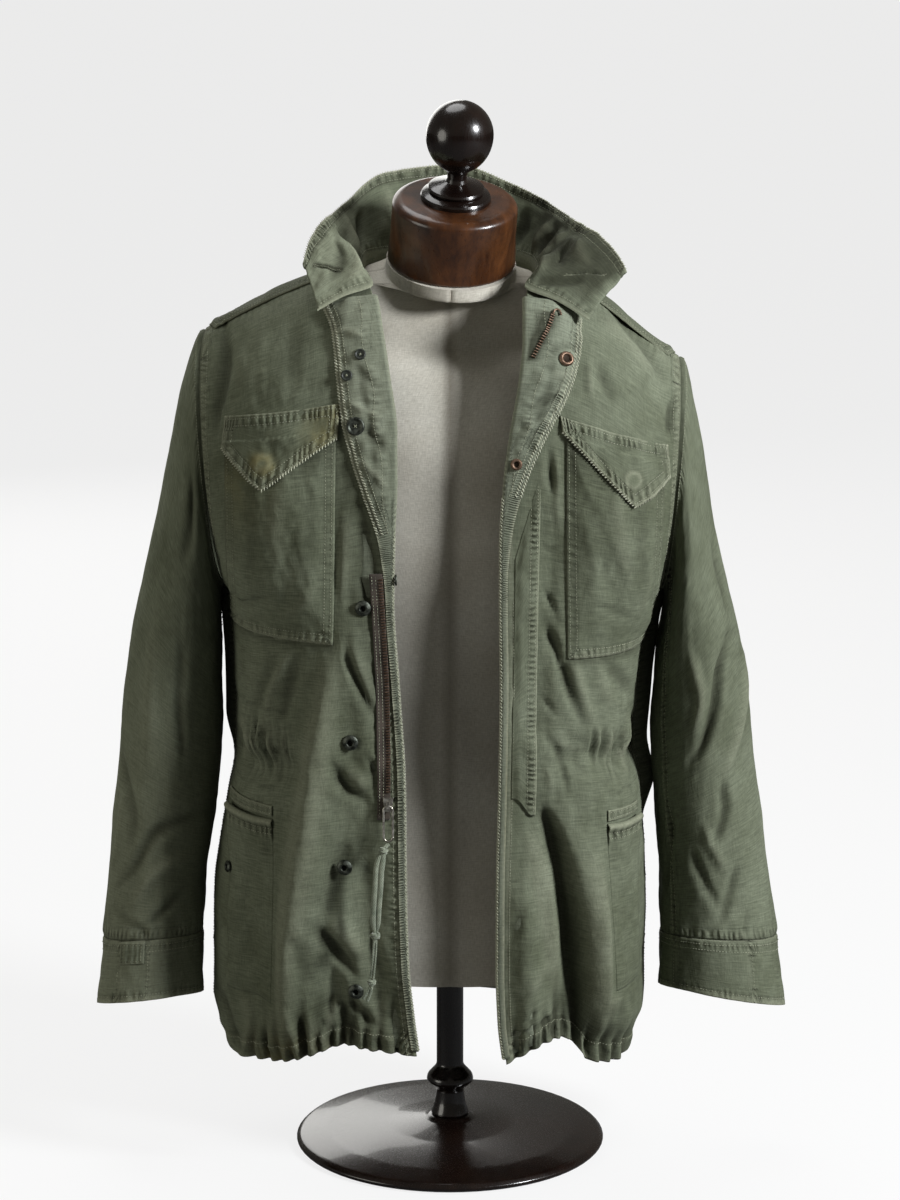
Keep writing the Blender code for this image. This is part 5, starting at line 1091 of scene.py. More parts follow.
def lapel_grid(side, levels):
    """Rows of a facing across the front edge: behind the front, round its edge, then over its face."""
    width = TURN[side](levels)[..., 0]
    loose = ease(0.008, 0.03, width)
    run = row_run(side, levels)
    zero = np.zeros(levels.shape)
    rows = []
    for reach in (0.028, 0.023, 0.018, 0.0135, 0.0095, 0.006):
        point, _ = front_soft(side, levels, reach / run, -(WALL + SEAT_GAP + FACING))
        rows.append((point, zero + 0.05, zero + 0.35))
    middle, outward, normal, radius = edge_roll(side, levels)
    turns = levels * LEVEL_RISE / EDGE_TURNS
    for k in range(9):
        angle = -math.pi * 0.42 + math.pi * 0.84 * k / 8
        away = outward * math.cos(angle) + normal * math.sin(angle)
        beat = 0.00035 * np.sin(math.tau * turns + angle * 1.6)[..., None]
        worn = math.cos(angle * 0.9) ** 2
        rows.append((middle + away * (radius + beat * (1 - loose[..., None])),
                     zero + worn * (0.75 - 0.3 * loose) + 1.2j * (1 - loose),
                     zero + 0.1 + 1j * (turns + angle * 0.25)))
    for k in range(1, 31):
        share = 1 - (1 - k / 30) ** 1.6
        reach = share * width
        _, wear_and_highlight, grime_and_shade = lapel_detail(side, levels, reach, width - reach, loose)
        rows.append((lapel_face(side, levels, zero + share)[0], wear_and_highlight, grime_and_shade))
    return [np.stack(column, 1) for column in zip(*rows)]


# --- Making pieces -----------------------------------------------------------------------------------------

def nothing_selected():
    if bpy.context.mode != "OBJECT":
        bpy.ops.object.mode_set(mode="OBJECT")
    bpy.ops.object.select_all(action="DESELECT")


def active(*things):
    """Selects pieces alone and makes the first of them the active one."""
    nothing_selected()
    for thing in things:
        thing.select_set(True)
    bpy.context.view_layer.objects.active = things[0]


def edited(thing, *steps):
    """Works on a whole piece in edit mode, one operator call after the other."""
    active(thing)
    bpy.ops.object.mode_set(mode="EDIT")
    bpy.ops.mesh.select_all(action="SELECT")
    for step in steps:
        step()
    bpy.ops.object.mode_set(mode="OBJECT")
    return thing


def joined(parts):
    active(*parts)
    bpy.ops.object.join()
    return bpy.context.object


def smooth(thing):
    active(thing)
    bpy.ops.object.shade_smooth()
    return thing


def finish_piece(thing, name, finish, body="root", replaces=()):
    """Names a piece, gives it its material and says what it rides on and stands for."""
    thing.name = name
    thing.data.name = name
    thing.data.materials.clear()
    thing.data.materials.append(finish)
    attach(thing, body)
    if replaces:
        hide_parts(*replaces)
    return thing


def lengths_along(points, axis):
    """Running length of a grid along one of its axes."""
    steps = np.sqrt(np.square(np.diff(points, axis=axis)).sum(-1))
    start = np.zeros_like(np.take(steps, [0], axis=axis))
    return np.concatenate([start, np.cumsum(steps, axis=axis)], axis=axis)


def grid_piece(name, points, wear_and_highlight=0.0, grime_and_shade=0.0, stain=0.0):
    """A fine grid through rows of points, with its lengths as its UV map and, as attributes, its marks of
    rubbing and painted highlight, of dirt and painted shade, of gathers and of stains.
    """
    rows, columns = points.shape[:2]
    nothing_selected()
    bpy.ops.mesh.primitive_grid_add(x_subdivisions=columns - 1, y_subdivisions=rows - 1, size=1.0,
                                    location=(0, 0, 0))
    thing = bpy.context.object
    thing.name = name
    data = thing.data
    data.vertices.foreach_set("co", np.ascontiguousarray(points, np.float32).ravel())
    across, up = lengths_along(points, 1), lengths_along(points, 0)
    middle = slice(columns // 2, columns // 2 + 1)
    flat = np.stack([across - across[:, middle], np.broadcast_to(up[:, middle], across.shape)], -1)
    corner = np.empty(len(data.loops), np.int32)
    data.loops.foreach_get("vertex_index", corner)
    data.uv_layers.active.data.foreach_set("uv", flat.reshape(-1, 2)[corner].astype(np.float32).ravel())
    data.uv_layers.active.name = "UVMap"
    for title, values in (("wear_and_highlight", np.real(wear_and_highlight)), ("gathered", np.imag(wear_and_highlight)), ("grime_and_shade", np.real(grime_and_shade)),
                          ("gathers", np.imag(grime_and_shade)), ("stain", stain)):
        point_mark(data, title, np.broadcast_to(values, (rows, columns)))
    data.update()
    return thing


def point_mark(data, title, values):
    mark = data.attributes.new(title, "FLOAT", "POINT")
    mark.data.foreach_set("value", np.ascontiguousarray(values, np.float32).ravel())


def face_out(thing, outward):
    """Turns a sheet's faces to the side that outward points to, given at its faces' middles."""
    data = thing.data
    count = len(data.polygons)
    normals, centres, areas = np.empty(count * 3), np.empty(count * 3), np.empty(count)
    for kind, values in (("normal", normals), ("center", centres), ("area", areas)):
        data.polygons.foreach_get(kind, values)
    ways = outward(centres.reshape(-1, 3))
    if (dot(normals.reshape(-1, 3), ways) * areas).sum() < 0:
        data.flip_normals()


def weld(thing, distance=0.00001):
    """Joins doubled vertices and turns the faces one way."""
    return edited(thing, lambda: bpy.ops.mesh.remove_doubles(threshold=distance),
                  lambda: bpy.ops.mesh.normals_make_consistent(inside=False))


def give_wall(thing, thickness):
    """A live wall behind a sheet's face, smooth all over."""
    smooth(thing)
    bpy.ops.object.modifier_add(type="SOLIDIFY")
    wall = thing.modifiers[-1]
    wall.name = "Wall"
    wall.thickness = thickness
    wall.offset = -1.0
    wall.use_rim = True
    wall.use_quality_normals = True


def toward(x, y, z):
    return lambda places: np.broadcast_to(np.array((x, y, z), float), places.shape)


FORWARD = toward(0, -1, 0)


def nearest_forward(place):
    """Forward at the one face that is nearest to a place."""
    def outward(places):
        ways = np.zeros(places.shape)
        ways[np.square(places - place).sum(-1).argmin(), 1] = -1.0
        return ways

    return outward


def made_sheet(thing, outward, wall, node, finish="cotton"):
    """Makes a grid a finished sheet of cloth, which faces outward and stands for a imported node."""
    face_out(thing, outward)
    give_wall(thing, wall)
    return finish_piece(thing, thing.name, looks()[finish], "root", [node])


def along_axis(origin, axis):
    """The placement whose +Z runs along axis, with +X kept level."""
    forward = Vector(axis).normalized()
    across = Vector((0, 1, 0)).cross(forward)
    if across.length < 0.2:
        across = Vector((0, 0, 1)).cross(forward)
    across.normalize()
    up = forward.cross(across)
    return Matrix.Translation(Vector(origin)) @ Matrix((across, up, forward)).transposed().to_4x4()


def node_placement(name):
    """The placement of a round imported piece: its base's middle, with +Z straight out of its base."""
    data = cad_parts[name].data
    groups = {}
    for face in data.polygons:
        key = tuple(round(value, 2) for value in face.normal)
        groups.setdefault(key, []).append(face)
    base = max(groups.values(), key=lambda faces: sum(face.area for face in faces))
    area = sum(face.area for face in base)
    middle = sum((face.center * face.area for face in base), Vector()) / area
    normal = sum((face.normal * face.area for face in base), Vector()).normalized()
    return along_axis(middle, -normal)


def set_down(thing, placement):
    """Moves a piece's own points to a placement, so that its object stays at the origin."""
    thing.matrix_world = placement
    active(thing)
    bpy.ops.object.transform_apply(location=True, rotation=True, scale=True)


def turned(name, profile, steps, placement, angle=35.0):
    """A turned piece from a profile of (radius, height), from the top of its axis to the bottom of it."""
    line = [(radius, 0.0, height) for radius, height in profile]
    thing = from_data(name, line, [(i, i + 1) for i in range(len(line) - 1)], [])
    bpy.ops.object.modifier_add(type="SCREW")
    turn = thing.modifiers[-1]
    turn.steps = turn.render_steps = steps
    turn.use_merge_vertices = True
    turn.merge_threshold = 0.00001
    bpy.ops.object.modifier_apply(modifier=turn.name)
    weld(thing, 0.000004)
    active(thing)
    bpy.ops.object.shade_smooth_by_angle(angle=math.radians(angle))
    set_down(thing, placement)
    return thing


def rounded(profile, radius, pieces=3):
    """A profile whose corners are rounded off."""
    points = [np.array(point, float) for point in profile]
    made = [points[0]]
    for before, here, after in zip(points, points[1:], points[2:]):
        a, b = before - here, after - here
        la, lb = np.linalg.norm(a), np.linalg.norm(b)
        cut = min(radius, 0.45 * la, 0.45 * lb)
        a, b = here + a / la * cut, here + b / lb * cut
        for k in range(pieces + 1):
            t = k / pieces
            made.append(a * (1 - t) ** 2 + here * (2 * t * (1 - t)) + b * t * t)
    made.append(points[-1])
    return [tuple(point) for point in made]


def tube(name, path, radii, sides=12, squash=1.0):
    """A closed tube along a path: radii at its points, and how much its rings are flattened."""
    path = np.asarray(path, float)
    radii = np.broadcast_to(radii, (len(path),)).astype(float)
    tangent = unit(np.gradient(path, axis=0))
    across = np.empty_like(path)
    guide = np.array((1.0, 0.0, 0.0))
    for k, ahead in enumerate(tangent):
        guide = guide - ahead * (guide @ ahead)
        guide = guide / np.linalg.norm(guide)
        across[k] = guide
    up = np.cross(tangent, across)
    turn = np.arange(sides + 1) / sides * math.tau
    c, s = np.cos(turn)[None, :, None], (np.sin(turn) * squash)[None, :, None]
    rings = path[:, None, :] + (across[:, None, :] * c + up[:, None, :] * s) * radii[:, None, None]
    ends = [np.broadcast_to(path[k], (1, sides + 1, 3)) for k in (0, -1)]
    return smooth(weld(grid_piece(name, np.concatenate([ends[0], rings, ends[1]]))))


def resampled(points, normals, pitch):
    """Places a pitch apart along a line, with their headings and the ways out of the cloth."""
    run = lengths_along(points, 0)
    count = max(2, int(run[-1] / pitch))
    stops = (np.arange(count) + 0.5) * run[-1] / count

    def at(values, off=0.0):
        return np.stack([np.interp(stops + off, run, values[:, i]) for i in range(3)], -1)

    return at(points), unit(at(points, 0.0006) - at(points, -0.0006)), unit(at(normals))


def repeated(name, model, placements):
    """One piece made of copies of a small model's mesh, each at its own placement of 4 x 4 numbers."""
    count = len(model.data.vertices)
    verts = np.empty(count * 3)
    model.data.vertices.foreach_get("co", verts)
    verts = np.c_[verts.reshape(-1, 3), np.ones(count)]
    faces = [list(face.vertices) for face in model.data.polygons]
    placed = np.einsum("nij,vj->nvi", np.asarray(placements), verts)[..., :3]
    all_faces = [[i + k * count for i in face] for k in range(len(placements)) for face in faces]
    bpy.data.objects.remove(model, do_unlink=True)
    return from_data(name, placed.reshape(-1, 3).tolist(), [], all_faces)


def from_data(name, points, edges, faces):
    nothing_selected()
    bpy.ops.object.add(type="MESH", location=(0, 0, 0))
    thing = bpy.context.object
    thing.name = name
    thing.data.from_pydata(points, edges, faces)
    thing.data.update()
    return thing


def frames_of(places, headings, ways, tilt=0.0):
    """Placements whose +X runs along headings and +Z out of the cloth, turned in its plane by tilt."""
    across = unit(np.cross(ways, headings))
    headings = unit(np.cross(across, ways))
    if tilt:
        c, s = math.cos(tilt), math.sin(tilt)
        headings, across = headings * c + across * s, across * c - headings * s
    made = np.zeros((len(places), 4, 4))
    for k, column in enumerate((headings, across, ways, places)):
        made[:, :3, k] = column
    made[:, 3, 3] = 1
    return made


def stitch_model(long, wide, high):
    """One stitch: a small bead of thread, eight faces."""
    nothing_selected()
    bpy.ops.mesh.primitive_uv_sphere_add(segments=4, ring_count=2, radius=1.0, location=(0, 0, 0))
    thing = bpy.context.object
    for vert in thing.data.vertices:
        vert.co = (vert.co.z * long / 2, vert.co.y * wide / 2, vert.co.x * high)
    return thing


def sizes():
    """The sizes and colours that the panel holds."""
    return bpy.context.scene.field_jacket


def stitches(name, runs, tilt=0.0, pitch=None, scale=1.0):
    """Rows of stitches along runs of (points, ways out), joined in one piece."""
    model = stitch_model(sizes().stitch_length * scale, STITCH_WIDE * scale, STITCH_HIGH * scale)
    placements = [frames_of(*resampled(*run, pitch or sizes().stitch_pitch), tilt) for run in runs]
    thing = smooth(repeated(name, model, np.concatenate(placements)))
    return finish_piece(thing, name, looks()["thread"])


def frayed_edge(name, runs, bead, pitch, tilt):
    """Worn overcast threads that run slantwise along a rubbed edge."""
    placements = [frames_of(*resampled(*run, pitch), tilt) for run in runs if len(run[0]) > 2]
    thing = repeated(name, stitch_model(*bead), np.concatenate(placements))
    return finish_piece(thing, name, looks()["frayed"])


def cut_size(points):
    """Width, length and area of a grid's cloth."""
    across = lengths_along(points, 1)[:, -1]
    up = lengths_along(points, 0)[-1]
    a = points[1:, 1:] - points[:-1, :-1]
    b = points[1:, :-1] - points[:-1, 1:]
    area = float(np.sqrt(np.square(np.cross(a, b)).sum(-1)).sum() / 2)
    wide, high = float(across.max()), float(up.max())
    wide = min(wide, 1.8 * area / high)
    return wide, high, min(area, wide * high)


def hung(points):
    """Measures the cloth of a sheet's grid; the measures are not used."""
    wide, high, area = cut_size(points)


def sewn(points, name, runs):
    stitches(name, runs)
    hung(points)


# --- Materials ---------------------------------------------------------------------------------------------

class Nodes:
    """A material being wired up: each call adds one node and returns its main output."""

    def __init__(self, name):
        self.material = bpy.data.materials.new(name)
        self.material.use_nodes = True
        self.tree = self.material.node_tree
        self.shader = self.tree.nodes["Principled BSDF"]

    def put(self, socket, value):
        if isinstance(value, bpy.types.NodeSocket):
            self.tree.links.new(value, socket)
        elif value is not None:
            socket.default_value = value

    def node(self, kind, inputs=None, output=0, **settings):
        made = self.tree.nodes.new(kind)
        for key, value in settings.items():
            setattr(made, key, value)
        for key, value in (inputs or {}).items():
            self.put(self.socket(made.inputs, key), value)
        return self.socket(made.outputs, output)

    def socket(self, sockets, key):
        """A socket by its place, its name or, where names are alike, its identifier."""
        alike = {socket.identifier: socket for socket in sockets}
        return alike[key] if key in alike else sockets[key]

    def place(self):
        return self.node("ShaderNodeTexCoord", output="Object")

    def flat(self):
        return self.node("ShaderNodeUVMap", uv_map="UVMap")

    def scaled(self, vector, scale, turn=0.0):
        return self.node("ShaderNodeMapping", {"Vector": vector, "Scale": scale, "Rotation": (0, 0, turn)})

    def noise(self, vector, scale, detail=3.0, roughness=0.55, distortion=0.0):
        return self.node("ShaderNodeTexNoise", {"Vector": vector, "Scale": scale, "Detail": detail,
                                                "Roughness": roughness, "Distortion": distortion})

    def mark(self, name):
        return self.node("ShaderNodeAttribute", output="Fac", attribute_name=name)

    def number(self, operation, a, b=None, clamp=False):
        return self.node("ShaderNodeMath", {0: a, 1: b}, operation=operation, use_clamp=clamp)

    def times(self, a, b, clamp=False):
        return self.number("MULTIPLY", a, b, clamp)

    def plus(self, a, b):
        return self.number("ADD", a, b)

    def spread(self, value, low, high, to_low=0.0, to_high=1.0):
        return self.node("ShaderNodeMapRange", {"Value": value, "From Min": low, "From Max": high,
                                                "To Min": to_low, "To Max": to_high})

    def mix(self, share, a, b, blend="MIX"):
        return self.node("ShaderNodeMix", {"Factor": share, "A_Color": a, "B_Color": b}, "Result_Color",
                         data_type="RGBA", blend_type=blend)

    def bump(self, height, strength, distance, below=None):
        return self.node("ShaderNodeBump", {"Height": height, "Strength": strength, "Distance": distance,
                                            "Normal": below})

    def finish(self, **inputs):
        for key, value in inputs.items():
            self.put(self.shader.inputs[key.replace("_", " ")], value)
        return self.material


def full(colour):
    return (*colour, 1.0)


def cloth(name, dark, light, worn, sheen=0.25):
    """Washed cotton: slubby threads across, paler where it rubs, with painted highlights on the crests of
    creases and gathers and painted shade in their valleys and troughs.
    """
    n = Nodes(name)
    flat, place = n.flat(), n.place()
    slubs = n.noise(n.scaled(flat, (75.0, 900.0, 1.0)), 1.0, 3.0, 0.62)
    streaks = n.noise(n.scaled(flat, (26.0, 520.0, 1.0)), 1.0, 2.0, 0.5)
    warp = n.noise(n.scaled(flat, (1000.0, 90.0, 1.0)), 1.0, 2.0, 0.5)
    slow = n.noise(place, 7.0, 3.0, 0.55)
    patches = n.noise(place, 38.0, 4.0, 0.62, 0.4)
    shade = n.plus(n.times(slow, 0.7), n.times(patches, 0.3))
    colour = n.mix(n.spread(shade, 0.35, 0.64), full(dark), full(light))
    thread = n.plus(n.times(slubs, 0.48), n.times(warp, 0.26))
    thread = n.plus(thread, n.times(streaks, 0.26))
    weave = n.mix(n.spread(thread, 0.38, 0.62), (0.55, 0.55, 0.53, 1), (1.45, 1.45, 1.42, 1))
    colour = n.mix(0.68, colour, weave, "MULTIPLY")
    count = n.plus(n.mark("gathers"), n.spread(patches, 0.0, 1.0, -0.7, 0.7))
    beat = n.number("SINE", n.times(count, math.tau))
    uneven = n.noise(place, 60.0, 2.0, 0.5)
    drawn = n.times(n.mark("gathered"), n.spread(uneven, 0.34, 0.62, 0.15, 1.15))
    # Pinch: the troughs of the gathers, painted darker as shade.
    pinch = n.times(n.spread(beat, -1.0, -0.15, 1.0, 0.0), drawn)
    # Crown: the crests of the gathers, raised in the bump and painted lighter as a highlight.
    crown = n.times(n.spread(beat, -0.1, 0.9), drawn)
    fray = n.noise(place, 420.0, 3.0, 0.7)
    # Paler where the cloth is rubbed, and where highlights are painted on crests.
    rubbed = n.plus(n.mark("wear_and_highlight"), n.times(crown, 0.2))
    rubbed = n.times(rubbed, n.spread(fray, 0.25, 0.7, 0.35, 1.25))
    colour = n.mix(n.times(rubbed, 0.85, clamp=True), colour, full(worn))
    # Darker with dirt and dark seams, and with painted shade: crease valleys, gather troughs and shadows under
    # pieces.
    murk = n.plus(n.mark("grime_and_shade"), n.times(pinch, 0.7))
    murk = n.times(murk, n.spread(patches, 0.2, 0.8, 0.6, 1.0), clamp=True)
    colour = n.mix(murk, colour, n.mix(0.88, colour, (0.2, 0.19, 0.16, 1), "MULTIPLY"))
    colour = n.mix(n.times(n.mark("stain"), n.spread(patches, 0.3, 0.65), clamp=True), colour,
                   (0.155, 0.132, 0.046, 1))
    crumple = n.noise(n.scaled(place, (1.0, 1.0, 0.55)), 95.0, 4.0, 0.6, 0.7)
    fine = n.noise(n.scaled(place, (1.3, 1.0, 0.5)), 260.0, 3.0, 0.6, 0.3)
    normal = n.bump(crumple, 0.36, 0.0018)
    normal = n.bump(fine, 0.3, 0.0006, normal)
    normal = n.bump(n.number("SUBTRACT", crown, pinch), 0.75, 0.001, normal)
    normal = n.bump(thread, 0.42, 0.0006, normal)
    return n.finish(Base_Color=colour, Roughness=n.spread(thread, 0.3, 0.7, 0.94, 0.8), Normal=normal,
                    Sheen_Weight=sheen, Sheen_Roughness=0.45, Sheen_Tint=full(light), Specular_IOR_Level=0.22)


def thread_look(name, colour, light):
    n = Nodes(name)
    place = n.place()
    hue = n.noise(place, 130.0, 3.0, 0.6)
    fuzz = n.noise(place, 1500.0, 2.0, 0.6)
    return n.finish(Base_Color=n.mix(n.spread(hue, 0.35, 0.65), full(colour), full(light)), Roughness=0.92,
                    Normal=n.bump(fuzz, 0.4, 0.0002), Sheen_Weight=0.3, Sheen_Roughness=0.4)


def linen_look(name, colour, light):
    """Coarse pale linen in a plain weave."""
    n = Nodes(name)
    flat, place = n.flat(), n.place()
    weft = n.noise(n.scaled(flat, (170.0, 1050.0, 1.0)), 1.0, 2.0, 0.55)
    warp = n.noise(n.scaled(flat, (1050.0, 170.0, 1.0)), 1.0, 2.0, 0.55)
    thread = n.plus(n.times(weft, 0.5), n.times(warp, 0.5))
    slow = n.noise(place, 9.0, 3.0, 0.6)
    tone = n.mix(n.spread(slow, 0.35, 0.65), full(colour), full(light))
    tone = n.mix(0.5, tone, n.mix(n.spread(thread, 0.35, 0.65), (0.6, 0.58, 0.53, 1), (1.25, 1.25, 1.25, 1)),
                 "MULTIPLY")
    tone = n.mix(n.times(n.mark("grime_and_shade"), 0.8, clamp=True), tone, (0.16, 0.13, 0.09, 1))
    return n.finish(Base_Color=tone, Roughness=0.95, Normal=n.bump(thread, 0.5, 0.0005),
                    Sheen_Weight=0.2, Sheen_Roughness=0.5)


def wood_look(name, dark, light, rough, figure, coat, grain=1.0):
    """Polished wood: a burl's swirls where figure is high, straight grain where it is low."""
    n = Nodes(name)
    place = n.place()
    warp = n.noise(n.scaled(place, (1.0, 1.0, 0.6)), 30.0 * grain, 5.0, 0.62, figure * 1.2)
    swirl = n.noise(n.scaled(place, (1.0, 1.0, 0.22)), 130.0 * grain, 3.0, 0.55, figure * 0.8)
    eyes = n.node("ShaderNodeTexVoronoi", {"Vector": place, "Scale": 120.0, "Randomness": 1.0})
    pores = n.noise(n.scaled(place, (1.0, 1.0, 0.12)), 900.0, 2.0, 0.6)
    share = n.plus(n.times(swirl, 0.35), n.times(warp, 0.65))
    tone = n.mix(n.spread(share, 0.34, 0.7), full(dark), full(light))
    spots = n.spread(eyes, 0.02, 0.22, 0.35 * figure, 0.0)
    tone = n.mix(spots, tone, full(dark))
    tone = n.mix(n.spread(pores, 0.6, 0.72, 0.0, 0.55), tone, n.mix(0.7, full(dark), (0, 0, 0, 1)))
    return n.finish(Base_Color=tone, Roughness=n.spread(pores, 0.3, 0.7, rough, rough + 0.12),
                    Normal=n.bump(pores, 0.12, 0.0002), Coat_Weight=coat, Coat_Roughness=0.06)


def metal_look(name, colour, worn, rough, dirt):
    """Aged metal: scratched, paler in patches, and near black where the piece marks its sunk middle."""
    n = Nodes(name)
    place = n.place()
    patch = n.noise(place, 240.0, 4.0, 0.65, 0.3)
    scratch = n.noise(n.scaled(place, (1.0, 1.0, 7.0), 0.6), 900.0, 2.0, 0.6)
    tone = n.mix(n.spread(patch, 0.36, 0.64), full(colour), full(worn))
    tone = n.mix(n.spread(scratch, 0.6, 0.7, 0.0, 0.5), tone, full(dirt))
    tone = n.mix(n.times(n.mark("grime_and_shade"), 0.9), tone, (0.006, 0.006, 0.005, 1))
    return n.finish(Base_Color=tone, Metallic=n.spread(patch, 0.7, 0.8, 1.0, 0.55),
                    Roughness=n.spread(patch, 0.3, 0.7, rough, rough + 0.22),
                    Normal=n.bump(scratch, 0.25, 0.00015))


def button_look(name, colour, light):
    n = Nodes(name)
    place = n.place()
    cloud = n.noise(place, 180.0, 4.0, 0.6, 0.5)
    fine = n.noise(place, 1400.0, 2.0, 0.5)
    return n.finish(Base_Color=n.mix(n.spread(cloud, 0.35, 0.65), full(colour), full(light)),
                    Roughness=n.spread(fine, 0.3, 0.7, 0.42, 0.6), Normal=n.bump(fine, 0.2, 0.0001))


def tape_look(name, colour, light):
    """Woven zip tape: a twill with ribs along it."""
    n = Nodes(name)
    flat, place = n.flat(), n.place()
    ribs = n.node("ShaderNodeTexWave", {"Vector": n.scaled(flat, (1.0, 1.0, 1.0), 0.75), "Scale": 300.0,
                                        "Distortion": 1.2, "Detail": 1.0}, output="Fac")
    rub = n.noise(place, 70.0, 4.0, 0.6)
    tone = n.mix(n.spread(rub, 0.38, 0.66), full(colour), full(light))
    tone = n.mix(0.35, tone, n.mix(ribs, (0.5, 0.5, 0.5, 1), (1.4, 1.4, 1.4, 1)), "MULTIPLY")
    return n.finish(Base_Color=tone, Roughness=0.9, Normal=n.bump(ribs, 0.5, 0.0003), Sheen_Weight=0.2)


def cord_look(name, colour, light):
    """Braided cord: two sets of strands that cross."""
    n = Nodes(name)
    flat, place = n.flat(), n.place()
    one = n.node("ShaderNodeTexWave", {"Vector": n.scaled(flat, (1.0, 1.0, 1.0), 0.7), "Scale": 190.0,
                                       "Distortion": 0.6}, output="Fac")
    two = n.node("ShaderNodeTexWave", {"Vector": n.scaled(flat, (1.0, 1.0, 1.0), -0.7), "Scale": 190.0,
                                       "Distortion": 0.6}, output="Fac")
    braid = n.number("MAXIMUM", one, two)
    soil = n.noise(place, 110.0, 4.0, 0.6)
    tone = n.mix(n.spread(soil, 0.35, 0.68), full(colour), full(light))
    tone = n.mix(0.55, tone, n.mix(braid, (0.45, 0.45, 0.42, 1), (1.25, 1.25, 1.25, 1)), "MULTIPLY")
    return n.finish(Base_Color=tone, Roughness=0.92, Normal=n.bump(braid, 0.7, 0.0006), Sheen_Weight=0.35,
                    Sheen_Roughness=0.4)


def paper_look(name, colour):
    """Pale studio paper: it shows bright, and throws little light back on what stands on it."""
    n = Nodes(name)
    cloud = n.noise(n.place(), 1.5, 3.0, 0.5)
    tone = n.mix(n.spread(cloud, 0.3, 0.7, 0.0, 0.25), full(colour), (0.12, 0.12, 0.12, 1))
    seen = n.node("ShaderNodeLightPath", output="Is Camera Ray")
    return n.finish(Base_Color=tone, Roughness=0.9, Specular_IOR_Level=0.1,
                    Emission_Color=(1.0, 1.0, 1.0, 1.0), Emission_Strength=n.times(seen, 0.81))


LOOKS = {}


def looks():
    """The object's materials, made once from the colours in the panel."""
    if LOOKS:
        return LOOKS
    own = sizes()
    LOOKS.update(
        cotton=cloth("cotton_olive", own.cloth_dark, own.cloth_light, own.cloth_worn_and_highlight),
        # The facing is the shell cotton painted lighter, standing in for the light on the lapels.
        facing=cloth("cotton_facing_lit", own.facing_lit_dark, own.facing_lit_light, own.cloth_worn_and_highlight),
        thread=thread_look("sewing_thread", own.thread, own.thread_light),
        frayed=thread_look("frayed_thread", own.cloth_worn_and_highlight, own.frayed),
        linen=linen_look("form_linen", own.linen, own.linen_light),
        burl=wood_look("cap_burl", own.burl_dark, own.burl_light, 0.27, 1.0, 0.3),
        ebony=wood_look("stand_ebony", own.ebony_dark, own.ebony_light, 0.18, 0.15, 0.35),
        copper=metal_look("aged_copper", own.copper, (0.27, 0.185, 0.135), 0.42, (0.045, 0.032, 0.024)),
        gunmetal=metal_look("worn_gunmetal", own.gunmetal, (0.12, 0.13, 0.11), 0.42, (0.015, 0.016, 0.013)),
        steel=metal_look("worn_steel", own.steel, (0.55, 0.53, 0.48), 0.3, (0.12, 0.1, 0.08)),
        button=button_look("dull_button", own.button, (0.03, 0.036, 0.027)),
        tape=tape_look("zip_tape", own.tape, (0.062, 0.047, 0.034)),
        cord=cord_look("pale_cord", own.cord, own.cord_light),
    )
    return LOOKS


def colour_setting(name, description, value):
    return FloatVectorProperty(name=name, description=description, subtype="COLOR", size=3, min=0.0, max=1.0,
                               default=value)


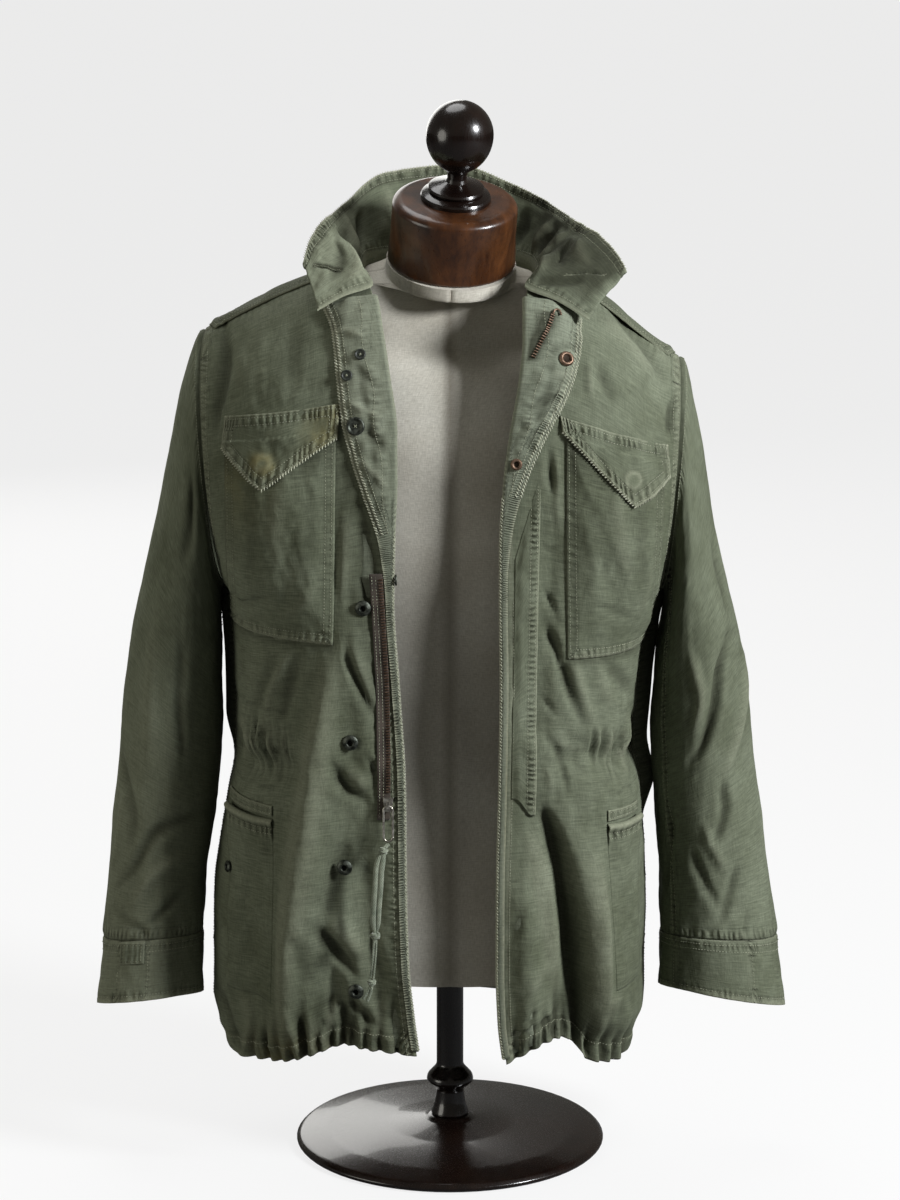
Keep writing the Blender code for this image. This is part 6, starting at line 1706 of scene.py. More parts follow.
class FieldJacketSettings(bpy.types.PropertyGroup):
    """Sizes and colours of the jacket and its stand."""
    cloth_wall: FloatProperty(name="Cloth", description="Thickness of the shell cloth", default=0.0012,
                              min=0.0006, max=0.002, unit="LENGTH", precision=4)
    pocket_wall: FloatProperty(name="Pocket cloth", description="Thickness of the pockets' and flaps' cloth",
                               default=0.0011, min=0.0006, max=0.0015, unit="LENGTH", precision=4)
    stitch_pitch: FloatProperty(name="Stitch pitch", description="Distance from stitch to stitch",
                                default=0.0029, min=0.0015, max=0.006, unit="LENGTH", precision=4)
    stitch_length: FloatProperty(name="Stitch length", description="Length of thread that shows",
                                 default=0.0021, min=0.001, max=0.005, unit="LENGTH", precision=4)
    tooth_pitch: FloatProperty(name="Tooth pitch", description="Distance from zip tooth to zip tooth",
                               default=0.0026, min=0.0015, max=0.006, unit="LENGTH", precision=4)
    turn_steps: IntProperty(name="Turning steps", description="Sides of the large turned pieces",
                            default=72, min=24, max=128)
    lens: FloatProperty(name="Lens", description="Focal length of the camera, in millimetres",
                        default=113.684, min=20.0, max=300.0)
    cloth_dark: colour_setting("Cloth, dark", "Shell cloth where it is least faded", (0.078, 0.088, 0.055))
    cloth_light: colour_setting("Cloth, faded", "Shell cloth where it is most faded", (0.145, 0.162, 0.114))
    # The paler colour for rubbed places, which the painted highlights on crests also move toward.
    cloth_worn_and_highlight: colour_setting("Cloth, worn", "Rubbed edges and seams", (0.36, 0.37, 0.27))
    # Facing colours: the shell cloth painted lighter, standing in for the light on the lapels.
    facing_lit_dark: colour_setting("Facing, dark", "Facing where it is least faded", (0.1, 0.114, 0.08))
    facing_lit_light: colour_setting("Facing, faded", "Facing where it is most faded", (0.188, 0.208, 0.157))
    thread: colour_setting("Thread", "Sewing thread", (0.2, 0.215, 0.145))
    thread_light: colour_setting("Thread, faded", "Faded sewing thread", (0.34, 0.35, 0.25))
    frayed: colour_setting("Frayed thread", "Threads of the frayed edges", (0.42, 0.43, 0.33))
    linen: colour_setting("Linen", "Linen of the form", (0.5, 0.47, 0.4))
    linen_light: colour_setting("Linen, light", "Lightest linen of the form", (0.62, 0.6, 0.53))
    burl_dark: colour_setting("Burl, dark", "Dark figure of the cap's wood", (0.019, 0.0058, 0.002))
    burl_light: colour_setting("Burl, light", "Light figure of the cap's wood", (0.1, 0.035, 0.01))
    ebony_dark: colour_setting("Ebony, dark", "Dark grain of the finial and stand", (0.004, 0.002, 0.0015))
    ebony_light: colour_setting("Ebony, light", "Light grain of the finial and stand", (0.012, 0.006, 0.004))
    copper: colour_setting("Copper", "Aged copper of zip and rings", (0.125, 0.078, 0.052))
    gunmetal: colour_setting("Gunmetal", "Studs", (0.03, 0.034, 0.028))
    steel: colour_setting("Steel", "Slider and pull", (0.32, 0.3, 0.26))
    button: colour_setting("Button", "Lining buttons", (0.012, 0.015, 0.011))
    tape: colour_setting("Zip tape", "Woven tape of the zip", (0.03, 0.022, 0.015))
    cord: colour_setting("Cord", "Pull cord", (0.135, 0.16, 0.115))
    cord_light: colour_setting("Cord, light", "Lightest strands of the pull cord", (0.27, 0.3, 0.225))


# --- Shell pieces ------------------------------------------------------------------------------------------

class PieceOperator:
    """What the operators below share."""
    bl_options = {"REGISTER", "UNDO"}

    @property
    def own(self):
        return sizes()


def line_of(surface, side, levels, shares):
    """A run of (points, ways out) on a shell surface, for a row of stitches."""
    return surface(side, *grids(levels, shares), THREAD_LIFT)[:2]


class FIELDJACKET_OT_fronts(PieceOperator, bpy.types.Operator):
    """Make both fronts with their creases, hem and stitching"""
    bl_idname = "fieldjacket.fronts"
    bl_label = "Fronts"

    def execute(self, context):
        for side in SIDES:
            level, s = np.meshgrid(spaced(0.0, 2.0, 240, ((0.0, 0.1, 2.2),)),
                                   spaced(0.0, 1.0, 106, ((0.0, 0.1, 1.5),)), indexing="ij")
            rise, wear_and_highlight, grime_and_shade = front_detail(side, level, s)
            points, _ = front_soft(side, level, s, rise)
            spot = np.hypot(abs(points[..., 0]) - 0.15, points[..., 2] - 0.118)
            stain = 0.5 * bell(spot / 0.03) * (side == "right")
            front = made_sheet(grid_piece(f"front_cloth_{side}", points, wear_and_highlight, grime_and_shade, stain), FORWARD,
                               self.own.cloth_wall, f"front_{side}")
            low = np.linspace(0.0, 1.0, 320)
            seam = np.linspace(0.02, 1.98, 420)
            runs = [line_of(front_cloth, side, HEM_LINE / 0.448, np.linspace(0.0, 1.0, 260)),
                    line_of(front_cloth, side, low, 0.0085 / row_run(side, low))]
            runs += [line_of(front_cloth, side, seam, 1 - off / SIDE_SPAN) for off in (0.003, 0.009)]
            sewn(points, f"front_stitching_{side}", runs)
        return {"FINISHED"}


def spaced(start, stop, count, dense=()):
    """Values from start to stop, closer together near each dense spot (place, reach, how many times)."""
    fine = np.linspace(start, stop, 4000)
    rate = np.ones_like(fine)
    for place, reach, times in dense:
        rate += (times - 1) * bell((fine - place) / reach)
    total = np.concatenate([[0], np.cumsum((rate[1:] + rate[:-1]) / 2)])
    return np.interp(np.linspace(0, total[-1], count), total, fine)


class FIELDJACKET_OT_back(PieceOperator, bpy.types.Operator):
    """Make the back, in one piece from side seam to side seam"""
    bl_idname = "fieldjacket.back"
    bl_label = "Back"

    def execute(self, context):
        shares = np.linspace(0.0, 1.0, 68)
        level, s = np.meshgrid(spaced(0.0, 2.0, 160, ((0.0, 0.1, 2.0),)), shares, indexing="ij")
        right, left = (back_cloth(side, level, s) for side in SIDES)
        points, _, wear_and_highlight, grime_and_shade = (np.concatenate([a[:, ::-1], b], 1) for a, b in zip(right, left))
        back = grid_piece("back_cloth", points, wear_and_highlight, grime_and_shade)
        self.open_middle(back, len(shares))
        made_sheet(weld(back), toward(0, 1, 0), self.own.cloth_wall, "back")
        along = np.linspace(0.0, 1.0, 200)
        seam = np.linspace(0.02, 1.98, 420)
        runs = []
        for side in SIDES:
            runs += [line_of(back_cloth, side, HEM_LINE / 0.45, along),
                     line_of(back_cloth, side, seam, 1 - 0.0045 / SIDE_SPAN),
                     line_of(back_cloth, side, 0.63, along * 0.98),
                     line_of(back_cloth, side, 0.6, along * 0.98)]
        sewn(points, "back_stitching", runs)
        return {"FINISHED"}

    def open_middle(self, back, half):
        """Takes out the faces without width between the two halves."""
        edited(back, lambda: bpy.ops.mesh.select_mode(type="FACE"),
               lambda: bpy.ops.mesh.select_all(action="DESELECT"))
        chosen = np.zeros(len(back.data.polygons), bool)
        chosen[half - 1::2 * half - 1] = True
        back.data.polygons.foreach_set("select", chosen)
        bpy.ops.object.mode_set(mode="EDIT")
        bpy.ops.mesh.delete(type="FACE")
        bpy.ops.object.mode_set(mode="OBJECT")


def cuff_cloth(side, ring, turn, lift=0.0):
    """Points of a cuff with its gathers, the directions out of it, and its marks of rubbing and dirt; the right
    cuff is painted lighter, standing in for light.
    """
    normal = sleeve_out(side, ring, turn)
    down = (ring - CUFF_RING) * CUFF_LENGTH
    end = CUFF_LENGTH - down
    places = np.cos(turn) * SLEEVE_RADIUS, np.sin(turn) * SLEEVE_RADIUS
    rise = 0.0008 + 0.0011 * swell(91, 0.055, *places, down) + 0.0004 * swell(92, 0.014, *places, down)
    rise = rise - 0.0009 * (1 - ease(0.0, 0.0018, down)) - 0.0005 * bell((end - 0.0065) / 0.0012)
    wear_and_highlight = 0.75 * bell(end / 0.0022) + 0.4 * bell(down / 0.0018) + 0.2 * bell((end - 0.0045) / 0.002)
    # The right cuff is painted lighter all over, standing in for light.
    wear_and_highlight = wear_and_highlight + 0.2 * (side == "right")
    grime_and_shade = 0.35 * bell((end - 0.007) / 0.0014) + 0.3 * bell((down - 0.006) / 0.0015)
    round_about = turn * SLEEVE_RADIUS
    marks = [gathers(round_about, down - 0.007, 0.007, 0.0038, 93, 0.0012, 0.6),
             gathers(round_about, end - 0.006, 0.0074, 0.0045, 95, 0.0012, 0.5)]
    for degrees in CUFF_LINES[side]:
        off = (turn - math.radians(degrees)) * SLEEVE_RADIUS
        rise = rise - 0.0005 * bell(off / 0.0012)
        wear_and_highlight = wear_and_highlight + 0.25 * bell((off - 0.003) / 0.0014)
        marks.append(gathers(down, off, 0.0068, 0.003, 97, 0.0005, 0.5))
    rise, wear_and_highlight, grime_and_shade = marked(rise, wear_and_highlight, grime_and_shade, marks)
    points = sleeve_base(side, ring, turn) - (0, 0, SEAM_GAP) + normal * rise[..., None]
    return points + normal * lift, normal, wear_and_highlight, grime_and_shade


class FIELDJACKET_OT_sleeves(PieceOperator, bpy.types.Operator):
    """Make both sleeves and their cuffs"""
    bl_idname = "fieldjacket.sleeves"
    bl_label = "Sleeves and cuffs"

    def execute(self, context):
        turns = np.linspace(-math.pi * 0.75, math.pi * 1.25, 105)
        around = np.linspace(0.0, math.tau, 260)
        for side in SIDES:
            rings = spaced(0.0, CUFF_RING, 150, ((0.0, 0.5, 1.5), (CUFF_RING, 0.5, 1.6)))
            points, normal, *marks = sleeve_cloth(side, *np.meshgrid(rings, turns, indexing="ij"))
            lap = points[:1] - normal[:1] * 0.0012 - (SIDES[side] * 0.007, 0, 0)
            points = np.concatenate([lap, points])
            marks = [np.concatenate([mark[:1], mark]) for mark in marks]
            sleeve = self.tube_of(f"sleeve_cloth_{side}", points, marks, f"sleeve_{side}")
            down = np.linspace(0.4, CUFF_RING - 0.05, 300)
            runs = [line_of(sleeve_cloth, side, 0.13, around)]
            runs += [line_of(sleeve_cloth, side, down, math.radians(seam) + off / SLEEVE_RADIUS)
                     for seam in SLEEVE_SEAMS[side] for off in (-0.0035, 0.0035)]
            sewn(points, f"sleeve_stitching_{side}", runs)

            rings = np.linspace(CUFF_RING, CUFF_RING + 1, 34)
            points, _, *marks = cuff_cloth(side, *np.meshgrid(rings, turns, indexing="ij"))
            cuff = self.tube_of(f"cuff_cloth_{side}", points, marks, f"cuff_{side}")
            down = np.linspace(CUFF_RING + 0.18, CUFF_RING + 0.98, 60)
            runs = [line_of(cuff_cloth, side, CUFF_RING + up, around) for up in (0.08, 0.18, 0.9)]
            runs += [line_of(cuff_cloth, side, down, math.radians(degrees)) for degrees in CUFF_LINES[side]]
            sewn(points, f"cuff_stitching_{side}", runs)
        return {"FINISHED"}

    def tube_of(self, name, points, marks, node):
        axis = points.mean(1)[::6]

        def outward(places):
            return places - axis[np.abs(places[:, None, 2] - axis[None, :, 2]).argmin(1)]

        return made_sheet(weld(grid_piece(name, points, *marks), 0.00002), outward, self.own.cloth_wall, node)


class FIELDJACKET_OT_facings(PieceOperator, bpy.types.Operator):
    """Make the turned-back facings with their worn, corded edges"""
    bl_idname = "fieldjacket.facings"
    bl_label = "Facings"

    def execute(self, context):
        top = LEVEL_BACK_NECK + FACING_STOP * (LEVEL_ROLL - LEVEL_BACK_NECK)
        levels = np.linspace(FACING_START, top, 256)
        for side in SIDES:
            points, wear_and_highlight, grime_and_shade = lapel_grid(side, levels)
            stain = 0.3 * bell((points[..., 2] - 0.4) / 0.06) * ease(0.3, 0.8, wear_and_highlight.real) * (side == "left")
            thing = grid_piece(f"facing_cloth_{side}", points, wear_and_highlight, grime_and_shade, stain)
            made_sheet(thing, nearest_forward(points[len(points) // 3, -3]), FACING - 0.0003,
                       f"facing_{side}", "facing")
            upper = levels[ease(0.01, 0.016, TURN[side](levels)[..., 0]) > 0.5]
            runs = [self.beside_edge(side, upper, 0.0105),
                    lapel_face(side, upper, quilt_line(upper), THREAD_LIFT)]
            stitches(f"facing_stitching_{side}", runs)
            self.corded_edge(side, levels)
            hung(points)
        return {"FINISHED"}

    def beside_edge(self, side, levels, off):
        return lapel_face(side, levels, 1 - off / TURN[side](levels)[..., 0], THREAD_LIFT)

    def corded_edge(self, side, levels):
        """Worn overcast threads: along the roll where it is narrow, and along the free edge above."""
        fine = np.linspace(levels[0], levels[-1], 700)
        narrow = ease(0.01, 0.016, TURN[side](fine)[..., 0]) < 0.5
        middle, outward, normal, radius = edge_roll(side, fine)
        runs = []
        for angle in (0.75, 0.1):
            away = outward * math.cos(angle) + normal * math.sin(angle)
            line = middle + away * (radius + 0.0001)
            runs.append((line[narrow], away[narrow]))
        runs += [self.beside_edge(side, fine[~narrow], off) for off in (0.0008, 0.005)]
        smooth(frayed_edge(f"edge_cord_{side}", runs, (0.0042, 0.0013, 0.0007), 0.003, 0.85))


class FIELDJACKET_OT_collar(PieceOperator, bpy.types.Operator):
    """Make the collar, turned up and spread"""
    bl_idname = "fieldjacket.collar"
    bl_label = "Collar"

    def execute(self, context):
        share, height = np.meshgrid(np.linspace(-1, 1, 210), np.linspace(0, 1, 46))
        points, _, *marks = collar_cloth(share, height)
        hang = (1 - ease(0.5, 0.66, np.abs(share[:1])))[..., None] * (0, 0, 1)
        points = np.concatenate([points[:1] - 0.012 * hang, points[:1] - 0.006 * hang, points])
        marks = [np.concatenate([mark[:1], mark[:1], mark]) for mark in marks]
        middle = np.array((0.0, -0.02, 0.95))
        thing = made_sheet(grid_piece("collar_cloth", points, *marks), lambda places: middle - places,
                           WALL - 0.0002, "collar")
        along = np.linspace(-0.985, 0.985, 420)
        stitches("collar_stitching", [self.line(along, height) for height in (
            1 - 0.0035 / COLLAR_HIGH, 1 - 0.01 / COLLAR_HIGH, 0.055)])
        smooth(frayed_edge("collar_edge_cord", [self.line(along, 0.9965)], (0.004, 0.0011, 0.00055), 0.0031,
                           0.85))
        slits = []
        for ends in COLLAR_SLITS:
            a, b = np.linspace(*ends, 30).T
            slits += [self.line(a / COLLAR_HALF, b / COLLAR_HIGH + off / COLLAR_HIGH)
                      for off in (-0.0011, 0.0011)]
        stitches("collar_slits", slits, 1.2, 0.0012, 0.8)
        hung(points)
        return {"FINISHED"}

    def line(self, along, height):
        return collar_cloth(*grids(along, height), THREAD_LIFT)[:2]


# --- Pockets, flaps, straps --------------------------------------------------------------------------------

def edge_lift(off, along, seed, double=True):
    """Rise of a piece's stitched rim: rounded edge, sunk stitch lines and the gathers between them."""
    rise = -0.0008 * (1 - ease(0.0, 0.0016, off)) - 0.0004 * bell((off - 0.0032) / 0.001)
    rise = rise + gathers(along, off - 0.0055, 0.0066, 0.005, seed, 0.0009)[0]
    if double:
        rise = rise - 0.0004 * bell((off - 0.0092) / 0.001)
    return rise


def edge_marks(off, along, seed, strength=1.0):
    """Wear and shade of a piece's stitched rim."""
    _, worn, murk = gathers(along, off - 0.0055, 0.0066, 0.0042, seed, 0.0)
    wear_and_highlight = (0.95 * bell(off / 0.0018) + 0.12 * bell((off - 0.0055) / 0.0028) + worn) * strength
    return wear_and_highlight, murk + 0.35 * bell((off - 0.0092) / 0.0012) + 0.25 * bell((off - 0.0032) / 0.0009)


def flap_drop(u):
    """How far a flap's foot hangs below the line between its lower corners."""
    u = np.asarray(u, float)
    straight = np.minimum(u / FLAP_POINT, (1 - u) / (1 - FLAP_POINT))
    bend = 0.025 * np.exp(-np.square((u - FLAP_POINT) / 0.05))
    return FLAP_DROP * (straight - bend - 0.05 * np.sin(math.pi * np.minimum(1.0, u / FLAP_POINT)))


def pocket_sizes(corners):
    wide = abs(corners[1][0] - corners[0][0]) * 1.06
    high = abs(corners[0][1] - corners[3][1])
    return wide, high


def pocket_rim(u, v, wide, high):
    """How far places on a chest pocket lie off its sides and foot, and how far along that rim."""
    beside, above = np.minimum(u, 1 - u) * wide, (1 - v) * high
    return np.minimum(beside, above), np.where(beside < above, v * high, u * wide)


def chest_pocket_rise(side, u, v):
    """How far the chest pocket's face stands off the front."""
    wide, high = pocket_sizes(CHEST_POCKET[side])
    off, along = pocket_rim(u, v, wide, high)
    a, b = u * wide, v * high
    inside = np.minimum(np.minimum(u, 1 - u), np.minimum(v, 1 - v))
    rise = SEAT_GAP + POCKET + POCKET_FULL * ease(0.0, 0.3, inside)
    rise = rise + edge_lift(off, along, POCKET_SEED[side])
    soft = ease(0.004, 0.022, off)
    rise = rise + 0.6 * crease_rise(creases_of(POCKET_CREASES[side]), a, b) * soft
    return rise + (0.0009 * swell(105, 0.035, a * 1.4, b * 0.6) + 0.0003 * swell(106, 0.012, a, b)) * soft


def chest_pocket_height(side, out, z):
    """Height of the chest pocket's face over the front at a place, and 0 beside it."""
    u, v = corners_share(CHEST_POCKET[side], out, z)
    inside = (u > 0) & (u < 1) & (v > 0) & (v < 1)
    rise = chest_pocket_rise(side, np.clip(u, 0, 1), np.clip(v, 0, 1))
    off, _ = pocket_rim(u, v, *pocket_sizes(CHEST_POCKET[side]))
    return np.where(inside, rise, 0.0) * ease(-0.004, 0.004, off)


def on_front_places(side, out, z, lift):
    level, s = front_places(side, out, z)
    return front_soft(side, level, s, lift)


class FIELDJACKET_OT_pockets(PieceOperator, bpy.types.Operator):
    """Make the chest pockets, their pointed flaps and the hip pockets"""
    bl_idname = "fieldjacket.pockets"
    bl_label = "Pockets"

    def execute(self, context):
        for side in SIDES:
            self.chest_pocket(side)
            self.chest_flap(side)
            self.hip_pocket(side)
            self.hip_band(side)
        return {"FINISHED"}

    def lay(self, name, side, corners, grid, lift, marks, node, runs, drop=None):
        """Lays a grid on the front, stitches it along runs of (u, v) and returns how its places are laid."""
        def laid(u, v, more=THREAD_LIFT):
            u, v = grids(u, v)
            place = corners_place(corners, u, v, drop(u) if drop else 0.0)
            return on_front_places(side, *place, lift(u, v) + more)

        points, _ = laid(*grid, 0.0)
        thing = made_sheet(grid_piece(name, points, *marks), FORWARD, self.own.pocket_wall, node)
        sewn(points, f"{name}_stitching", [laid(*run) for run in runs])
        return laid

    def chest_pocket(self, side):
        wide, high = pocket_sizes(CHEST_POCKET[side])
        right, left = side == "right", side == "left"
        u, v = np.meshgrid(np.linspace(0, 1, 56), np.linspace(0, 1, 92))
        off, _ = pocket_rim(u, v, wide, high)
        crest = crease_rise(creases_of(POCKET_CREASES[side]), u * wide, v * high)
        crest = np.clip(crest / 0.005, -1, 1)
        low = (1 - v) * high < np.minimum(u, 1 - u) * wide
        wear_and_highlight, grime_and_shade = edge_marks(off, np.where(low, u * wide, v * high), POCKET_SEED[side],
                                 np.where(low, 0.8, 0.12))
        # Darker lines along the right pocket's outer edge and the left pocket's inner edge.
        grime_and_shade = grime_and_shade + 0.8 * bell((u - 1) * wide / 0.0012) * right
        grime_and_shade = grime_and_shade + (0.9 * bell(u * wide / 0.0012) + 0.6 * bell((u * wide - 0.007) / 0.001)) * left
        # Crests of creases are painted lighter as a highlight.
        wear_and_highlight = wear_and_highlight + 0.25 * np.clip(crest, 0, 1)
        # Valleys are painted darker as shade, and the top of the pocket is darkened as the painted shadow of its
        # flap.
        grime_and_shade = grime_and_shade + 0.6 * np.clip(-crest, 0, 1) + 0.75 * (1 - ease(0.05, 0.24, v))
        stain = 0.35 * bell((u - 0.9) / 0.3) * bell((v - 0.2) / 0.2) * right
        runs = []
        t = np.linspace(0.0, 1.0, 160)
        for inset in (0.0032, 0.0092):
            a, b = inset / wide, inset / high
            runs += [(a, t * (1 - b)), (1 - a, t * (1 - b)), (a + (1 - 2 * a) * t, 1 - b)]
        self.lay(f"chest_pocket_cloth_{side}", side, CHEST_POCKET[side], (u, v),
                 lambda u, v: chest_pocket_rise(side, u, v), (wear_and_highlight, grime_and_shade, stain),
                 f"chest_pocket_{side}", runs)

    def chest_flap(self, side):
        corners = CHEST_FLAP[side]
        wide, _ = pocket_sizes(corners)
        seed = FLAP_SEED[side]
        spot_out, spot_z = corners_place(corners, FLAP_POINT, 1.0, flap_drop(FLAP_POINT))

        def height_at(u):
            top = corners[0][1] + (corners[1][1] - corners[0][1]) * u
            low = corners[3][1] + (corners[2][1] - corners[3][1]) * u - flap_drop(u)
            return top - low

        def measures(u, v):
            """How far places lie off the rim, under the flap's top and off the button under its point."""
            high = height_at(u)
            out, z = corners_place(corners, u, v, flap_drop(u))
            off = np.minimum(np.minimum(u, 1 - u) * wide, (1 - v) * high * FLAP_SLOPE)
            return off, v * high, np.hypot(out - spot_out, z - spot_z - 0.024), out, z

        def lift(u, v):
            off, top, button, out, z = measures(u, v)
            under = chest_pocket_height(side, out, z)
            rise = SEAT_GAP + POCKET + under + 0.0012 * v + edge_lift(off, u * wide, seed)
            rise = rise + gathers(u * wide, top - 0.006, 0.0066, 0.005, seed + 4, 0.0009)[0]
            rise = rise + 0.0012 * bell((off - 0.0016) / 0.0014) * ease(0.3, 0.6, v)
            rise = rise - 0.0004 * bell((top - 0.003) / 0.001) - 0.0004 * bell((top - 0.0092) / 0.001)
            rise = rise + 0.0016 * (1 - ease(0.004, 0.0105, button))
            return rise + 0.0016 * swell(seed + 8, 0.03, u * wide, top) * ease(0.0, 0.01, off)

        u, v = np.meshgrid(np.linspace(0, 1, 104), np.linspace(0, 1, 48))
        off, top, button, _, _ = measures(u, v)
        wear_and_highlight, grime_and_shade = edge_marks(off, u * wide, seed)
        _, worn, murk = gathers(u * wide, top - 0.006, 0.0066, 0.0038, seed + 4, 0.0)
        wear_and_highlight = wear_and_highlight + worn + 0.45 * bell(top / 0.0014) + 0.3 * bell((button - 0.0065) / 0.0022)
        grime_and_shade = grime_and_shade + murk + 0.35 * bell((top - 0.0094) / 0.0012) + 0.3 * bell((button - 0.0095) / 0.0018)
        stain = 0.8 * bell(np.hypot((u - 0.1) * wide, (v - 0.6) * height_at(u)) / 0.022)
        stain = (stain + 0.8 * bell((button - 0.006) / 0.006)) * (side == "right")
        runs = []
        t = np.linspace(0.0, 1.0, 180)
        for inset in (0.003, 0.0092):
            a = inset / wide
            us = a + (1 - 2 * a) * t
            down = inset / height_at(np.array(a)) + (1 - 2 * inset / height_at(np.array(a))) * t
            runs += [(us, 1 - inset / FLAP_SLOPE / height_at(us)), (us, inset / height_at(us)), (a, down),
                     (1 - a, down)]
        laid = self.lay(f"chest_flap_cloth_{side}", side, corners, (u, v), lift, (wear_and_highlight, grime_and_shade, stain),
                        f"chest_flap_{side}", runs, flap_drop)
        frayed_edge(f"chest_flap_edge_{side}", [laid(np.linspace(0.0, 1.0, 240), 0.992, 0.0004)],
                    (0.004, 0.0014, 0.0008), 0.0031, 1.0)

    def hip_pocket(self, side):
        corners = HIP_POCKET[side]
        wide = abs(corners[1][0] - corners[0][0]) * 1.35
        high = abs(corners[0][1] - corners[3][1])
        seed = HIP_SEED[side]

        def lift(u, v):
            rise = SEAT_GAP + POCKET + 0.004 * (1 - ease(0.0, 0.5, v)) * ease(0.0, 0.4, u)
            top = v * high
            rise = rise + 0.0022 * bell((top - 0.004) / 0.0034) - 0.0016 * (1 - ease(0.0, 0.0022, top))
            rise = rise - 0.0006 * bell((top - 0.0095) / 0.0014)
            rise = rise + gathers(u * wide, top - 0.012, 0.0066, 0.005, seed, 0.0009)[0]
            off = np.minimum(u * wide, (1 - v) * high)
            soft = ease(0.004, 0.016, off) * ease(0.015, 0.03, top)
            rise = rise + (0.0016 * swell(seed + 3, 0.04, u * wide * 1.7, top * 0.5)
                           + 0.0004 * swell(seed + 4, 0.013, u * wide, top)) * soft
            flush = (1 - ease(0.0, 0.009, off)) * ease(0.014, 0.024, top)
            return rise * (1 - flush) + 0.0003 * flush

        u, v = np.meshgrid(np.linspace(0, 1, 36), spaced(0, 1, 92, ((0.0, 0.12, 2.0),)))
        top = v * high
        _, worn, murk = gathers(u * wide, top - 0.012, 0.0066, 0.005, seed, 0.0)
        marks = 0.6 * bell((top - 0.003) / 0.003) + worn, 0.6 * bell((top - 0.009) / 0.0018) + murk
        t = np.linspace(0.0, 1.0, 120)
        self.lay(f"hip_pocket_cloth_{side}", side, corners, (u, v), lift, marks, f"hip_pocket_{side}",
                 [(t, down / high) for down in (0.0095, 0.0145)])

    def hip_band(self, side):
        corners = HIP_BAND[side]
        wide = abs(corners[1][0] - corners[0][0]) * 1.3
        high = abs(corners[0][1] - corners[3][1])
        seed = BAND_SEED[side]

        def off_rim(u, v):
            return np.minimum(u * wide, np.minimum(v, 1 - v) * high)

        def lift(u, v):
            off = off_rim(u, v)
            rise = SEAT_GAP + POCKET + 0.0004 + edge_lift(off, u * wide, seed, False)
            return rise + 0.0007 * swell(seed + 2, 0.02, u * wide, v * high) * ease(0.0, 0.004, off)

        u, v = np.meshgrid(np.linspace(0, 1, 40), np.linspace(0, 1, 14))
        t = np.linspace(0.02, 0.98, 80)
        self.lay(f"hip_band_cloth_{side}", side, corners, (u, v), lift,
                 edge_marks(off_rim(u, v), u * wide, seed, 0.5), f"hip_band_{side}", [(t, 0.26), (t, 0.74)])


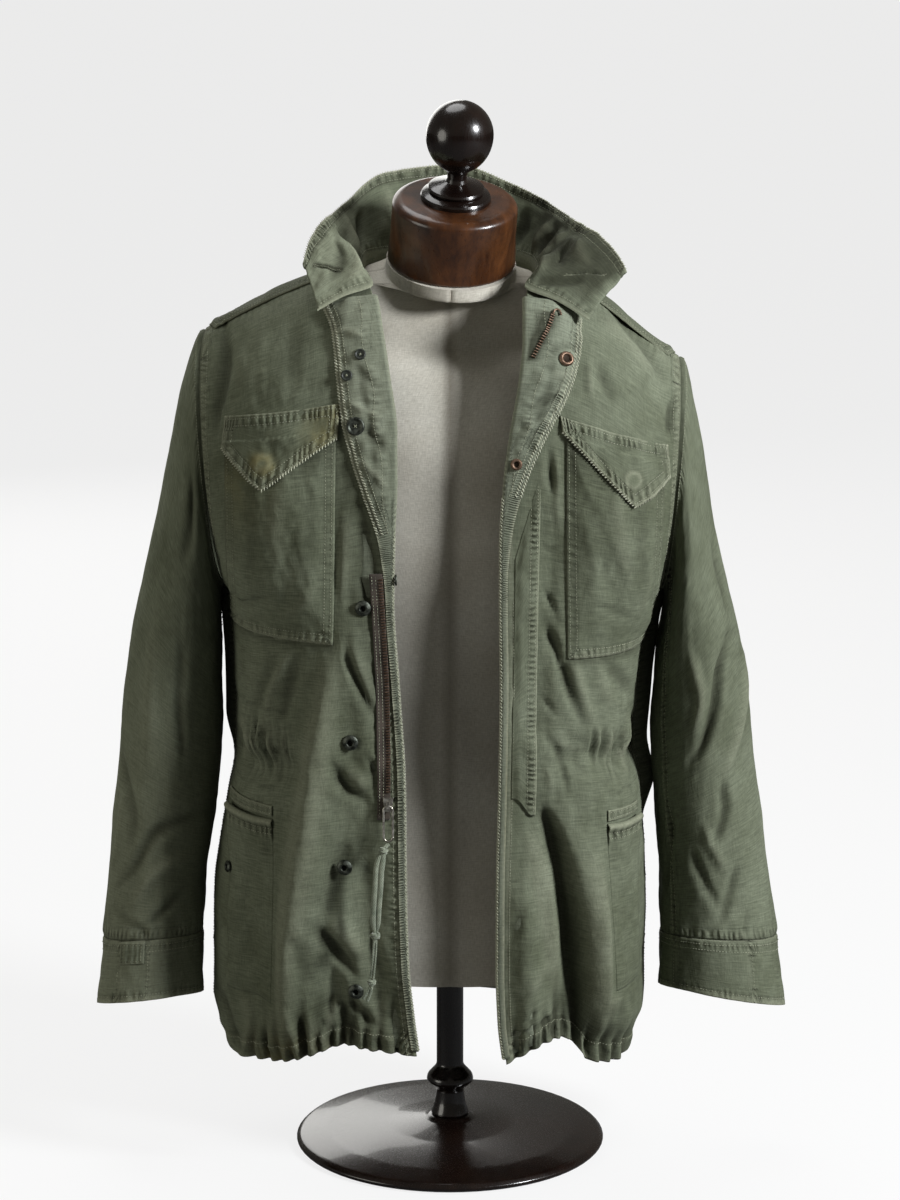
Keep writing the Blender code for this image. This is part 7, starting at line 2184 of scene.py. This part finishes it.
class FIELDJACKET_OT_straps(PieceOperator, bpy.types.Operator):
    """Make the shoulder straps, the zip's fly and the tab on the right cuff"""
    bl_idname = "fieldjacket.straps"
    bl_label = "Straps, fly and tab"

    def execute(self, context):
        for side in SIDES:
            self.shoulder_strap(side)
        self.fly()
        self.cuff_tab()
        return {"FINISHED"}

    def lay(self, name, stitching, grid, place, marks, outward, node, runs):
        """Lays a sheet on grid (u, v), stitched along runs: place gives points and ways out at a lift."""
        points = place(*grid)[0]
        thing = made_sheet(grid_piece(name, points, *marks), outward, self.own.pocket_wall, node)
        sewn(points, stitching, [place(*grids(*run), THREAD_LIFT) for run in runs])

    def shoulder_strap(self, side):
        """A strap along the shoulder seam: u from the neck to the armhole, v across it from front to back."""
        def rim(u, v):
            return np.minimum(np.minimum(v, 1 - v) * STRAP_WIDE, (1 - u) * STRAP_LONG)

        def place(u, v, lift=0.0):
            offset = (v - 0.5) * STRAP_LEVELS
            share = STRAP_START + (STRAP_STOP * (1 - 0.03 * abs(offset) * 24) - STRAP_START) * u
            level = 2.0 - np.abs(offset)
            points = np.where((offset < 0)[..., None], front_soft(side, level, share)[0],
                              back_base(side, level, share))
            lean = unit(np.stack([np.full(u.shape, SIDES[side] * 0.35), 0.25 * offset * 24,
                                  np.ones(u.shape)], -1))
            off = rim(u, v)
            rise = SEAT_GAP + POCKET + 0.0006 + edge_lift(off, u * STRAP_LONG, 141)
            ripple = 0.001 * swell(143, 0.035, u * STRAP_LONG, v * STRAP_WIDE) * ease(0.0, 0.008, off)
            return points + lean * (rise + ripple)[..., None] + lean * lift, lean

        grid = np.meshgrid(np.linspace(0, 1, 66), np.linspace(0, 1, 28))
        off = rim(*grid)
        t = np.linspace(0, 1, 120)
        runs = []
        for inset in (0.0034, 0.0095):
            a, b = inset / STRAP_WIDE, inset / STRAP_LONG
            runs += [(t * (1 - b), a), (t * (1 - b), 1 - a), (1 - b, a + (1 - 2 * a) * t)]
        self.lay(f"shoulder_strap_{side}", f"shoulder_strap_stitching_{side}", grid, place,
                 (0.4 * bell(off / 0.0018), 0.45 + 0.4 * bell((off - 0.009) / 0.0012)), toward(0, 0, 1),
                 f"epaulette_{side}", runs)

    def fly(self):
        """The strip that covers the zip: flush inside, gathered by two rows of stitches at its outer edge."""
        def drop(u):
            return FLY_DROP * ease(0.2, 0.9, u)

        def place(u, v, lift=0.0):
            out, z = corners_place(FLY_CORNERS, u, v, drop(u))
            off = (1 - u) * FLY_WIDE
            rise = (SEAT_GAP + POCKET) * ease(0.0, 0.35, u) * ease(0.0, 0.1, v)
            rise = rise - 0.0006 * (1 - ease(0.0, 0.0018, off))
            rise = rise - 0.0004 * bell((off - 0.0022) / 0.0009) - 0.0005 * bell((off - 0.0078) / 0.0011)
            rise = rise + gathers(z, off - 0.005, 0.0056, 0.0045, 153, 0.0009)[0]
            ripple = 0.0006 * swell(155, 0.02, u * FLY_WIDE, z) * ease(0.0, 0.4, u) * ease(0.0, 0.1, v)
            return on_front_places("left", out, z, rise + 0.0003 + ripple + lift)

        u, v = np.meshgrid(np.linspace(0, 1, 22), np.linspace(0, 1, 190))
        z = corners_place(FLY_CORNERS, u, v, drop(u))[1]
        off = (1 - u) * FLY_WIDE
        _, worn, murk = gathers(z, off - 0.005, 0.0056, 0.0032, 153, 0.0)
        wear_and_highlight = (0.45 * bell(off / 0.0014) + worn) * ease(0.02, 0.12, v)
        t = np.linspace(0.01, 0.985, 260)
        self.lay("fly_cloth_left", "fly_stitching_left", (u, v), place,
                 (wear_and_highlight, murk + 0.35 * bell((off - 0.0084) / 0.0011)), FORWARD, "fly_placket_left",
                 [(1 - inset / FLY_WIDE, t) for inset in (0.0078, 0.0022)])

    def cuff_tab(self):
        first, last, start, end = CUFF_TAB
        wide, high = 0.032, 0.024

        def rim(u, v):
            return np.minimum(np.minimum(u, 1 - u) * wide, np.minimum(v, 1 - v) * high)

        def place(u, v, lift=0.0):
            ring = first + (last - first) * v
            turn = np.radians(start + (end - start) * u)
            normal = sleeve_out("right", ring, turn)
            rise = SEAT_GAP + POCKET + 0.001 + edge_lift(rim(u, v), u * wide, 161, False)
            return sleeve_base("right", ring, turn) + normal * rise[..., None] + normal * lift, normal

        u, v = np.meshgrid(np.linspace(0, 1, 26), np.linspace(0, 1, 22))
        t = np.linspace(0.14, 0.86, 50)
        self.lay("cuff_tab_cloth", "cuff_tab_stitching", (u, v), place,
                 edge_marks(rim(u, v), u * wide, 161, 0.5), toward(-0.3, -1, 0), "cuff_tab_right",
                 [(t, 0.14), (t, 0.86), (0.12, t), (0.88, t)])


# --- Fastenings --------------------------------------------------------------------------------------------

def block(size, middle):
    """A block of a size about a middle."""
    nothing_selected()
    bpy.ops.mesh.primitive_cube_add(size=1.0, location=(0, 0, 0))
    thing = bpy.context.object
    for vert in thing.data.vertices:
        vert.co = tuple(value * span + shift for value, span, shift in zip(vert.co, size, middle))
    return thing


def scaled(profile, factor):
    return [(radius * factor, height * factor) for radius, height in profile]


class FIELDJACKET_OT_studs(PieceOperator, bpy.types.Operator):
    """Make the studs, snap rings and lining buttons"""
    bl_idname = "fieldjacket.studs"
    bl_label = "Studs, rings and buttons"

    def execute(self, context):
        for name, line, factor, finish in FASTENINGS:
            profile = rounded(scaled(line, factor), 0.0004 * factor)
            placement = node_placement(name)
            thing = turned(f"{name}_turned", profile, 40, placement)
            places = np.empty(len(thing.data.vertices) * 3, np.float32)
            thing.data.vertices.foreach_get("co", places)
            off = np.linalg.norm(places.reshape(-1, 3) - np.array(placement.translation), axis=1)
            # Marks the sunk middle, where the metal is painted near black.
            point_mark(thing.data, "grime_and_shade", off < 0.0032 * factor)
            finish_piece(thing, f"{name}_turned", looks()[finish], "root", [name])
            if line is BUTTON_LINE:
                self.thread_cross(name, factor)
        return {"FINISHED"}

    def thread_cross(self, name, factor):
        """Sewing thread that crosses the button's four holes."""
        placement = node_placement(name) @ Matrix.Translation((0, 0, 0.0018 * factor))
        made = [np.array(placement @ Matrix.Rotation(angle, 4, "Z")) for angle in (0.8, 2.37)]
        thing = repeated(f"{name}_thread", stitch_model(0.0042 * factor, 0.0009, 0.0006), made)
        finish_piece(thing, f"{name}_thread", looks()["thread"])


class FIELDJACKET_OT_zip(PieceOperator, bpy.types.Operator):
    """Make the zip: tape, both chains, slider and wire pull"""
    bl_idname = "fieldjacket.zip"
    bl_label = "Zip"

    def execute(self, context):
        self.tape()
        self.chain_right()
        self.chain_left()
        self.slider()
        self.pull()
        return {"FINISHED"}

    def tape(self):
        z, u = np.meshgrid(np.linspace(ZIP_TOP, ZIP_FOOT, 110), np.linspace(0, 1, 12), indexing="ij")
        offset = -CHAIN_WIDTH / 2 + TAPE_WIDTH * u
        rise = 2 * SEAT_GAP + TAPE_THICK + 0.0003 * swell(171, 0.02, offset, z)
        rise = rise + 0.0004 * pucker(z, offset - 0.007, 0.009, 0.004, 173)
        points, _ = on_front_places("right", CHAIN(z)[..., 0] + offset, z, rise)
        thing = made_sheet(grid_piece("zip_tape_cloth", points, 0.35 * bell((u - 1.0) / 0.08)), FORWARD,
                           TAPE_THICK - 0.0001, "zip_tape_right", "tape")
        fine = np.linspace(ZIP_TOP - 0.002, ZIP_FOOT + 0.002, 300)
        lift = 2 * SEAT_GAP + TAPE_THICK + THREAD_LIFT
        runs = [on_front_places("right", CHAIN(fine)[..., 0] + off, fine, lift) for off in (0.0045, 0.008)]
        sewn(points, "zip_tape_stitching", runs)

    def tooth(self):
        """One tooth: a block that narrows to a rounded head, with its jaws round the tape."""
        thing = block((0.0015, 0.004, 0.0019), (0, 0, 0))
        for vert in thing.data.vertices:
            if vert.co.y < 0:
                vert.co.x *= 0.62
                vert.co.z *= 0.8
        return edited(thing, lambda: bpy.ops.mesh.bevel(offset=0.0003, segments=1, affect="EDGES"))

    def chain(self, name, points, ways, node):
        thing = repeated(name, self.tooth(), frames_of(*resampled(points, ways, self.own.tooth_pitch)))
        finish_piece(thing, name, looks()["copper"], "root", [node])

    def chain_right(self):
        z = np.linspace(ZIP_TOP - 0.004, CHAIN_FOOT, 400)
        lift = 3 * SEAT_GAP + TAPE_THICK + GAP
        points, ways = on_front_places("right", CHAIN(z)[..., 0], z, lift)
        self.chain("zip_teeth_right", points, ways, "zip_chain_right")

    def chain_left(self):
        level = np.linspace(FACING_CHAIN[0][0], FACING_CHAIN[-1][0], 120)
        points, ways = lapel_face("left", level, CHAIN_LEFT(level)[..., 0], 0.0008)
        self.chain("zip_teeth_left", points, ways, "zip_chain_left")
        bend = np.array(((1.764, 0.395), (1.774, 0.41), (1.779, 0.46), (1.776, 0.51), (1.768, 0.53)))
        line = smooth_line(lapel_face("left", bend[:, 0], bend[:, 1], 0.0018)[0], 5)
        finish_piece(tube("zip_hook", line, 0.0009, 8), "zip_hook", looks()["copper"])

    def slider(self):
        """The slider's body: two plates on a neck, with the bridge that holds its pull."""
        parts = []
        for low, high in ((0.0, 0.0013), (0.0027, 0.004)):
            plate = block((0.0095, 0.0125, 1.0), (0, 0, 0))
            for vert in plate.data.vertices:
                vert.co.x *= 0.7 if vert.co.y < 0 else 1.0
                vert.co.z = low if vert.co.z < 0 else high
            parts.append(plate)
        parts += [block(size, middle) for size, middle in (
            ((0.003, 0.0105, 0.0016), (0, 0.0003, 0.002)), ((0.003, 0.007, 0.0011), (0, 0.0, 0.0056)),
            ((0.003, 0.0012, 0.0018), (0, 0.003, 0.0045)), ((0.003, 0.0012, 0.0018), (0, -0.003, 0.0045)),
        )]
        thing = edited(joined(parts), lambda: bpy.ops.mesh.bevel(offset=0.00035, segments=2, affect="EDGES"))
        set_down(thing, node_placement("zip_slider"))
        finish_piece(thing, "slider_body", looks()["steel"], "root", ["zip_slider"])

    def pull(self):
        """A closed loop of wire with a flattened grip at its foot."""
        low, high = (np.array(corner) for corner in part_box("zip_pull"))
        top = high[2] - 0.0011
        foot = low[2] + 0.0011
        x, y = (low[0] + high[0]) / 2, (low[1] + high[1]) / 2
        half = 0.00425
        turn = np.linspace(0, math.tau, 73)
        px = half * np.cos(turn)
        pz = half * np.sin(turn)
        line = np.stack([x + px, y + 0 * px, np.where(pz > 0, top - half + pz, foot + half + pz)], -1)
        line = resampled(line, line * 0 + (0, -1, 0), 0.0011)[0]
        line = np.concatenate([line, line[:1]])
        thing = tube("pull_wire", line, 0.00105, 10)
        finish_piece(thing, "pull_wire", looks()["steel"], "pull", ["zip_pull"])


class FIELDJACKET_OT_cord(PieceOperator, bpy.types.Operator):
    """Make the cord that hangs from the zip's pull, with its three knots"""
    bl_idname = "fieldjacket.cord"
    bl_label = "Pull cord"

    def execute(self, context):
        route = smooth_line(CORD_ROUTE, 14)
        run = lengths_along(route, 0)
        share = run / run[-1]
        middle = CORD_KNOTS[1][1]
        body = ease(0.02, 0.14, share) * (1 - ease(middle - 0.1, middle, share))
        tail = ease(middle, middle + 0.08, share) * (1 - ease(0.84, 0.88, share))
        free = ease(0.885, 1.0, share)
        offset = 0.0006 + 0.0018 * body + 0.0006 * tail + 0.0013 * free
        strands = []
        for k, sign in enumerate((-1.0, 1.0)):
            line = route.copy()
            line[:, 0] += sign * offset
            line[:, 1] -= sign * 0.0004 * np.sin(share * 9.0)
            line[:, 2] -= 0.002 * free * (k == 1)
            radius = 0.00135 + 0.00135 * body - 0.00025 * tail
            strands.append(tube(f"strand_{k}", line, radius, 12, squash=0.72))
        cord = joined(strands)
        finish_piece(cord, "cord_strands", looks()["cord"], "pull", ["pull_cord"])
        knots = [self.knot(name, route, share, place, radius) for name, place, radius in CORD_KNOTS]
        return {"FINISHED"}

    def knot(self, name, route, share, place, radius):
        """An overhand knot: a cord that winds round itself three times."""
        at = np.array([np.interp(place, share, route[:, i]) for i in range(3)])
        ahead = np.array([np.interp(place + 0.02, share, route[:, i]) for i in range(3)])
        turn = np.linspace(0, math.tau, 91)
        ring = 1.0 + 0.36 * np.cos(3 * turn)
        flat = np.stack([ring * np.cos(2 * turn), ring * np.sin(2 * turn), 0.62 * np.sin(3 * turn)], -1)
        flat = flat * (radius * 0.6)
        place = np.array(along_axis(at, ahead - at))
        line = flat @ place[:3, :3].T + at
        thing = tube(f"{name}_tied", line, radius * 0.36, 10)
        return finish_piece(thing, f"{name}_tied", looks()["cord"], "pull", [name])


# --- Dress form --------------------------------------------------------------------------------------------

class FIELDJACKET_OT_form(PieceOperator, bpy.types.Operator):
    """Make the dress form: linen torso, burl cap, finial, pole and base"""
    bl_idname = "fieldjacket.form"
    bl_label = "Dress form"

    def execute(self, context):
        self.torso()
        self.cap()
        self.finial()
        self.stand()
        return {"FINISHED"}

    def cap_axis(self):
        return Vector((math.sin(CAP_LEAN), -math.sin(CAP_FORWARD), math.cos(CAP_FORWARD))).normalized()

    def ridge(self, side, z):
        """How wide the shoulders may be at a height, just inside the jacket."""
        middle = np.linspace(0, 1, 400)
        heights = front_base(side, np.full(400, 2.0), middle)
        room = heights[:, 2] - WALL - FORM_CLEAR > z
        last = max(0, np.argmin(room) - 1) if not room.all() else 399
        return min(SHOULDER_WIDTH, abs(heights[last, 0]))

    def torso(self):
        columns = 145
        angle = np.linspace(0, math.tau, columns)
        c, s = np.cos(angle), np.sin(angle)

        def ring(z, right, left, front, back, squareness):
            power = 2 / squareness
            x = np.sign(c) * abs(c) ** power * np.where(c > 0, left, right)
            y = np.sign(s) * abs(s) ** power * np.where(s > 0, back, -front)
            return np.stack([x, y, np.full(columns, z)], -1)

        rings = [ring(*row) for row in TORSO]
        for z in TORSO_RIDGE_LEVELS:
            share = (z - 0.77) / (0.86 - 0.77)
            depth = 0.068 - 0.026 * share
            rings.append(ring(z, self.ridge("right", z), self.ridge("left", z), -depth, depth * 0.9, 2.0))
        axis = np.array(self.cap_axis())
        top = np.array(CAP_TOP) - axis * (CAP_HEIGHT + GAP)
        for drop, radius in ((0.012, NECK_RADIUS + 0.001), (0.0, NECK_RADIUS)):
            flat = np.stack([c * radius, s * radius, 0 * c], -1)
            flat[:, 2] = -(axis[0] * flat[:, 0] + axis[1] * flat[:, 1]) / axis[2]
            rings.append(top - axis * drop + flat)
        rings = np.array(rings)
        run = np.arange(len(rings), dtype=float)
        reader = table(np.concatenate([run[:, None], rings.reshape(len(rings), -1)], 1))
        rows = 110
        points = reader(np.linspace(0, len(rings) - 1, rows)).reshape(rows, columns, 3)
        seams = np.zeros((rows, columns))
        for degrees in FORM_SEAMS:
            off = abs(angle - math.radians(degrees))
            seams += bell(np.minimum(off, math.tau - off) * 0.14 / 0.0016)[None, :]
        outward = unit(points * (1, 1, 0))
        points = points - outward * (0.0012 * seams + 0.0004)[..., None]
        thing = grid_piece("form_linen", points, grime_and_shade=0.55 * seams)
        mesh = bpy.ops.mesh
        edited(weld(thing, 0.00002), lambda: mesh.select_all(action="DESELECT"),
               lambda: mesh.select_mode(type="EDGE"), mesh.select_non_manifold, mesh.edge_face_add,
               lambda: mesh.select_all(action="SELECT"), lambda: mesh.normals_make_consistent(inside=False))
        bpy.ops.object.shade_smooth_by_angle(angle=math.radians(40))
        finish_piece(thing, "form_linen", looks()["linen"], "root", ["form_torso"])

    def cap(self):
        wide, rim, foot = CAP_RADIUS, 0.006, -CAP_HEIGHT
        profile = [(0.0, 0.0012), (wide * 0.5, 0.001), (wide - rim, 0.0), (wide, -rim * 0.7),
                   (wide, foot * 0.55), (wide + 0.0012, foot * 0.9), (wide + 0.0015, foot), (0.0, foot)]
        thing = turned("cap_turned", rounded(profile, 0.0035, 6), self.own.turn_steps,
                       along_axis(CAP_TOP, self.cap_axis()), 50.0)
        finish_piece(thing, "cap_turned", looks()["burl"], "root", ["neck_cap"])

    def finial(self):
        ball = FINIAL_RADIUS
        profile = [(0.0, 0.096)]
        steps = 26
        for i in range(1, steps):
            angle = math.pi * i / steps * 0.88
            stretch = 0.032 if angle < math.pi / 2 else 0.036
            profile.append((ball * math.sin(angle), 0.064 + stretch * math.cos(angle)))
        profile += [(0.0102, 0.0285), (0.0092, 0.025), (0.009, 0.0215), (0.0104, 0.0185), (0.015, 0.0165),
                    (0.0225, 0.0145), (0.0255, 0.013), (0.0265, 0.0112), (0.0258, 0.0095), (0.0245, 0.0086),
                    (0.0285, 0.0074), (0.0315, 0.0058), (0.0326, 0.004), (0.0325, 0.002), (0.0325, GAP),
                    (0.0, GAP)]
        thing = turned("finial_turned", profile, self.own.turn_steps,
                       along_axis(CAP_TOP, self.cap_axis()), 28.0)
        finish_piece(thing, "finial_turned", looks()["ebony"], "root", ["finial"])

    def stand(self):
        bottom, height = TORSO[0][0], STAND_BASE_HEIGHT
        profile = [(0.0, height), (0.02, height), (0.024, height - 0.003), (0.06, height - 0.008),
                   (0.12, height - 0.013), (STAND_BASE_RADIUS - 0.004, height - 0.017),
                   (STAND_BASE_RADIUS, height - 0.021), (STAND_BASE_RADIUS, 0.003),
                   (STAND_BASE_RADIUS - 0.003, 0.0), (0.0, 0.0)]
        level = Matrix.Identity(4)
        base = turned("base_turned", rounded(profile, 0.003, 5), self.own.turn_steps, level)
        finish_piece(base, "base_turned", looks()["ebony"], "root", ["stand_base"])
        pole, top, foot = STAND_POLE_RADIUS, bottom - GAP, height + GAP
        profile = [(0.0, top), (0.034, top), (0.036, top - 0.004), (0.03, top - 0.009), (pole, top - 0.016),
                   (pole, foot + 0.05), (pole + 0.009, foot + 0.04), (pole + 0.01, foot + 0.034),
                   (pole, foot + 0.026), (pole + 0.002, foot + 0.012), (pole + 0.006, foot), (0.0, foot)]
        thing = turned("pole_turned", rounded(profile, 0.003, 5), 48, level)
        finish_piece(thing, "pole_turned", looks()["ebony"], "root", ["stand_pole"])


# --- Stage -------------------------------------------------------------------------------------------------

class FIELDJACKET_OT_stage(PieceOperator, bpy.types.Operator):
    """Set up the floor, the lights and the camera"""
    bl_idname = "fieldjacket.stage"
    bl_label = "Floor, lights and camera"

    def execute(self, context):
        nothing_selected()
        bpy.ops.mesh.primitive_plane_add(size=1.0, location=(0, 0, 0))
        floor = bpy.context.object
        for vert in floor.data.vertices:
            vert.co = (vert.co.x * FLOOR_SPAN, vert.co.y * FLOOR_SPAN, -0.0005)
        floor.name = "studio_floor"
        floor.data.materials.append(paper_look("studio_paper", (0.13, 0.13, 0.13)))
        self.light("key_light", (2.7, -1.6, 2.0), (0.0, 0.0, 0.62), 0.8, 170.0, (0.98, 1.0, 1.03))
        self.light("fill_light", (-3.1, -1.6, 0.85), (0.0, 0.0, 0.5), 2.0, 32.0, (1.0, 0.97, 0.88))
        self.light("back_light", (-0.9, 3.0, 1.6), (0.0, 0.0, 0.5), 2.2, 30.0, (1.0, 0.99, 0.96))
        self.light("top_light", (-0.3, 0.5, 2.7), (0.0, 0.0, 0.6), 1.4, 18.0, (1.0, 1.0, 1.0))
        world = bpy.data.worlds.new("studio") if not context.scene.world else context.scene.world
        context.scene.world = world
        world.use_nodes = True
        dim = world.node_tree.nodes["Background"].inputs
        dim["Color"].default_value, dim["Strength"].default_value = (1.0, 0.965, 0.86, 1.0), 0.12
        self.backdrop(world.node_tree)
        context.scene.view_settings.view_transform = "Standard"
        self.camera(context)
        return {"FINISHED"}

    def backdrop(self, tree):
        """Past the floor the room is as pale as the floor, without lighting the jacket more."""
        dim = tree.nodes["Background"]
        pale = tree.nodes.new("ShaderNodeBackground")
        pale.inputs["Color"].default_value = (0.84, 0.84, 0.84, 1.0)
        ray = tree.nodes.new("ShaderNodeLightPath")
        blend = tree.nodes.new("ShaderNodeMixShader")
        tree.links.new(ray.outputs["Is Camera Ray"], blend.inputs[0])
        tree.links.new(dim.outputs[0], blend.inputs[1])
        tree.links.new(pale.outputs[0], blend.inputs[2])
        tree.links.new(blend.outputs[0], tree.nodes["World Output"].inputs["Surface"])

    def light(self, name, place, target, size, power, colour):
        nothing_selected()
        bpy.ops.object.light_add(type="AREA", location=place)
        lamp = bpy.context.object
        lamp.name = name
        lamp.data.shape = "DISK"
        lamp.data.size, lamp.data.energy, lamp.data.color = size, power, colour
        lamp.rotation_euler = (Vector(target) - Vector(place)).to_track_quat("-Z", "Y").to_euler()

    def camera(self, context):
        place = CAMERA_TARGET + CAMERA_AWAY * Vector((0.0, -math.cos(CAMERA_LIFT), math.sin(CAMERA_LIFT)))
        nothing_selected()
        bpy.ops.object.camera_add(location=place)
        camera = bpy.context.object
        camera.name = "front_camera"
        camera.rotation_euler = (CAMERA_TARGET - place).to_track_quat("-Z", "Y").to_euler()
        camera.data.sensor_width = 36.0
        camera.data.sensor_fit = "AUTO"
        camera.data.lens = self.own.lens
        context.scene.camera = camera


OPERATORS = (
    FIELDJACKET_OT_stage,
    FIELDJACKET_OT_cord,
    FIELDJACKET_OT_form,
    FIELDJACKET_OT_back,
    FIELDJACKET_OT_fronts,
    FIELDJACKET_OT_sleeves,
    FIELDJACKET_OT_facings,
    FIELDJACKET_OT_collar,
    FIELDJACKET_OT_pockets,
    FIELDJACKET_OT_straps,
    FIELDJACKET_OT_studs,
    FIELDJACKET_OT_zip,
)


class FIELDJACKET_PT_panel(bpy.types.Panel):
    """Sizes, colours and pieces of the field jacket"""
    bl_idname = "FIELDJACKET_PT_panel"
    bl_label = "Field Jacket"
    bl_space_type = "VIEW_3D"
    bl_region_type = "UI"
    bl_category = "Field Jacket"

    def draw(self, context):
        own = context.scene.field_jacket
        column = self.layout.column(align=True)
        for name in FieldJacketSettings.__annotations__:
            column.prop(own, name)
        column = self.layout.column(align=True)
        for operator in OPERATORS:
            column.operator(operator.bl_idname, text=operator.bl_label)


CLASSES = (FieldJacketSettings, *OPERATORS, FIELDJACKET_PT_panel)


def register():
    for cls in CLASSES:
        bpy.utils.register_class(cls)
    bpy.types.Scene.field_jacket = PointerProperty(type=FieldJacketSettings)


def unregister():
    del bpy.types.Scene.field_jacket
    for cls in reversed(CLASSES):
        bpy.utils.unregister_class(cls)


def main():
    register()
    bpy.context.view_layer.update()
    bpy.ops.fieldjacket.stage()
    bpy.ops.fieldjacket.cord()
    bpy.ops.fieldjacket.form()
    bpy.ops.fieldjacket.back()
    bpy.ops.fieldjacket.fronts()
    bpy.ops.fieldjacket.sleeves()
    bpy.ops.fieldjacket.facings()
    bpy.ops.fieldjacket.collar()
    bpy.ops.fieldjacket.pockets()
    bpy.ops.fieldjacket.straps()
    bpy.ops.fieldjacket.studs()
    bpy.ops.fieldjacket.zip()


if __name__ == "__main__":
    main()
